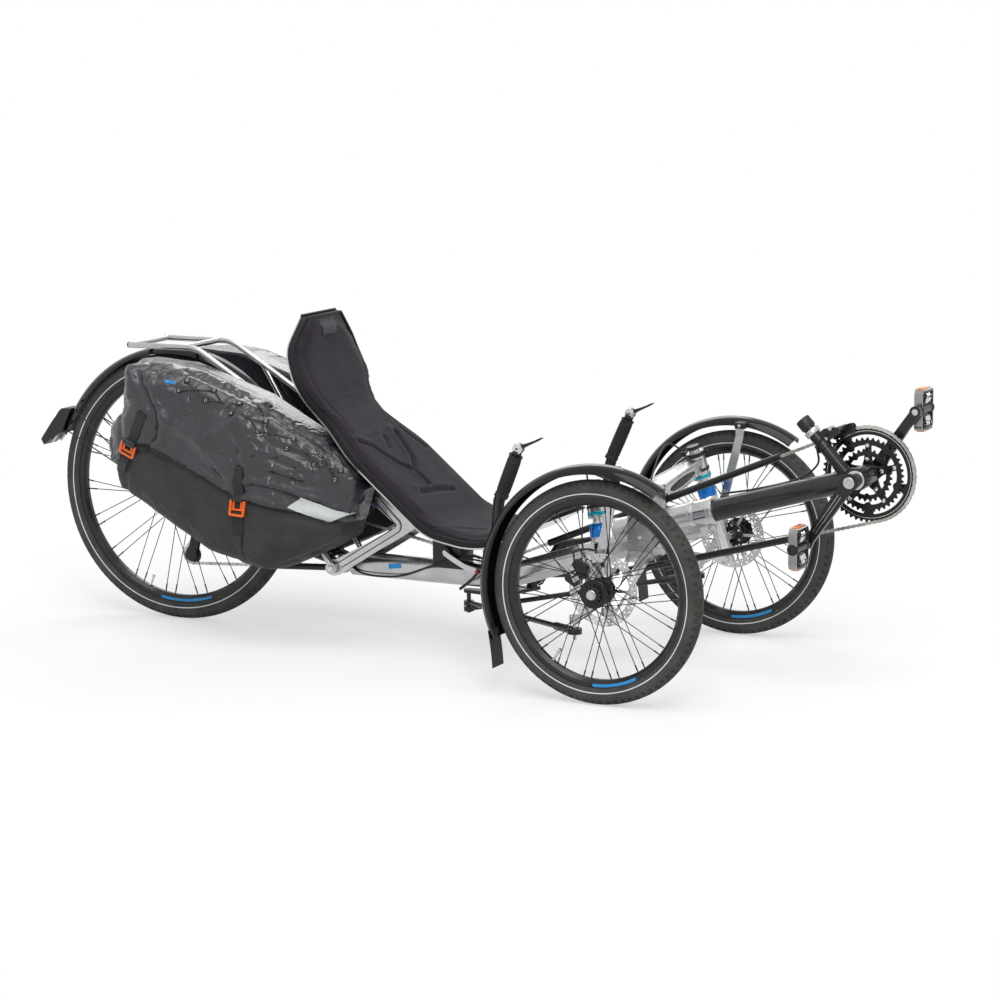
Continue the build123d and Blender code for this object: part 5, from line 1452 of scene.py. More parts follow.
@dataclass
class Bag:
    """One side bag: swollen body, folded lid, seams, straps, lacing, buckles and a pale reflector.

    Sizes are millimetres ahead of the rear axle and above it.

    Attributes:
        side: Which side it hangs on.
        seam: Lower edge of the folded lid.
        folds: Raised or sunk lines in the cloth: (points, height, width).
        buckles: (ahead, up, lean in degrees) of the two buckles.
        reflector: Corners of the pale patch.
    """

    side: Side
    seam: tuple[Point2, ...] = ((-70, 78), (-18, 104), (12, 128), (74, 138), (198, 88), (306, 36), (401, 12),
                                (481, 1), (560, -14), (650, -26))
    folds: tuple[tuple[tuple[Point2, ...], float, float], ...] = (
        (((44, 300), (70, 262), (97, 217), (92, 172), (70, 140)), -7.0, 13.0),
        (((78, 300), (104, 250), (124, 200), (112, 160)), 4.0, 13.0),
        (((124, 214), (168, 184), (221, 161), (290, 190), (352, 236)), 4.6, 15.0),
        (((221, 161), (262, 118), (300, 74)), 4.2, 17.0),
        (((150, 250), (215, 232), (290, 262)), -3.0, 22.0),
        (((176, 150), (214, 122), (262, 84)), -3.0, 12.0),
        (((299, 56), (350, 78), (400, 70), (470, 48), (540, 34)), 3.6, 8.0),
        (((318, 40), (360, 60), (410, 52), (480, 30)), -3.2, 8.0),
        (((350, 128), (400, 128), (462, 108)), -3.4, 6.0), (((330, 148), (392, 146), (470, 126)), 2.6, 6.0),
        (((345, 108), (402, 106), (480, 84)), 2.8, 7.0), (((400, 92), (470, 74), (540, 60)), -2.6, 7.0),
        (((390, 172), (450, 146), (520, 116)), -2.8, 8.0), (((300, 180), (318, 140), (322, 100)), -3.4, 9.0),
        (((328, -14), (326, -70), (322, -146)), -3.4, 6.0), (((344, -20), (342, -80), (338, -140)), 2.0, 9.0),
        (((372, -30), (440, -20), (520, -44)), 3.4, 18.0), (((400, -96), (460, -84), (560, -60)), -3.2, 14.0),
        (((-60, 160), (-52, 120), (-20, 60)), 3.0, 12.0), (((-18, 210), (-8, 180), (-6, 120)), -3.2, 10.0),
        (((20, 100), (4, 60), (-8, 20)), -3.0, 9.0))
    buckles: tuple[tuple[float, float, float], ...] = ((22, 134, 28), (322, 12, 4))
    reflector: tuple[Point2, ...] = ((446, 16), (538, -16), (584, 2), (480, 42))

    def place(self, ahead: float, up: float, out: float = 0.0) -> Vector:
        """A place given from the rear axle."""
        return at(REAR_HUB_MM[0] + ahead, self.side.value * out, REAR_HUB_MM[2] + up)

    def land(self, ahead: float, up: float) -> tuple[Vector, Vector]:
        """Find the bag's outer face.

        Args:
            ahead: Millimetres ahead of the rear axle.
            up: Millimetres above it.

        Returns:
            The place and the outward normal there.
        """
        inward = Vector((0, -self.side.value, 0))
        start = self.place(ahead, up, 400)
        middle = self.tree.ray_cast(start, inward)[0]
        if middle is None:
            middle = self.tree.find_nearest(self.place(ahead, up, 220))[0]
        near = [self.tree.ray_cast(start + Vector((dx, 0, dz)), inward)[1] for dx, dz in
                ((0.008, 0), (-0.008, 0), (0, 0.008), (0, -0.008), (0, 0))]
        kept = [n for n in near if n is not None and abs(n.y) > 0.1]
        normal = sum(kept, Vector()).normalized() if kept else Vector((0, self.side.value, 0))
        return middle, normal

    def shape(self, node: bpy.types.Object) -> bpy.types.Mesh:
        """Swell the bag, then fold its lid over and rumple the cloth.

        Args:
            node: The bag's solid.

        Returns:
            The finished mesh, with one finish above the seam and one below.
        """
        sign = self.side.value

        def held(places: np.ndarray) -> np.ndarray:
            """Let the outer half swell and keep the half that hangs on the rack."""
            return soft_step(places[:, 1] * sign / MM, 120, 180)

        mesh = Stuffed(voxel=0.006, shrink=0.003, cap=0.011).form(node, held)
        places, ways = mesh_places(mesh), mesh_rows(mesh, "normal")
        origin = self.place(0, 0)
        spots = np.stack([places[:, 0] - origin.x, places[:, 2] - origin.z], axis=1) / MM
        seam = np.array(self.seam)
        over = spots[:, 1] - np.interp(spots[:, 0], seam[:, 0], seam[:, 1])
        outwards = soft_step(ways[:, 1] * sign, -0.1, 0.35)
        tuck = np.clip(spots[:, 0] - 500, 0, None) * 0.2 * MM
        lid = soft_step(over, -1.5, 2.5)
        push = 4.6 * lid - 5.0 * bell(over, -8, 8.0) + 3.2 * bell(over, 9, 9.0) - 2.0 * bell(over, 26, 10.0)
        for points, height, width in self.folds:
            push += 1.5 * height * groove(spots, points, width)
        wide = rumple(places, 0.16, (1.0, 0.7, 1.3), 1.7)
        fine = rumple(places, 0.045, (0.8, 0.8, 1.4), 5.3)
        front = soft_step(spots[:, 0], 240, 420) * lid
        push += wide * (3.0 + lid) + fine * (0.5 + lid + 1.3 * front)
        lean = np.abs(rumple(places, 0.085, (1.0, 0.6, 1.0), 8.8))
        push -= (1 - soft_step(lean, 0.0, 0.09)) * (0.4 + 2.0 * lid)
        move = push * (0.25 + 0.75 * outwards) * soft_step(places[:, 1] * sign / MM, 108, 150)
        places += ways * (move * MM)[:, None]
        places[:, 0] -= tuck
        reshaped(mesh, places)
        mesh.materials.append(Look.BAG_TOP.material())
        mesh.materials.append(Look.BAG_LOW.material())
        low = (over < -1.0).astype(int)
        for poly in mesh.polygons:
            poly.material_index = int(low[list(poly.vertices)].mean() > 0.5)
        return mesh

    def build(self, mesh: bpy.types.Mesh) -> None:
        """Make the bag and everything sewn to it.

        Args:
            mesh: The bag's finished cloth.
        """
        word = self.side.word
        bag = register(mesh, Part(f"bag_{word}", Look.BAG_TOP, "frame", "bag_fabric", (f"pannier_{word}",), sharp=55))
        self.tree = surface_tree(bag)
        self.welts()
        self.straps()
        self.lacing()
        patch = Part(f"bag_reflector_{word}", Look.PATCH, "frame", "bag_fabric")
        patch.patch(self.reflector, self.land, 0.0022, 0.0008, (12, 6))
        patch.done()
        tab = Part(f"bag_tab_{word}", Look.DECAL, "frame", "bag_fabric")
        tab.patch(((122, 292), (148, 287), (150, 293), (124, 298)), self.land, 0.001, 0.0009, (6, 2))
        tab.done()

    def follow(self, points: Sequence[Point2], lift: float, steps: int = 6) -> tuple[list[Vector], list[Vector]]:
        """Lay a smooth line on the bag's outer face.

        Args:
            points: (ahead, up) places that it passes.
            lift: How far it stands off the cloth, in metres.
            steps: Pieces between two places.

        Returns:
            Points on the line and the cloth's normal at each.
        """
        flat = smooth_path([Vector((x, 0, z)) for x, z in points], steps)
        rows = [self.land(p.x, p.z) for p in flat]
        ways = [sum((rows[max(min(i + k, len(rows) - 1), 0)][1] for k in (-2, -1, 0, 1, 2)), Vector()).normalized()
                for i in range(len(rows))]
        return [place + way * lift for (place, _), way in zip(rows, ways)], ways

    def welts(self) -> None:
        """The lid's taped edge, the side pocket's seam and their stitches."""
        part = Part(f"bag_welts_{self.side.word}", Look.BINDING, "frame", "bag_fabric", sharp=50)
        for points, width in ((self.seam[1:-1], 0.009), (((328, -22), (326, -70), (322, -132)), 0.007)):
            path, ways = self.follow(points, 0.0006)
            part.band(path, ways, width, 0.0018)
        part.done()
        sewn = Part(f"bag_stitches_{self.side.word}", Look.THREAD, "frame", "bag_fabric")
        for first, second in zip(self.seam[1:-2], self.seam[2:-1]):
            count = max(int(math.dist(first, second) / 7), 3)
            stitch_row(sewn, self.land, (first[0], first[1] + 8), (second[0], second[1] + 8), count, 0.0003)
        sewn.done()

    def straps(self) -> None:
        """Webbing over the lid, through each buckle and on to a loose tail."""
        web = Part(f"bag_straps_{self.side.word}", Look.WEBBING, "frame", "bag_fabric", sharp=40)
        clip = Part(f"bag_buckles_{self.side.word}", Look.ORANGE, "frame", "orange_plastic",
                    ("pannier_buckles",), sharp=40)
        body = Part(f"bag_buckle_bodies_{self.side.word}", Look.PLASTIC, "frame", "black_plastic", sharp=40)
        for ahead, up, lean in self.buckles:
            turn = math.radians(lean)
            run = Vector((math.sin(turn), 0, math.cos(turn)))
            points = [(ahead + run.x * d, up + run.z * d) for d in (-66, -40, -12, 12, 40, 70, 96)]
            path, ways = self.follow(points, 0.0024, 4)
            web.band(path, ways, 0.025, 0.0022)
            middle, out = self.land(ahead, up)
            long = (run - out * run.dot(out)).normalized()
            turned = Matrix((long.cross(out).normalized(), long, out)).transposed()
            base = middle + out * 0.0062
            for piece, offset, size in ((clip, (17.5, -4), (5.5, 36, 8.5)), (clip, (-17.5, -4), (5.5, 36, 8.5)),
                                        (clip, (0, -21), (36, 6, 8)), (clip, (0, -8), (32, 4.5, 6)),
                                        (clip, (10, 4), (4, 20, 5)), (clip, (-10, 4), (4, 20, 5)),
                                        (body, (0, 18), (33, 15, 9)), (body, (0, -14.5), (26, 5, 5))):
                spot = base + turned @ Vector((offset[0] * MM, offset[1] * MM, 0))
                piece.block(spot, [s * MM for s in size], turned, 0.0014)
        web.done()
        body.done()
        self.clip = clip

    def lacing(self) -> None:
        """A cord laced between two rows of loops along the bag's upper front edge."""
        cord = Part(f"bag_lacing_{self.side.word}", Look.LACE, "frame", "bag_fabric")
        loops = Part(f"bag_lace_loops_{self.side.word}", Look.BINDING, "frame", "bag_fabric", sharp=40)
        eyes = Part(f"bag_eyelets_{self.side.word}", Look.STEEL, "frame", "steel", sharp=60)
        upper = [(176, 298), (246, 278), (316, 251), (388, 214), (456, 176), (520, 140), (572, 108)]
        rows = []
        for drop in (4.0, 30.0):
            row = []
            for x, z in upper:
                place, way = self.land(x - drop * 0.45, z - drop * 0.8)
                row.append(place + way * 0.003)
                turned = way.to_track_quat("Z", "X").to_matrix()
                loops.block(place + way * 0.0015, (0.010, 0.014, 0.004), turned, 0.001)
                eyes.hoop(place + way * 0.0037, way, 0.0031, 0.0008, 14, 6)
            rows.append(row)
        for first, second in zip(range(len(upper) - 1), range(1, len(upper))):
            for start, stop in ((rows[0][first], rows[1][second]), (rows[1][first], rows[0][second])):
                middle, way = self.tree.find_nearest((start + stop) / 2)[:2]
                cord.tube(smooth_path([start, middle + way * 0.0042, stop], 4), 0.0015, 6)
        for piece in (cord, loops, eyes):
            piece.done()


def bags(frame: dict) -> None:
    """Make both side bags; the left one's cloth is the right one's, mirrored.

    Args:
        frame: The loaded frame.
    """
    right = Bag(Side.RIGHT)
    cloth = right.shape(frame["nodes"]["pannier_right"])
    bm = bmesh.new()
    bm.from_mesh(cloth)
    bmesh.ops.scale(bm, verts=bm.verts[:], vec=(1, -1, 1))
    bmesh.ops.reverse_faces(bm, faces=bm.faces[:])
    other = cloth.copy()
    bm.to_mesh(other)
    bm.free()
    right.build(cloth)
    left = Bag(Side.LEFT)
    left.build(other)
    left.clip.done()
    right.clip.done()


# ---------------------------------------------------------------- drivetrain


def bottom_bracket(left: float) -> Vector:
    """A point on the cranks' axis, so many millimetres to the left."""
    return at(BB_MM[0], left, BB_MM[1])


@dataclass
class Drivetrain:
    """Chain, rings, cogs, cranks and pedals on the rider's left.

    Attributes:
        plane: Distance of the chain's plane to the left, in millimetres.
        loop: Chain wheels as (ahead, up, pitch radius, turn) in travel order.
        rings: Teeth of the three rings, outermost first.
        cogs: Teeth of the rear cogs, outermost first.
        pulleys: Idler, guide and tension pulley as (ahead, up, teeth).
        arms: How far each crank arm's middle lies from the trike's, by the sign of its side.
        depth: Depth of the tooth gaps under the pitch circle in millimetres.
    """

    plane: float = 52.0
    loop: tuple[tuple[float, float, float, int], ...] = (
        (451.0, 464.0, pitch_radius(RING_TEETH), 1), (-470.0, 222.0, pitch_radius(13), -1),
        (-1310.0, 328.0, pitch_radius(18), 1), (-1288.0, 252.0, pitch_radius(11), -1),
        (-1312.0, 150.0, pitch_radius(11), 1), (-448.0, 1874.6, 1700.0, 1))
    rings: tuple[int, ...] = (RING_TEETH, 40, 28)
    cogs: tuple[int, ...] = (16, 18, 20, 22, 24, 26)
    pulleys: tuple[tuple[float, float, int], ...] = ((-470.0, 222.0, 13), (-1288.0, 252.0, 11), (-1312.0, 150.0, 11))
    arms: tuple[tuple[int, float], ...] = ((1, 78.0), (-1, 70.0))
    depth: float = 3.9

    def build(self) -> None:
        """Make every piece of the drivetrain."""
        self.chain()
        self.chainrings()
        self.cassette()
        self.cranks()
        for side in Side:
            self.pedal(side)
        self.pulley_rims()
        self.shifters()

    def _track(self) -> list[Point2]:
        """Points along the chain's pitch line, a few millimetres apart at most."""
        headings = []
        for first, second in zip(self.loop, self.loop[1:] + self.loop[:1]):
            gap = (second[0] - first[0], second[1] - first[1])
            swing = math.asin((first[3] * first[2] - second[3] * second[2]) / math.hypot(*gap))
            headings.append(math.atan2(gap[1], gap[0]) + swing)
        track: list[Point2] = []
        for index, (x, z, radius, turn) in enumerate(self.loop):
            sweep = (headings[index] - headings[index - 1]) * turn % (2 * math.pi)
            steps = max(int(radius * sweep / 2.0), 2)
            for step in range(steps + 1):
                course = headings[index - 1] + turn * sweep * step / steps
                track.append((x + turn * radius * math.sin(course), z - turn * radius * math.cos(course)))
        return track

    def _pins(self) -> list[Vector]:
        """Every chain pin, evenly spaced round the loop."""
        track = self._track()
        ring = track + track[:1]
        lengths = [0.0]
        for first, second in zip(ring, ring[1:]):
            lengths.append(lengths[-1] + math.dist(first, second))
        count = 2 * round(lengths[-1] / PITCH_MM / 2)
        stops = np.linspace(0, lengths[-1], count, endpoint=False)
        rows = np.array(ring)
        return [at(x, self.plane, z) for x, z in zip(np.interp(stops, lengths, rows[:, 0]),
                                                     np.interp(stops, lengths, rows[:, 1]))]

    def _link(self, outer: bool) -> bpy.types.Mesh:
        """One chain link along X between two pins.

        Args:
            outer: Whether it is an outer link, whose pins show.

        Returns:
            The link's mesh.
        """
        part = Part("link", Look.CHAIN_STEEL, "frame", "steel")
        half, waist, tall = PITCH_MM / 2, 2.7, 4.1
        shape = [(-half + tall * math.cos(a), tall * math.sin(a)) for a in map(math.radians, (60, 110, 180, 250, 300))]
        outline = [(x, z) for x, z in shape] + [(0, -waist)] + [(-x, z) for x, z in reversed(shape)] + [(0, waist)]
        low = 2.0 if outer else 1.15
        for sign in (-1, 1):
            part.slab([Vector((x, sign * low, z)) * MM for x, z in outline], Vector((0, sign * 0.8 * MM, 0)))
        for x in (-half, half):
            part.drum(Vector((x * MM, 0, 0)), LEFTWARD, (1.9 if outer else 3.7) * MM,
                      (6.0 if outer else 2.1) * MM, 8)
        mesh = bpy.data.meshes.new("link")
        part.mesh.to_mesh(mesh)
        part.mesh.free()
        return mesh

    def _covered(self, spot: Vector) -> bool:
        """Whether a place on the chain lies well inside a guide tube."""
        x, z = spot.x / MM - FRONT_X_MM, spot.z / MM
        divide = 235 + 0.25 * (x + 330)
        upper = 222 > x > -312 and z > divide
        return upper or (242 > x > -1112 and z < divide - 20)

    def chain(self) -> None:
        """A roller chain of pressed plates, rollers and pins."""
        part = Part("roller_chain", Look.CHAIN_STEEL, "frame", "steel", ("chain",), sharp=40)
        links = (self._link(True), self._link(False))
        pins = self._pins()
        for index, (first, second) in enumerate(zip(pins, pins[1:] + pins[:1])):
            middle = (first + second) / 2
            if self._covered(middle):
                continue
            run = second - first
            before = len(part.mesh.verts)
            part.mesh.from_mesh(links[index % 2])
            part.mesh.verts.ensure_lookup_table()
            turn = Matrix.Rotation(-math.atan2(run.z, run.x), 4, "Y")
            bmesh.ops.transform(part.mesh, matrix=Matrix.Translation(middle) @ turn, verts=part.mesh.verts[before:])
        part.done()

    def _toothed(self, teeth: int, phase: float, tall: float = 3.0) -> Callable[[float], float]:
        """The outline of a chain wheel with rounded gaps and narrow tips.

        Args:
            teeth: Number of teeth.
            phase: Angle of one gap's middle, in radians.
            tall: Height of the tips over the pitch circle in millimetres.

        Returns:
            Radius in metres for an angle in radians.
        """
        pitch = pitch_radius(teeth)

        def radius(angle: float) -> float:
            """Radius of the edge at an angle."""
            share = ((angle - phase) * teeth / (2 * math.pi)) % 1.0
            wave = (1 - math.cos(2 * math.pi * share)) / 2
            return (pitch - self.depth + (tall + self.depth) * wave ** 1.4) * MM

        return radius

    def chainrings(self) -> None:
        """Three toothed rings with tabs, a five-arm spider, its bolts and a painted highlight: bright steel rings on
        the outer ring's edge.
        """
        part = Part("toothed_rings", Look.RING_BLACK, "crank", "black_metal", ("chainrings",), sharp=32)
        first = self._pins()[0] - bottom_bracket(self.plane)
        phase = math.atan2(first.z, first.x)
        gap = 6.5
        for step, (teeth, rim, hold) in enumerate(zip(self.rings, (13.0, 11.0, 9.0), (61.0, 61.0, 40.0))):

            def inner(angle: float, base: float = pitch_radius(teeth) - self.depth - rim, hold: float = hold) -> float:
                """The ring's inner edge, with a tab at each spider arm."""
                off = abs((angle * 5 / (2 * math.pi) + 0.25) % 1.0 - 0.5) * 2
                tab = min(max((0.78 - off) / -0.14, 0.0), 1.0)
                return (base + (min(hold, base - 2) - base) * tab) * MM

            centre = bottom_bracket(self.plane - step * gap)
            part.plate(centre, self._toothed(teeth, phase), inner, 1.8 * MM, teeth * 6)
        middle = bottom_bracket(self.plane - gap)
        arm = [(17, 15), (34, 9.5), (58, 7), (71, 7.5), (75, 4)]
        turns = [2 * math.pi * (index + 0.25) / 5 for index in range(5)]
        for turn in turns:
            out, across = clock(turn), Vector((-math.sin(turn), 0, math.cos(turn)))
            outline = arm + [(r, -w) for r, w in reversed(arm)]
            part.slab([middle + (out * r + across * w) * MM + Vector((0, -2.3 * MM, 0)) for r, w in outline],
                      Vector((0, 4.6 * MM, 0)), 0.0008)
        part.lathe(middle, section(((12.3, -6), (22, -6), (24, -4), (24, 9), (20, 12), (12.3, 12))), 40)
        part.weld()
        part.done()
        bolts = Part("ring_bolts", Look.STEEL, "crank", "steel")
        edge = Part("ring_highlights", Look.STEEL, "crank", "steel", sharp=30)
        for turn in turns:
            for reach, step, long in ((66.0, 1, 18), (36.0, 2, 6)):
                spot = at(BB_MM[0] + reach * math.cos(turn), self.plane - gap * step, BB_MM[1] + reach * math.sin(turn))
                bolts.drum(spot, LEFTWARD, 0.0048, long * MM, 14, bevel=0.0006)
        # Painted highlight: two thin bright steel rings stand in for the light caught by the outer ring's chamfer.
        for radius, shift in ((97.2, 1.2), (96.2, -1.2)):
            wide, low = radius + 1.2, shift * 0.7
            outline = ((radius, low), (wide, low), (wide, shift), (radius, shift))
            edge.lathe(bottom_bracket(self.plane), section(outline), 96)
        edge.done(weld=True)
        bolts.done()

    def cassette(self) -> None:
        """Toothed rear cogs on a sleeve with a lock ring."""
        part = Part("toothed_cogs", Look.STEEL, "rear_wheel", "steel", ("cassette",), sharp=30)
        pins = self._pins()
        hub = at(REAR_HUB_MM[0], self.plane, REAR_HUB_MM[2])
        near = min(pins, key=lambda p: abs((p - hub).length - self.loop[2][2] * MM))
        phase = math.atan2(near.z - hub.z, near.x - hub.x)
        for index, teeth in enumerate(self.cogs):
            y = self.plane + 4.4 - index * 4.4

            def inner(angle: float, pitch: float = pitch_radius(teeth)) -> float:
                """The cog's inner edge, scalloped between six arms."""
                return (19.0 + max(pitch - 34.0, 0.0) * 0.5 * (1 - abs(math.sin(angle * 3))) ** 0.6) * MM

            part.plate(at(REAR_HUB_MM[0], y, REAR_HUB_MM[2]), self._toothed(teeth, phase, 2.6), inner, 1.7 * MM,
                       teeth * 6)
        part.lathe(hub, section(((16.4, -20), (20, -20), (20, 5), (22.5, 6), (22.5, 9), (21, 10), (16.4, 10))), 48)
        part.done(weld=True)

    def cranks(self) -> None:
        """Painted highlight lines along the crank arms, axle caps and pedal axle ends."""
        lines = Part("crank_bright_lines", Look.STEEL, "crank", "steel")
        caps = Part("crank_caps", Look.FORGED, "crank", "silver_alloy", sharp=30)
        for side, arm_y in self.arms:
            out = clock(math.radians(CRANK_DEG)) * side
            face = side * (arm_y + 6.5)
            place = Matrix.Rotation(-math.atan2(out.z, out.x), 3, "Y")
            hub = bottom_bracket(face)
            # Painted highlight: two bright steel strips along each arm stand in for the light caught by the arm's
            # groove.
            for shift, long in ((-3.6, 104), (3.6, 104)):
                across = Vector((-out.z, 0, out.x)) * shift * MM
                lines.block(hub + out * 0.088 + across, (long * MM, 0.0012, 0.0011), place, 0.0003)
            outline = ((0.01, -1), (13, -1), (13, 1.2), (12, 2.2), (7, 2.2), (6, 0.8), (0.01, 0.8))
            caps.lathe(hub, section(outline, side), 36)
            tip = hub + out * CRANK_MM * MM
            caps.drum(tip - Vector((0, side * 0.0125, 0)), Vector((0, -side, 0)), 0.0072, 0.004, 18, bevel=0.0008)
            caps.drum(tip + Vector((0, side * 0.003, 0)), Vector((0, side, 0)), 0.0085, 0.006, 6, bevel=0.0006)
        lines.done()
        caps.done(weld=True)

    def pedal(self, side: Side) -> None:
        """A clip pedal: a bearing barrel, two looped alloy cages with teeth, sprung claws and amber ends.

        Args:
            side: Which pedal.
        """
        sign = side.value
        turn = math.radians(CRANK_DEG)
        arm_y = dict(self.arms)[sign]
        x = BB_MM[0] + sign * CRANK_MM * math.cos(turn)
        z = BB_MM[1] + sign * CRANK_MM * math.sin(turn)
        middle_y = sign * (arm_y + 12.5 + 40)
        axle = LEFTWARD
        body = f"{side.word}_pedal"
        core = Part(f"pedal_core_{side.word}", Look.BLACK_METAL, body, "black_plastic", (f"pedal_{side.word}",),
                    sharp=32)
        glass = Part(f"pedal_reflectors_{side.word}", Look.AMBER, body, "orange_plastic", sharp=40)
        cage = Part(f"pedal_cage_{side.word}", Look.PEDAL_ALLOY, body, "silver_alloy", sharp=40)
        claws = Part(f"pedal_claws_{side.word}", Look.STEEL, body, "steel", sharp=35)
        middle = at(x, middle_y, z)
        half = [(5.8, 37.5), (11.5, 37.5), (13.0, 36.0), (13.0, 31.0), (10.6, 28.0)]
        core.lathe(middle, section([(r, -y) for r, y in half] + half[::-1]), 36)
        core.drum(middle + axle * sign * 0.0385, axle, 0.0095, 0.003, 28, bevel=0.0008)
        for end in (-1, 1):
            core.block(at(x, middle_y, z + end * 26), (0.012, 0.034, 0.033), None, 0.003)
            core.block(at(x, middle_y, z + end * 40), (0.019, 0.052, 0.006), None, 0.0015)
            legs = [at(x, middle_y + left, z + end * up) for left, up in ((-35, 8), (-36, 44), (36, 44), (35, 8))]
            loop = round_path(legs, [0.013, 0.013], 8)
            ways = [(after - before).normalized().cross(Vector((1, 0, 0)))
                    for before, after in zip([loop[0], *loop], [*loop[1:], loop[-1]])]
            cage.band(loop, ways, 0.019, 0.0032)
            glass.block(at(x, middle_y, z + end * 46.4), (0.016, 0.046, 0.0034), None, 0.0008)
            for face in (-1, 1):
                for index in range(7):
                    tooth = at(x + face * 10.8, middle_y + (index - 3) * 8.2, z + end * 43.9)
                    cage.drum(tooth, Vector((face, 0, 0)), 0.0021, 0.0035, 4, 0.0011)
                claws.block(at(x + face * 9.4, middle_y, z + end * 20), (0.0036, 0.030, 0.012),
                            Matrix.Rotation(face * end * 0.32, 3, "Y"), 0.001)
                claws.drum(at(x + face * 8.2, middle_y + 19, z + end * 30), Vector((face, 0, 0)), 0.0026, 0.0075, 6)
                for coil in range(7):
                    claws.hoop(at(x + face * 7.4, middle_y - 9 + coil * 3.0, z + end * 31), axle, 0.0040, 0.0009, 18, 6)
        for piece in (core, glass, cage, claws):
            piece.done()

    def pulley_rims(self) -> None:
        """Toothed rims and bolts for the guide pulleys and the idler."""
        part = Part("pulley_teeth", Look.PLASTIC, "frame", "black_plastic", sharp=30)
        bolts = Part("pulley_bolts", Look.STEEL, "frame", "steel", sharp=30)
        for x, z, teeth in self.pulleys:
            centre = at(x, self.plane, z)
            base = pitch_radius(teeth) - 6.5
            part.plate(centre, self._toothed(teeth, 0.4), lambda angle, base=base: base * MM, 1.9 * MM, teeth * 6)
            bolts.drum(at(x, self.plane + 8.2, z), LEFTWARD, 0.0055, 0.0045, 6, bevel=0.0005)
            bolts.drum(at(x, self.plane + 6.8, z), LEFTWARD, 0.0078, 0.0012, 24)
        part.done()
        bolts.done()

    def shifters(self) -> None:
        """Spring, pivots, cable anchor and adjusters on the two derailleurs."""
        part = Part("derailleur_fittings", Look.STEEL, "frame", "steel", sharp=30)
        x, z, _ = self.pulleys[1]
        for turn in range(5):
            part.hoop(at(x + 2, 46.2 + turn * 2.1 + 11, z - 4), LEFTWARD, 0.0106, 0.0009, 28, 6)
        for ahead, up, y in ((x - 2, z - 2, 72.6), (x + 38, z + 52, 72.6), (x + 12, z + 22, 72.0)):
            part.drum(at(ahead, y, up), LEFTWARD, 0.0052, 0.004, 6, bevel=0.0005)
        part.drum(at(x - 17, 62, z - 14), Vector((1, 0, 0.3)), 0.0034, 0.016, 12, 0.0026)
        for spot, radius, long in ((at(384, -7, 571), 0.005, 0.022), (at(372, 0, 547), 0.0045, 0.018)):
            part.drum(spot, LEFTWARD, radius, long, 6, bevel=0.0005)
        part.done()


# ---------------------------------------------------------------- cockpit


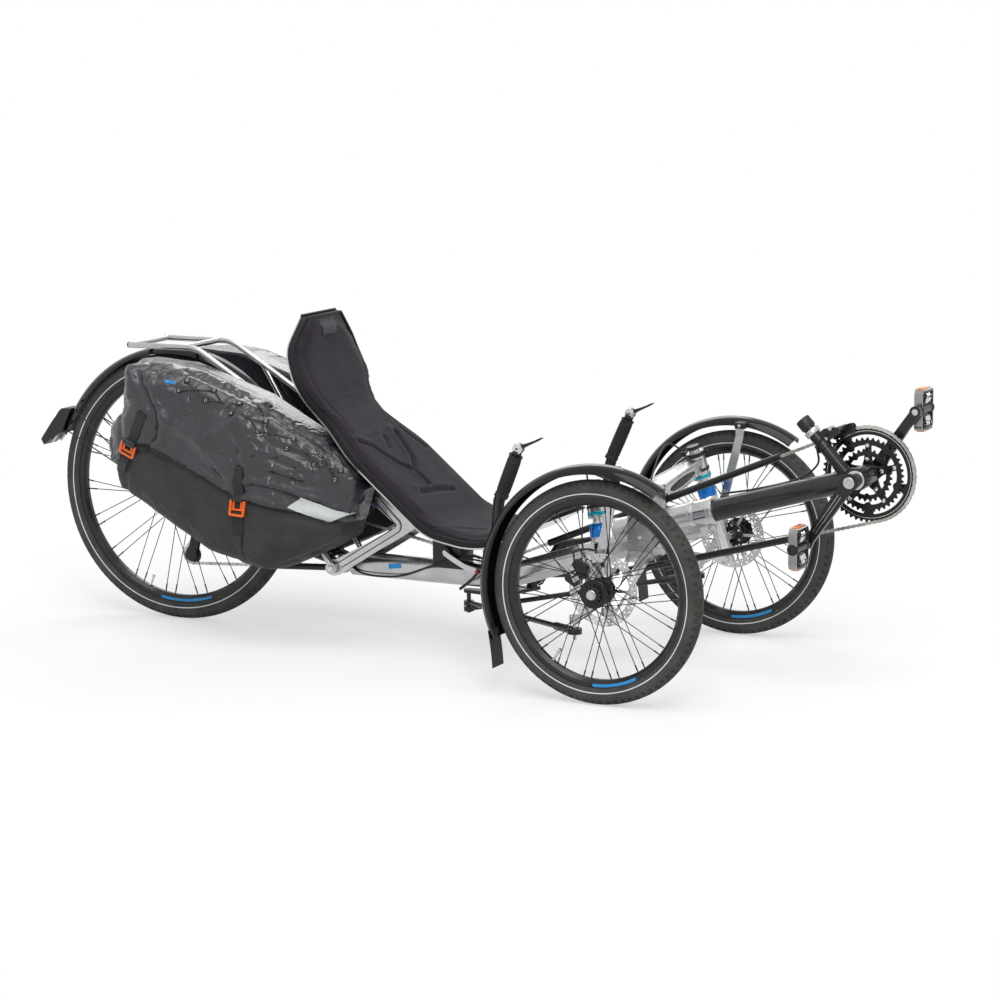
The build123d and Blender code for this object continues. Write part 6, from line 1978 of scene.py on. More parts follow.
@dataclass
class Cockpit:
    """Grips, bar-end shifters and the housings along the two steering arms.

    Attributes:
        top: Top of a grip as (ahead, out, up) in millimetres.
        low: A lower place on the same straight.
        arm: The bend points of a steering arm.
    """

    top: Point3 = (-239, 296, 515)
    low: Point3 = (-285, 288, 408)
    arm: tuple[Point3, ...] = ((-391, 88, 152), (-385, 104, 152), (-358, 165, 226), (-306, 280, 222),
                               (-285, 288, 408), (-239, 296, 515))

    def build(self) -> None:
        """Make both sides."""
        grips = Part("ribbed_grips", Look.GRIP, "steering_bar", "grip_rubber", ("grips",), sharp=34)
        pods = Part("shifter_bodies", Look.BLACK_METAL, "steering_bar", "black_metal", sharp=32)
        pivots = Part("shifter_pivots", Look.STEEL, "steering_bar", "steel", ("bar_end_controls",), sharp=32)
        lines = Part("bar_housings", Look.CABLE, "steering_bar", "black_plastic")
        rings = Part("grip_clamps", Look.BLACK_METAL, "steering_bar", "black_metal", sharp=32)
        for side in Side:
            self._grip(grips, rings, side)
            self._pod(pods, pivots, side)
            self._housing(lines, side)
        for part in (grips, pods, pivots, lines, rings):
            part.done()

    def _axis(self, side: Side) -> tuple[Vector, Vector]:
        """The top of a grip and the way down along it."""
        top = at(self.top[0], side.value * self.top[1], self.top[2])
        low = at(self.low[0], side.value * self.low[1], self.low[2])
        return top, (low - top).normalized()

    def _grip(self, grips: Part, rings: Part, side: Side) -> None:
        """A rubber grip with flanges and rows of ribs, and its clamp ring."""
        top, down = self._axis(side)
        stations = spread(0.0, 1.0, 101)
        widths = []
        for share in stations:
            rib = 0.05 if 0.09 < share < 0.9 and int(share * 100) % 4 < 2 else 0.0
            flange = 0.1 * max(0.0, 1 - share / 0.05) + 0.1 * max(0.0, 1 - (1 - share) / 0.04)
            palm = 0.035 * math.sin(math.pi * share)
            widths.append(0.86 + rib + flange + palm)
        grips.tube([top + down * (0.002 + 0.098 * s) for s in stations], 0.0168, 28, widths)
        clamp = top + down * 0.1035
        rings.drum(clamp, down, 0.0152, 0.007, 32, bevel=0.001)
        out = down.orthogonal().normalized()
        rings.drum(clamp + out * 0.0155, out, 0.0024, 0.003, 6)

    def _pod(self, pods: Part, pivots: Part, side: Side) -> None:
        """A shifter body with its pivot drum, bolt and thin blade."""
        top, down = self._axis(side)
        pods.tube([top - down * s for s in (0.0, 0.002, 0.010, 0.013, 0.0145)], 0.0108, 24, [0.94, 1, 1, 0.9, 0.7])
        hub = top - down * 0.016
        across = LEFTWARD
        pivots.drum(hub, across, 0.0118, 0.0172, 28, bevel=0.0012)
        for sign in (-1, 1):
            pivots.drum(hub + across * sign * 0.0092, across, 0.0062, 0.0022, 20, bevel=0.0005)
            pods.drum(hub + across * sign * 0.0107, across, 0.0028, 0.0012, 6)
        pods.drum(hub, across, 0.0124, 0.005, 28, bevel=0.001)
        base = top - down * 0.019
        outline = [(-5, -4), (2, 5), (22, 11), (44, 19.5), (56, 24.5), (57.5, 22.5), (46, 15.5), (24, 5), (6, -5)]
        pods.slab([base + Vector((x * MM, -0.006, z * MM)) for x, z in outline], Vector((0, 0.012, 0)), 0.0009)
        pods.block(base + Vector((0.050, 0, 0.021)), (0.012, 0.015, 0.003), Matrix.Rotation(-0.42, 3, "Y"), 0.001)

    def _housing(self, lines: Part, side: Side) -> None:
        """A shift housing clipped along the arm, from under the grip down to the steering plate."""
        sign = side.value
        rows = [at(x, sign * y, z) for x, y, z in reversed(self.arm)]
        path = round_path(rows, [0.080, 0.034, 0.022, 0.014], 7)
        run = []
        for index, point in enumerate(path[:-2]):
            if (point - rows[0]).length < 0.106:
                continue
            run.append(point + heading(path, index).cross(Vector((0, sign, 0))).normalized() * 0.0138)
        lines.tube(smooth_path([*run[::3], run[-1]], 5), 0.0022, 8)
        for share in (0.3, 0.52, 0.72):
            index = int(share * (len(path) - 1))
            lines.drum(path[index], path[index] - path[index - 1], 0.0124, 0.007, 20, bevel=0.001)


# ---------------------------------------------------------------- frame and running gear


def kingpin(side: Side, up: float) -> Vector:
    """A point on a wheel's steering axis at a height in millimetres."""
    lean = (up - FRONT_AXLE_Z_MM) * math.tan(math.radians(KINGPIN_DEG))
    return at(KINGPIN_MM[0] - lean, side.value * (KINGPIN_MM[1] - lean), up)


@dataclass
class FrontEnd:
    """Fenders, struts, towers, brakes and hub caps of one front wheel.

    Attributes:
        side: Which wheel.
        radius: Outer radius of the fender in millimetres.
        span: First and last angle of the fender in degrees.
    """

    side: Side
    radius: float = 279.0
    span: Point2 = (57.0, 206.0)

    def build(self) -> None:
        """Make every piece."""
        self.sign = self.side.value
        self.hub = at(0, self.sign * HALF_TRACK_MM, FRONT_AXLE_Z_MM)
        self.carrier = f"carrier_{self.side.word}"
        self.wheel = f"front_wheel_{self.side.word}"
        self.axis = (kingpin(self.side, 460) - kingpin(self.side, 300)).normalized()
        self.fender()
        self.stay()
        self.strut()
        self.tower()
        self.brake()
        self.hub_end()

    def piece(self, name: str, look: Look, body: str, slot: str, nodes: tuple[str, ...] = (),
              sharp: float = 35.0) -> Part:
        """Start a piece of this side; its name and its nodes' names end in the side's word.

        Args:
            name: The piece's name without the side.
            look: Its finish.
            body: The body that it rides on.
            slot: The record's material slot.
            nodes: Solids that it stands for, without the side.
            sharp: Degrees above which an edge stays sharp.

        Returns:
            The piece under construction.
        """
        word = self.side.word
        return Part(f"{name}_{word}", look, body, slot, tuple(f"{node}_{word}" for node in nodes), sharp)

    def fender(self) -> None:
        """A glossy crowned fender with rolled edges, and its rubber flap."""
        part = self.piece("fender_skin", Look.FENDER, self.carrier, "fender_black", ("front_fender",), sharp=50)
        part.lathe(self.hub, crowned(self.radius, 29.0, 17.0), 72, start=self.span[0],
                   sweep=self.span[1] - self.span[0])
        part.done(weld=True)
        flap = self.piece("mud_flap", Look.FLAP, self.carrier, "fender_black", sharp=40)
        turn = math.radians(self.span[1] - 4)
        top = self.hub + clock(turn) * (self.radius - 7.5) * MM
        path, ways = [], []
        for share in spread(0, 1, 9):
            drop = share * 0.082
            path.append(top + Vector((0.2 * drop - 0.006 * share * share, 0, -drop)))
            ways.append(Vector((-1, 0, -0.2 - 0.1 * share)).normalized())
        flap.band(path, ways, 0.050, 0.0026)
        for left in (-16, 16):
            flap.drum(top + Vector((0.0022, left * MM, -0.008)), Vector((1, 0, 0.2)), 0.004, 0.004, 12, bevel=0.0008)
        flap.done()

    def stay(self) -> None:
        """The flat alloy stay from the knuckle over the tyre, its clamp and its bolts."""
        part = self.piece("fender_stay", Look.FORGED, self.carrier, "silver_alloy", sharp=40)
        foot = kingpin(self.side, 291) + Vector((0, self.sign * 0.0197, 0))
        crown = self.hub.z + self.radius * MM - 0.009
        ahead = self.hub.x + 0.024
        points = [foot, foot + Vector((0.006, self.sign * 0.008, 0.023)),
                  Vector((ahead, self.hub.y - self.sign * 0.042, crown - 0.034)),
                  Vector((ahead, self.hub.y - self.sign * 0.042, crown - 0.004))]
        path = round_path(points, [0.012, 0.012], 5)
        part.band(path, [Vector((0, -self.sign, 0.15))] * len(path), 0.020, 0.0038)
        part.done()
        grip = self.piece("stay_clamp", Look.PLASTIC, self.carrier, "black_plastic", sharp=40)
        top = Vector((ahead, self.hub.y - self.sign * 0.036, crown - 0.008))
        grip.block(top, (0.026, 0.017, 0.015), None, 0.002)
        grip.block(top + Vector((0, self.sign * 0.016, 0.0065)), (0.020, 0.028, 0.0035), None, 0.001)
        grip.block(points[0] + Vector((0.001, self.sign * 0.001, 0.006)), (0.022, 0.006, 0.020), None, 0.0015)
        grip.done()
        bolts = self.piece("stay_bolts", Look.STEEL, self.carrier, "steel", sharp=30)
        for spot in (top + Vector((0, -self.sign * 0.0095, 0)), points[0] + Vector((0.001, self.sign * 0.005, 0.006))):
            bolts.drum(spot, LEFTWARD, 0.0042, 0.004, 6, bevel=0.0005)
        bolts.done()

    def strut(self) -> None:
        """Rubber bellows, bright collars and coloured rings along the strut."""
        boots = self.piece("strut_bellows", Look.FLAP, self.carrier, "black_plastic", sharp=60)
        stations = spread(302, 334, 29)
        boots.tube([kingpin(self.side, z) for z in stations], 0.0172, 28,
                   [0.9 + 0.1 * math.cos(i * math.pi / 2) for i in range(29)])
        boots.done()
        for name, look, z, radius, tall, body in (
                ("ring_blue", Look.BLUE, 360, 21.8, 30, self.carrier), ("ring_teal", Look.TEAL, 395, 22.5, 8, "frame"),
                ("collar_low", Look.FORGED, 341, 21.0, 8, self.carrier),
                ("nut_top", Look.BLACK_METAL, 462, 15.5, 9, self.carrier)):
            part = self.piece(f"strut_{name}", look, body, "silver_alloy", sharp=30)
            part.drum(kingpin(self.side, z), self.axis, radius * MM, tall * MM, 40, bevel=0.0012)
            part.done()

    def tower(self) -> None:
        """A dark sheet as painted shade of the pocket, ribs, clamp band, bolts and hose on the suspension tower."""
        band = self.piece("tower_clamp", Look.BLACK_METAL, "frame", "black_metal", sharp=32)
        for z, tall in ((446, 10), (410, 7)):
            band.drum(kingpin(self.side, z), self.axis, 0.0232, tall * MM, 40, bevel=0.0014)
        ear = kingpin(self.side, 446) + Vector((-0.026, 0, -0.002))
        band.block(ear, (0.014, 0.016, 0.012), None, 0.002)
        band.done()
        web = self.piece("tower_ribs", Look.FORGED, "frame", "silver_alloy", sharp=40)
        root, tip = at(-60, self.sign * 40, 387), kingpin(self.side, 420)
        for up, forward in ((0.021, -0.026), (0.021, 0.026), (-0.021, -0.026), (-0.021, 0.026)):
            start = root + Vector((forward, 0, up))
            stop = tip + Vector((forward * 0.5, -self.sign * 0.016, up * 0.7))
            web.tube([start.lerp(stop, s) for s in (0.0, 0.5, 1.0)], 0.0036, 10)
        web.done()
        # Painted shade: a thin black sheet on each face of the tower stands in for the shade in its recessed pocket.
        pocket_shade = self.piece("tower_pocket", Look.PLASTIC, "frame", "black_plastic", sharp=40)
        for face in (-1, 1):
            outline = []
            for angle in spread(0, 2 * math.pi * 23 / 24, 24):
                share = 0.46 + 0.3 * math.cos(angle)
                wide = (27 - 12 * share) * MM + 0.0004
                rise = 0.011 * math.sin(angle) * (1.1 - 0.5 * share)
                outline.append(root.lerp(tip, share) + Vector((face * wide, 0, rise)))
            pocket_shade.slab(outline, Vector((face * 0.0012, 0, 0)), 0.0004)
        pocket_shade.done()
        bolts = self.piece("tower_bolts", Look.STEEL, "frame", "steel", sharp=30)
        plate = [at(x, self.sign * 34.6, z) for x, z in ((-60, 300), (-60, 340), (-76, 262), (-44, 262))]
        for spot in (ear + Vector((0, self.sign * 0.009, 0)), *plate):
            bolts.drum(spot, Vector((0, self.sign, 0)), 0.0052, 0.0052, 6, bevel=0.0006)
        bolts.done()
        hose = self.piece("tower_hose", Look.CABLE, "frame", "black_plastic")
        low = kingpin(self.side, 452) + Vector((-0.02, -self.sign * 0.012, 0))
        rows = [at(-70, self.sign * 36, 404), low + Vector((-0.02, -self.sign * 0.10, 0.004)),
                low + Vector((-0.022, -self.sign * 0.04, 0.022)), low]
        hose.tube(smooth_path(rows, 8), 0.0021, 8)
        hose.done()

    def brake(self) -> None:
        """Disc carrier with rivets, and the caliper's bolts, fins and hose end."""
        disc = Vector((self.hub.x, self.hub.y - self.sign * 0.028, self.hub.z))
        spider = self.piece("disc_carrier", Look.BLACK_METAL, self.wheel, "black_metal", sharp=32)
        spider.lathe(disc, section(((8.5, -4.4), (26, -4.4), (28, -3), (28, -1.2), (8.5, -1.2)), self.sign), 40)
        spider.done(weld=True)
        rivets = self.piece("disc_rivets", Look.STEEL, self.wheel, "steel", sharp=30)
        for index in range(6):
            turn = 2 * math.pi * (index + 0.5) / 6
            spot = disc + clock(turn) * 0.022 - Vector((0, self.sign * 0.0052, 0))
            rivets.drum(spot, Vector((0, self.sign, 0)), 0.0036, 0.0022, 10, bevel=0.0004)
        rivets.done()
        centre = Vector((self.hub.x - 0.062, disc.y, self.hub.z + 0.034))
        turned = Matrix.Rotation(math.radians(-30), 3, "Y")
        trim = self.piece("caliper_fins", Look.PLASTIC, self.carrier, "black_plastic", sharp=40)
        for index in range(5):
            spot = centre + turned @ Vector((0, -self.sign * 0.0142, (index - 2) * 0.0088))
            trim.block(spot, (0.026, 0.0035, 0.0034), turned, 0.0008)
        trim.done()
        badge = self.piece("caliper_faces", Look.FORGED, self.carrier, "silver_alloy", sharp=40)
        for up, long in ((-0.012, 0.010), (0.012, 0.010), (0.0, 0.006)):
            spot = centre + turned @ Vector((-0.005, self.sign * 0.0104, up))
            badge.block(spot, (0.016, 0.0007, long), turned, 0.0002)
        badge.done()
        bolts = self.piece("caliper_bolts", Look.STEEL, self.carrier, "steel", sharp=30)
        for up in (-0.0245, 0.0245):
            for out, long in ((-0.0142, 0.004), (0.0098, 0.0011)):
                spot = centre + turned @ Vector((0.004, self.sign * out, up))
                bolts.drum(spot, LEFTWARD, 0.0036, long, 6, bevel=0.0004)
        bolts.done()
        hose = self.piece("brake_hose", Look.CABLE, self.carrier, "black_plastic")
        start = centre + turned @ Vector((0.0, -self.sign * 0.012, 0.024))
        stop = kingpin(self.side, 318) + Vector((-0.018, 0, 0))
        hose.tube(smooth_path([start, start + Vector((-0.006, -self.sign * 0.014, 0.02)),
                               stop + Vector((-0.014, self.sign * 0.012, 0.004)), stop], 7), 0.0022, 8)
        hose.done()

    def hub_end(self) -> None:
        """A ribbed dark cap with the bright axle end, and the rim's valve."""
        cap = self.piece("hub_cap", Look.BLACK_METAL, self.wheel, "black_metal", sharp=30)

        def ribbed(angle: float) -> float:
            """Radius of the ribbed edge."""
            return (20.0 + 1.8 * max(min(math.sin(angle * 14) * 2.5, 1.0), -1.0)) * MM

        cap.plate(self.hub + Vector((0, self.sign * 0.0285, 0)), ribbed, lambda angle: 0.0068, 0.006, 168)
        cap.done(weld=True)
        end = self.piece("axle_end", Look.FORGED, self.wheel, "silver_alloy", sharp=30)
        nut = ((3.2, -0.5), (11, -0.5), (11, 1.2), (9.8, 2.4), (6, 2.4), (4.6, 0.8), (3.2, 0.8))
        end.lathe(self.hub + Vector((0, self.sign * 0.033, 0)), section(nut, self.sign), 36)
        end.done(weld=True)
        valve(self.wheel, self.hub, 190.0, self.side.word, 236)


def crowned(radius: float, half: float, crown: float) -> list[Point2]:
    """The closed section of a fender with rolled edges, (radius, left) in metres, from sizes in millimetres.

    Args:
        radius: Its radius at the middle.
        half: Half its width.
        crown: How far its edges lie lower than its middle.

    Returns:
        The outer side, one rolled edge, the inner side and the other edge.
    """
    bow = 0.93
    outer, inner = [], []
    for share in spread(-1.0, 1.0, 17):
        drop = crown * (1 - math.sqrt(1 - (share * bow) ** 2)) / (1 - math.sqrt(1 - bow ** 2))
        outer.append((radius - drop, half * share))
        inner.append((radius - drop - 2.2, (half - 0.9) * share))
    roll = [(radius - crown - 1.0, half + 0.8), (radius - crown - 2.6, half + 0.5)]
    return section(outer + roll + inner[::-1] + [(r, -y) for r, y in reversed(roll)])


def valve(body: str, hub: Vector, reach: float, word: str, angle: float) -> None:
    """A valve stem with its cap, pointing from the rim at the hub.

    Args:
        body: The wheel that it turns with.
        hub: The wheel's middle.
        reach: Radius of the rim's inner edge in millimetres.
        word: Which wheel.
        angle: Where it stands, in degrees from straight ahead.
    """
    out = clock(math.radians(angle))
    part = Part(f"valve_{word}", Look.STEEL, body, "steel")
    part.drum(hub + out * (reach - 12) * MM, out, 0.0026, 0.026, 12)
    part.drum(hub + out * (reach - 26) * MM, out, 0.0032, 0.010, 12, 0.0038)
    part.drum(hub + out * (reach - 2) * MM, out, 0.0048, 0.002, 6)
    part.done()


@dataclass
class RearEnd:
    """Rear fender, light, shock, rack and swingarm fittings.

    Attributes:
        low: The shock's lower eye as (ahead, up) in millimetres.
        high: Its upper eye.
    """

    low: Point2 = (-866.0, 228.0)
    high: Point2 = SHOCK_TOP_MM

    def build(self) -> None:
        """Make every piece."""
        self.fender()
        self.light()
        self.shock()
        self.fittings()
        valve("rear_wheel", at(*REAR_HUB_MM), 270.0, "rear", 250)

    def fender(self) -> None:
        """The rear fender, and black wire stays from the axle's ends to its edges."""
        hub = at(*REAR_HUB_MM)
        part = Part("fender_skin_rear", Look.FENDER, "frame", "fender_black", ("rear_fender",), sharp=50)
        part.lathe(hub, crowned(346.0, 30.0, 14.0), 72, start=22.0, sweep=138.0)
        part.done(weld=True)
        wires = Part("fender_wires", Look.BLACK_METAL, "frame", "black_metal", sharp=40)
        for sign in (-1, 1):
            eye = at(REAR_HUB_MM[0], sign * 83.5, REAR_HUB_MM[2])
            wires.drum(eye, LEFTWARD, 0.0135, 0.0065, 32, bevel=0.0008)
            for angle in (148.0, 158.0):
                turn = math.radians(angle)
                reach = 330
                rim = at(REAR_HUB_MM[0] + reach * math.cos(turn), sign * 29, REAR_HUB_MM[2] + reach * math.sin(turn))
                foot = at(REAR_HUB_MM[0] - 8, sign * 84.6, REAR_HUB_MM[2])
                wires.tube([foot, foot.lerp(rim, 0.5), rim], 0.0016, 10)
                wires.drum(rim, LEFTWARD, 0.0042, 0.006, 6)
        wires.done()

    def light(self) -> None:
        """The tail lamp's red lens, its bright rim and the flap's bolts."""
        lens = Part("tail_lens", Look.RED, "frame", "lamp_red", sharp=40)
        rim = Part("tail_lens_rim", Look.FORGED, "frame", "silver_alloy", sharp=40)
        way = Vector((-0.80, 0, 0.60)).normalized()
        turned = way.to_track_quat("Z", "Y").to_matrix()
        spot = at(REAR_HUB_MM[0] - 340, 0, REAR_HUB_MM[2] + 163)
        lens.block(spot + way * 0.0005, (0.036, 0.020, 0.008), turned, 0.002, 3)
        rim.block(spot - way * 0.0012, (0.042, 0.026, 0.006), turned, 0.002)
        for left in (-18, 18):
            rim.drum(at(REAR_HUB_MM[0] - 352, left, REAR_HUB_MM[2] + 103), Vector((0.6, 0, 0.8)), 0.0036, 0.030, 10,
                     bevel=0.0005)
        lens.done()
        rim.done()

    def shock(self) -> None:
        """Air can, bright shaft, blue band, bellows, eyelets, reservoir and hose of the rear shock."""
        low, high = at(self.low[0], 0, self.low[1]), at(self.high[0], 0, self.high[1])
        run = high - low
        can = Part("shock_can", Look.BLACK_METAL, "frame", "black_metal", ("rear_shock",), sharp=30)
        shares = (0.1, 0.12, 0.14, 0.2, 0.205, 0.26, 0.265, 0.48, 0.5, 0.52)
        can.tube([low + run * s for s in shares], 0.019, 40, [0.5, 0.8, 0.97, 1, 0.95, 0.95, 1, 1, 0.97, 0.86])
        can.tube([low + run * s for s in (0.76, 0.775, 0.85, 0.87)], 0.017, 36, [0.9, 1, 1, 0.86])
        for spot, reach in ((low, 0.0102), (high, 0.0132)):
            can.drum(spot, LEFTWARD, reach, 0.020, 32, bevel=0.001)
        can.done()
        for name, look, start, stop, radius in (("shock_shaft", Look.STEEL, 0.5, 0.78, 0.0095),
                                                ("shock_neck_low", Look.FORGED, 0.05, 0.13, 0.008),
                                                ("shock_neck_high", Look.FORGED, 0.86, 0.95, 0.008),
                                                ("shock_blue_band", Look.BLUE, 0.30, 0.42, 0.0196),
                                                ("shock_dial", Look.BLUE, 0.79, 0.83, 0.0176)):
            part = Part(name, look, "frame", "silver_alloy", sharp=30)
            part.drum(low + run * (start + stop) / 2, run, radius, run.length * (stop - start), 36, bevel=0.0008)
            part.done()
        boot = Part("shock_bellows", Look.FLAP, "frame", "black_plastic", sharp=60)
        stations = spread(0.53, 0.75, 33)
        boot.tube([low + run * s for s in stations], 0.0138, 28,
                  [0.92 + 0.08 * math.cos(i * math.pi / 2) for i in range(33)])
        boot.done()
        tank = Part("shock_reservoir", Look.BLUE, "frame", "silver_alloy", sharp=30)
        x, y = -800, -24
        tank.drum(at(x, y, 338), UPWARD, 0.0125, 0.046, 32, bevel=0.0012)
        tank.done()
        ends = Part("shock_reservoir_ends", Look.BLACK_METAL, "frame", "black_metal", sharp=30)
        for up in (313, 364):
            ends.drum(at(x, y, up), UPWARD, 0.0132, 0.009, 32, bevel=0.002)
        hose = [at(x, y, 366), at(-798, y, 384), at(-776, -16, 386), at(-764, -8, 352), at(-768, -4, 336)]
        ends.tube(smooth_path(hose, 7), 0.0028, 8)
        ends.done()
        nipple = Part("shock_valve", Look.STEEL, "frame", "steel", sharp=30)
        nipple.drum(low + run * 0.23 + Vector((0, -0.0195, 0)), LEFTWARD, 0.0042, 0.006, 16, bevel=0.0006)
        nipple.done()

    def fittings(self) -> None:
        """Bolts and caps at the pivots, and the axle's nuts."""
        part = Part("rear_bolts", Look.STEEL, "frame", "steel", sharp=30)
        for sign in (-1, 1):
            for (x, z), y, radius in ((PIVOT_MM, 87.4, 7.5), (SHOCK_TOP_MM, 73.4, 6.5)):
                part.drum(at(x, sign * y, z), LEFTWARD, radius * MM, 0.0028, 24, bevel=0.0008)
                part.drum(at(x, sign * (y + 1.6), z), LEFTWARD, radius * 0.55 * MM, 0.0012, 6)
            part.drum(at(REAR_HUB_MM[0], sign * 88.0, REAR_HUB_MM[2]), LEFTWARD, 0.0085, 0.005, 6, bevel=0.0006)
        part.done()
        caps = Part("rack_rail_caps", Look.PLASTIC, "frame", "black_plastic", sharp=40)
        for sign in (-1, 1):
            caps.drum(at(-1391.5, sign * 80, 682), Vector((1, 0, 0)), 0.0072, 0.004, 20, bevel=0.001)
        caps.done()


@dataclass
class Frame:
    """Small fittings of the main frame: sleeve clamp, lever, cables, mark, welds and post ring."""

    def build(self, frame: dict) -> None:
        """Make every piece.

        Args:
            frame: The loaded frame.
        """
        self.tree = surface_tree(frame["nodes"]["main_frame"])
        self.sleeve()
        self.seat_lever()
        self.cables()
        self.marks()
        self.welds()
        self.brackets()
        self.post()

    def boom(self, x: float) -> Vector:
        """A point on the boom's axis, x millimetres ahead of the front axle line."""
        return at(x, 0, BB_MM[1] + (x - BB_MM[0]) * math.tan(math.radians(BOOM_DEG)))

    def sleeve(self) -> None:
        """Clamp collars with bolts, and the dark slot along the sleeve."""
        way = clock(math.radians(BOOM_DEG))
        turned = Matrix.Rotation(-math.radians(BOOM_DEG), 3, "Y")
        band = Part("boom_clamps", Look.FORGED, "frame", "frame_silver", sharp=30)
        bolts = Part("boom_clamp_bolts", Look.STEEL, "frame", "steel", sharp=30)
        for x, wide in ((104, 15), (60, 13)):
            band.drum(self.boom(x), way, 0.0332, wide * MM, 56, bevel=0.0012)
            for side in (-1, 1):
                lug = self.boom(x) + Vector((0, side * 0.008, -0.0375))
                band.block(lug, (wide * MM * 0.9, 0.010, 0.015), turned, 0.0016)
            bolts.drum(self.boom(x) + Vector((0, 0, -0.040)), LEFTWARD, 0.0036, 0.032, 6, bevel=0.0005)
        band.done()
        bolts.done()
        slot = Part("sleeve_slots", Look.PLASTIC, "frame", "black_plastic")
        for side in (-1, 1):
            for up in (-0.008, 0.008):
                slot.block(self.boom(82) + Vector((0, side * 0.0300, up)), (0.030, 0.0024, 0.0022), turned, 0.0005)
        slot.done()

    def seat_lever(self) -> None:
        """A quick-release lever and its knurled nut through the seat clamp."""
        lever = Part("seat_lever", Look.BLACK_METAL, "frame", "black_metal", sharp=36)
        blade = Part("seat_lever_blade", Look.FORGED, "frame", "silver_alloy", sharp=36)
        for left, radius, long in ((-37, 0.0125, 0.010), (37, 0.0105, 0.009)):
            lever.drum(at(-555, left, 229), LEFTWARD, radius, long, 24, bevel=0.002)
        path = smooth_path([at(-555, -43, 228), at(-532, -46, 216), at(-498, -48, 200), at(-470, -48, 192)], 5)
        blade.band(path, [Vector((0, -1, 0))] * len(path), 0.012, 0.005)
        blade.done()
        lever.drum(at(-468, -46, 190), LEFTWARD, 0.0062, 0.007, 20, bevel=0.001)
        path = smooth_path([at(-467, -44, 189), at(-486, -45, 168), at(-514, -46, 146)], 6)
        lever.tube(path, 0.0036, 10)
        lever.done()
        rod = Part("seat_lever_pin", Look.STEEL, "frame", "steel", sharp=36)
        rod.drum(at(-555, -42.6, 229), LEFTWARD, 0.0055, 0.004, 6, bevel=0.0006)
        for left in (33, -33):
            rod.drum(at(-540, left, 270), LEFTWARD, 0.0052, 0.004, 6, bevel=0.0006)
        rod.done()
        red = Part("seat_lever_lock", Look.LOCK_RED, "frame", "steel", sharp=36)
        red.drum(at(-468, -50.4, 190), LEFTWARD, 0.0044, 0.003, 16, bevel=0.0006)
        red.done()

    def cables(self) -> None:
        """Housings clipped under the tube and along the boom to the front shifter."""
        part = Part("frame_housings", Look.CABLE, "frame", "black_plastic")
        rows = [at(-440, -20, 196), at(-470, -32, 214), at(-534, -37, 214), at(-600, -34, 190), at(-684, -31, 160),
                at(-780, -29, 158), at(-836, -27, 190)]
        part.tube(smooth_path(rows, 7), 0.0025, 8)
        along = [self.boom(x) + Vector((0, left, up)) for x, left, up in (
            (120, 0.012, 0.0335), (200, 0.012, 0.027), (300, 0.010, 0.0285), (352, -0.004, 0.052))]
        part.tube(smooth_path([*along, at(356, -18, 530), at(372, -20, 556)], 8), 0.0023, 8)
        part.done()
        clear = Part("clear_hose", Look.WHITE_CABLE, "frame", "silver_alloy")
        rows = [at(-30, 40, 402), at(-4, 70, 372), at(10, 96, 352), at(-20, 128, 372), at(-52, 150, 398)]
        clear.tube(smooth_path(rows, 8), 0.0016, 8)
        clear.done()

    def marks(self) -> None:
        """A plain blue badge on each side of the tube."""
        part = Part("tube_badge", Look.DECAL, "frame", "frame_silver")
        for side in (-1, 1):
            hit = self.tree.ray_cast(at(-698, side * 200, 182), Vector((0, -side, 0)))[0]
            if hit:
                part.block(hit + Vector((0, side * 0.0002, 0)), (0.034, 0.0012, 0.012), Matrix.Rotation(-0.14, 3, "Y"),
                           0.0004)
        part.done()

    def welds(self) -> None:
        """Beads where tubes and shells meet, and the bearing cups."""
        part = Part("weld_beads", Look.FORGED, "frame", "frame_silver", sharp=60)
        part.hoop(self.boom(-128), clock(math.radians(BOOM_DEG)), 0.0312, 0.0022, 48)
        for side in (-1, 1):
            part.hoop(at(PIVOT_MM[0], side * 21.5, PIVOT_MM[1]), LEFTWARD, 0.0200, 0.0016, 40)
        part.done()
        dark = Part("boom_weld", Look.BOOM_GREY, "frame", "frame_grey", sharp=60)
        for side in (-1, 1):
            dark.hoop(bottom_bracket(side * 35.2), LEFTWARD, 0.0222, 0.0012, 44)
        dark.done()
        cups = Part("bearing_cups", Look.FORGED, "frame", "silver_alloy", sharp=30)
        for side in (-1, 1):
            cup = section(((12.6, 0.2), (21, 0.2), (21, 1.6), (19, 2.6), (12.6, 2.6)), side)
            cups.lathe(bottom_bracket(side * 35), cup, 44)
        cups.done(weld=True)

    def brackets(self) -> None:
        """Raised ribs on the forgings that carry the seat, with thin black bands beside them as painted shade of
        grooves.
        """
        rib = Part("bracket_ribs", Look.FORGED, "frame", "silver_alloy", sharp=40)
        groove_shade = Part("bracket_grooves", Look.PLASTIC, "frame", "black_plastic", sharp=40)
        line = [(-818, 184), (-652, 287), (-738, 366), (-760, 446)]
        for side in (-1, 1):
            # The black bands are painted shade: thin dark strips beside the rib stand in for the shade in grooves.
            for piece, offset, width, thick in ((rib, 0.0, 0.008, 0.0036), (groove_shade, 7.0, 0.0022, 0.001),
                                                (groove_shade, -7.0, 0.0022, 0.001)):
                path = round_path([at(x, side * SEAT_BRACKET_Y_MM, z) for x, z in line], [0.012, 0.03], 6)
                moved = []
                for index, point in enumerate(path):
                    ahead = heading(path, index)
                    moved.append(point + Vector((-ahead.z, 0, ahead.x)) * offset * MM)
                piece.band(moved, [Vector((0, side, 0))] * len(moved), width, thick)
        rib.done()
        groove_shade.done()

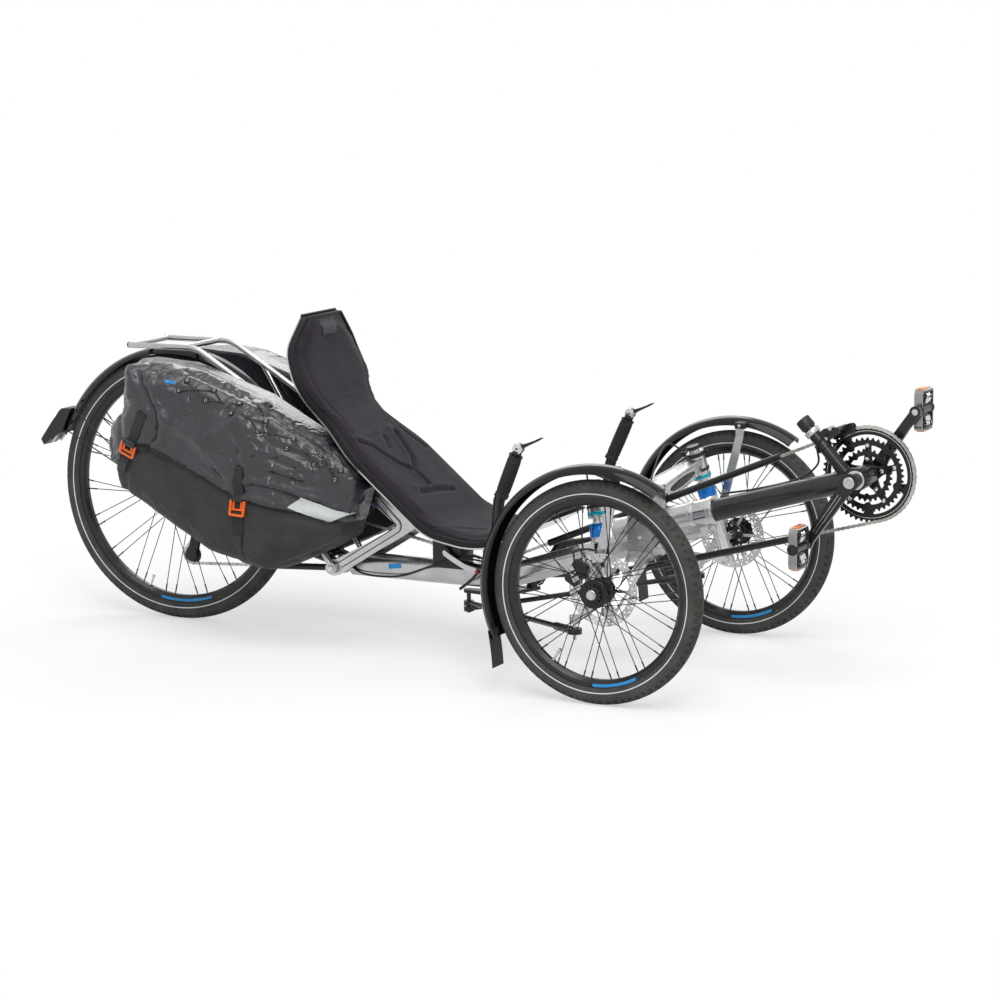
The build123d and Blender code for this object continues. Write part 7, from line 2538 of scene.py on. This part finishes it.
    def post(self) -> None:
        """The bright ring under the derailleur post's cap, and the cap's rounded top."""
        low, high = at(421, 0, 468), at(321, 0, 577)
        way = (high - low).normalized()
        ring = Part("post_ring", Look.FORGED, "frame", "silver_alloy", sharp=30)
        ring.drum(high - way * 0.026, way, 0.0178, 0.0125, 40, bevel=0.0014)
        ring.done()
        cap = Part("post_cap", Look.PLASTIC, "frame", "black_plastic", sharp=30)
        cap.drum(high - way * 0.0015, way, 0.0168, 0.0255, 36, bevel=0.0026)
        cap.done()


# ---------------------------------------------------------------- main


@dataclass
class Studio:
    """The floor, the light and the camera of the photograph.

    Attributes:
        eye: The camera's place as (ahead, left, up) in millimetres.
        aim: What it looks at.
        roll: Its roll in degrees.
        lens: Its focal length in millimetres.
    """

    eye: Point3 = (2641.3, -6039.6, 1522.5)
    aim: Point3 = (-430.7, 0.0, 354.5)
    roll: float = -0.58
    lens: float = 106.92

    def build(self) -> None:
        """Make the whole studio."""
        self.camera()
        self.floor()
        self.lamps()

    def camera(self) -> None:
        """Stand the camera where the photograph was taken from."""
        eye, aim = at(*self.eye), at(*self.aim)
        ahead = (aim - eye).normalized()
        right = ahead.cross(UPWARD).normalized()
        up = right.cross(ahead)
        turn = math.radians(self.roll)
        level = right * math.cos(turn) + up * math.sin(turn)
        rise = up * math.cos(turn) - right * math.sin(turn)
        data = bpy.data.cameras.new("camera")
        data.lens = self.lens
        data.sensor_width = 36.0
        data.clip_start, data.clip_end = 0.1, 1200.0
        camera = bpy.data.objects.new("camera", data)
        camera.matrix_world = Matrix.Translation(eye) @ Matrix((level, rise, -ahead)).transposed().to_4x4()
        link(camera)
        bpy.context.scene.camera = camera

    def floor(self) -> None:
        """A wide pale floor that keeps the shadow and runs out to the horizon."""
        bm = bmesh.new()
        bmesh.ops.create_grid(bm, x_segments=2, y_segments=2, size=900.0)
        mesh = bpy.data.meshes.new("floor")
        bm.to_mesh(mesh)
        bm.free()
        obj = bpy.data.objects.new("floor", mesh)
        link(obj)
        shader = Shader("pale_floor")
        shader.feed("Base Color", (0.97, 0.97, 0.97))
        shader.feed("Roughness", 1.0)
        shader.feed("Specular IOR Level", 0.0)
        tree = shader.material.node_tree
        behind = 0.43
        across = shader.axis("X") - FRONT_X_MM * MM + behind
        away = (across * across * 0.45 + shader.axis("Y") * shader.axis("Y")) ** 0.5
        glow = tree.nodes.new("ShaderNodeEmission")
        glow.inputs["Color"].default_value = (1, 1, 1, 1)
        mix = tree.nodes.new("ShaderNodeMixShader")
        lit = next(n for n in tree.nodes if n.type == "BSDF_PRINCIPLED")
        out = next(n for n in tree.nodes if n.type == "OUTPUT_MATERIAL")
        tree.links.new(((away.step(0.9, 2.4) * 0.48 + 0.52) * Val(shader, self._seen(tree))).socket, mix.inputs[0])
        tree.links.new(lit.outputs[0], mix.inputs[1])
        tree.links.new(glow.outputs[0], mix.inputs[2])
        tree.links.new(mix.outputs[0], out.inputs["Surface"])
        mesh.materials.append(shader.material)

    def lamps(self) -> None:
        """A broad high sun, two soft panels and a pale world."""
        for name, place, size, power in (("key_panel", (2.2, -3.4, 3.2), 1.8, 70.0),
                                         ("back_panel", (-1.8, 3.4, 3.4), 2.4, 50.0)):
            data = bpy.data.lights.new(name, "AREA")
            data.size = size
            data.energy = power
            self._aim(bpy.data.objects.new(name, data), place)
        data = bpy.data.lights.new("sky_panel", "SUN")
        data.energy = 1.1
        data.angle = math.radians(42)
        self._aim(bpy.data.objects.new("sky_panel", data), (0.9, -1.6, 6.0))
        self._world()
        bpy.context.scene.view_settings.view_transform = "Standard"

    def _aim(self, lamp: bpy.types.Object, place: Sequence[float]) -> None:
        """Hang a lamp and point it at the trike's middle."""
        lamp.location = place
        lamp.rotation_euler = (Vector((0.0, 0.0, 0.35)) - lamp.location).to_track_quat("-Z", "Y").to_euler()
        link(lamp)

    def _seen(self, tree: bpy.types.NodeTree) -> bpy.types.NodeSocket:
        """One for rays from the camera and in reflections, else zero."""
        path = tree.nodes.new("ShaderNodeLightPath")
        seen = path.outputs["Is Camera Ray"]
        for name in ("Is Glossy Ray", "Is Transmission Ray"):
            either = tree.nodes.new("ShaderNodeMath")
            either.operation = "MAXIMUM"
            tree.links.new(seen, either.inputs[0])
            tree.links.new(path.outputs[name], either.inputs[1])
            seen = either.outputs[0]
        return seen

    def _world(self) -> None:
        """A world that lights plainly and shows white to the camera and in reflections."""
        world = bpy.data.worlds.new("studio")
        bpy.context.scene.world = world
        world.use_nodes = True
        tree = world.node_tree
        tree.nodes.clear()
        mix = tree.nodes.new("ShaderNodeMixShader")
        tree.links.new(self._seen(tree), mix.inputs[0])
        for slot, (colour, strength) in enumerate((((0.98, 0.99, 1.0, 1), 0.5), ((1, 1, 1, 1), 1.0)), start=1):
            back = tree.nodes.new("ShaderNodeBackground")
            back.inputs[0].default_value = colour
            back.inputs[1].default_value = strength
            tree.links.new(back.outputs[0], mix.inputs[slot])
        out = tree.nodes.new("ShaderNodeOutputWorld")
        tree.links.new(mix.outputs[0], out.inputs[0])


@dataclass
class BareMetal:
    """Finishes for the solids that show as they are."""

    nodes: dict[str, Look] = field(default_factory=lambda: {
        "main_frame": Look.TUBE_SILVER, "boom": Look.BOOM_GREY, "derailleur_post": Look.BLACK_METAL,
        "front_derailleur": Look.BLACK_METAL, "strut_towers": Look.FORGED, "lower_arms": Look.FORGED,
        "chain": Look.CHAIN_STEEL, "chain_tubes": Look.SLEEVE, "chain_idler": Look.PLASTIC,
        "rear_derailleur": Look.BLACK_METAL, "seat_shell": Look.FENDER, "seat_pad": Look.SEAT,
        "seat_brackets": Look.FORGED, "seat_clamp": Look.BLACK_METAL, "swingarm": Look.BOOM_GREY,
        "rear_shock": Look.BLACK_METAL, "rack": Look.TUBE_SILVER, "rear_fender": Look.FENDER,
        "rear_light": Look.PLASTIC, "pannier_left": Look.BAG_TOP, "pannier_right": Look.BAG_TOP,
        "pannier_buckles": Look.ORANGE, "handlebar": Look.BLACK_METAL, "grips": Look.GRIP,
        "bar_end_controls": Look.STEEL, "tie_rod_left": Look.BLACK_METAL, "tie_rod_right": Look.BLACK_METAL,
        "rear_rim": Look.RIM_BLACK, "cassette": Look.STEEL, "crank_arms": Look.BLACK_METAL,
        "chainrings": Look.BLACK_METAL, "pedal_left": Look.PLASTIC, "pedal_right": Look.PLASTIC,
        **{f"{kind}_{side.word}": look for side in Side for kind, look in (
            ("knuckle", Look.FORGED), ("strut", Look.STEEL), ("brake_caliper", Look.BLACK_METAL),
            ("front_fender", Look.FENDER), ("front_rim", Look.RIM_BLACK), ("brake_disc", Look.DISC_STEEL))},
    })

    def build(self, frame: dict) -> None:
        """Give every named solid its finish.

        Args:
            frame: The loaded frame.
        """
        for name, look in self.nodes.items():
            mesh = frame["nodes"][name].data
            mesh.materials.clear()
            mesh.materials.append(look.material())


def wheels() -> Iterable[Wheel]:
    """The trike's three wheels.

    Returns:
        A Wheel for each front side and the rear.
    """
    for side in Side:
        s = side.value
        outline = ((AXLE_BORE_MM, -27), (21, -27), (22, -26), (22, -19.8), (28.5, -19.2), (29, -18.4), (29, -16),
                   (28, -15.2), (15, -12.6), (13, -10), (12.5, 0), (13, 12), (16, 15.5), (31, 18), (32, 19), (32, 22),
                   (31, 23), (19, 24.5), (18, 26), (16.5, 32), (15.5, 33), (AXLE_BORE_MM, 33))
        yield Wheel(f"front_{side.word}", f"front_wheel_{side.word}",
                    at(0, s * HALF_TRACK_MM, FRONT_AXLE_Z_MM), FRONT_TYRE_MM, 44.0, 207.0,
                    ((s * -17.2, 26.0), (s * 20.0, 29.0)), tuple((r, s * y) for r, y in outline), 168)
    rear = ((AXLE_BORE_MM, -58), (10, -58), (11, -57), (11, -39), (16, -37.5), (29, -36.5), (30, -35.5), (30, -33),
            (29, -32), (14, -28.5), (13, -26), (13, 19), (14, 22), (29, 24), (30, 25), (30, 27.5), (29, 28.5),
            (16, 29), (16, 61), (15, 62), (AXLE_BORE_MM, 62))
    yield Wheel("rear", "rear_wheel", at(*REAR_HUB_MM), REAR_TYRE_MM, 46.0, 287.0, ((-34.0, 27.0), (26.0, 27.0)), rear,
                208)


def main() -> None:
    """Load the frame and dress it."""
    logging.basicConfig(level=logging.INFO, format="%(name)s: %(message)s")
    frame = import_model()
    Studio().build()
    BareMetal().build(frame)
    for wheel in wheels():
        wheel.build()
    for side in Side:
        FrontEnd(side).build()
    RearEnd().build()
    Frame().build(frame)
    Drivetrain().build()
    Cockpit().build()
    Seat().build(frame)
    bags(frame)


if __name__ == "__main__":
    main()
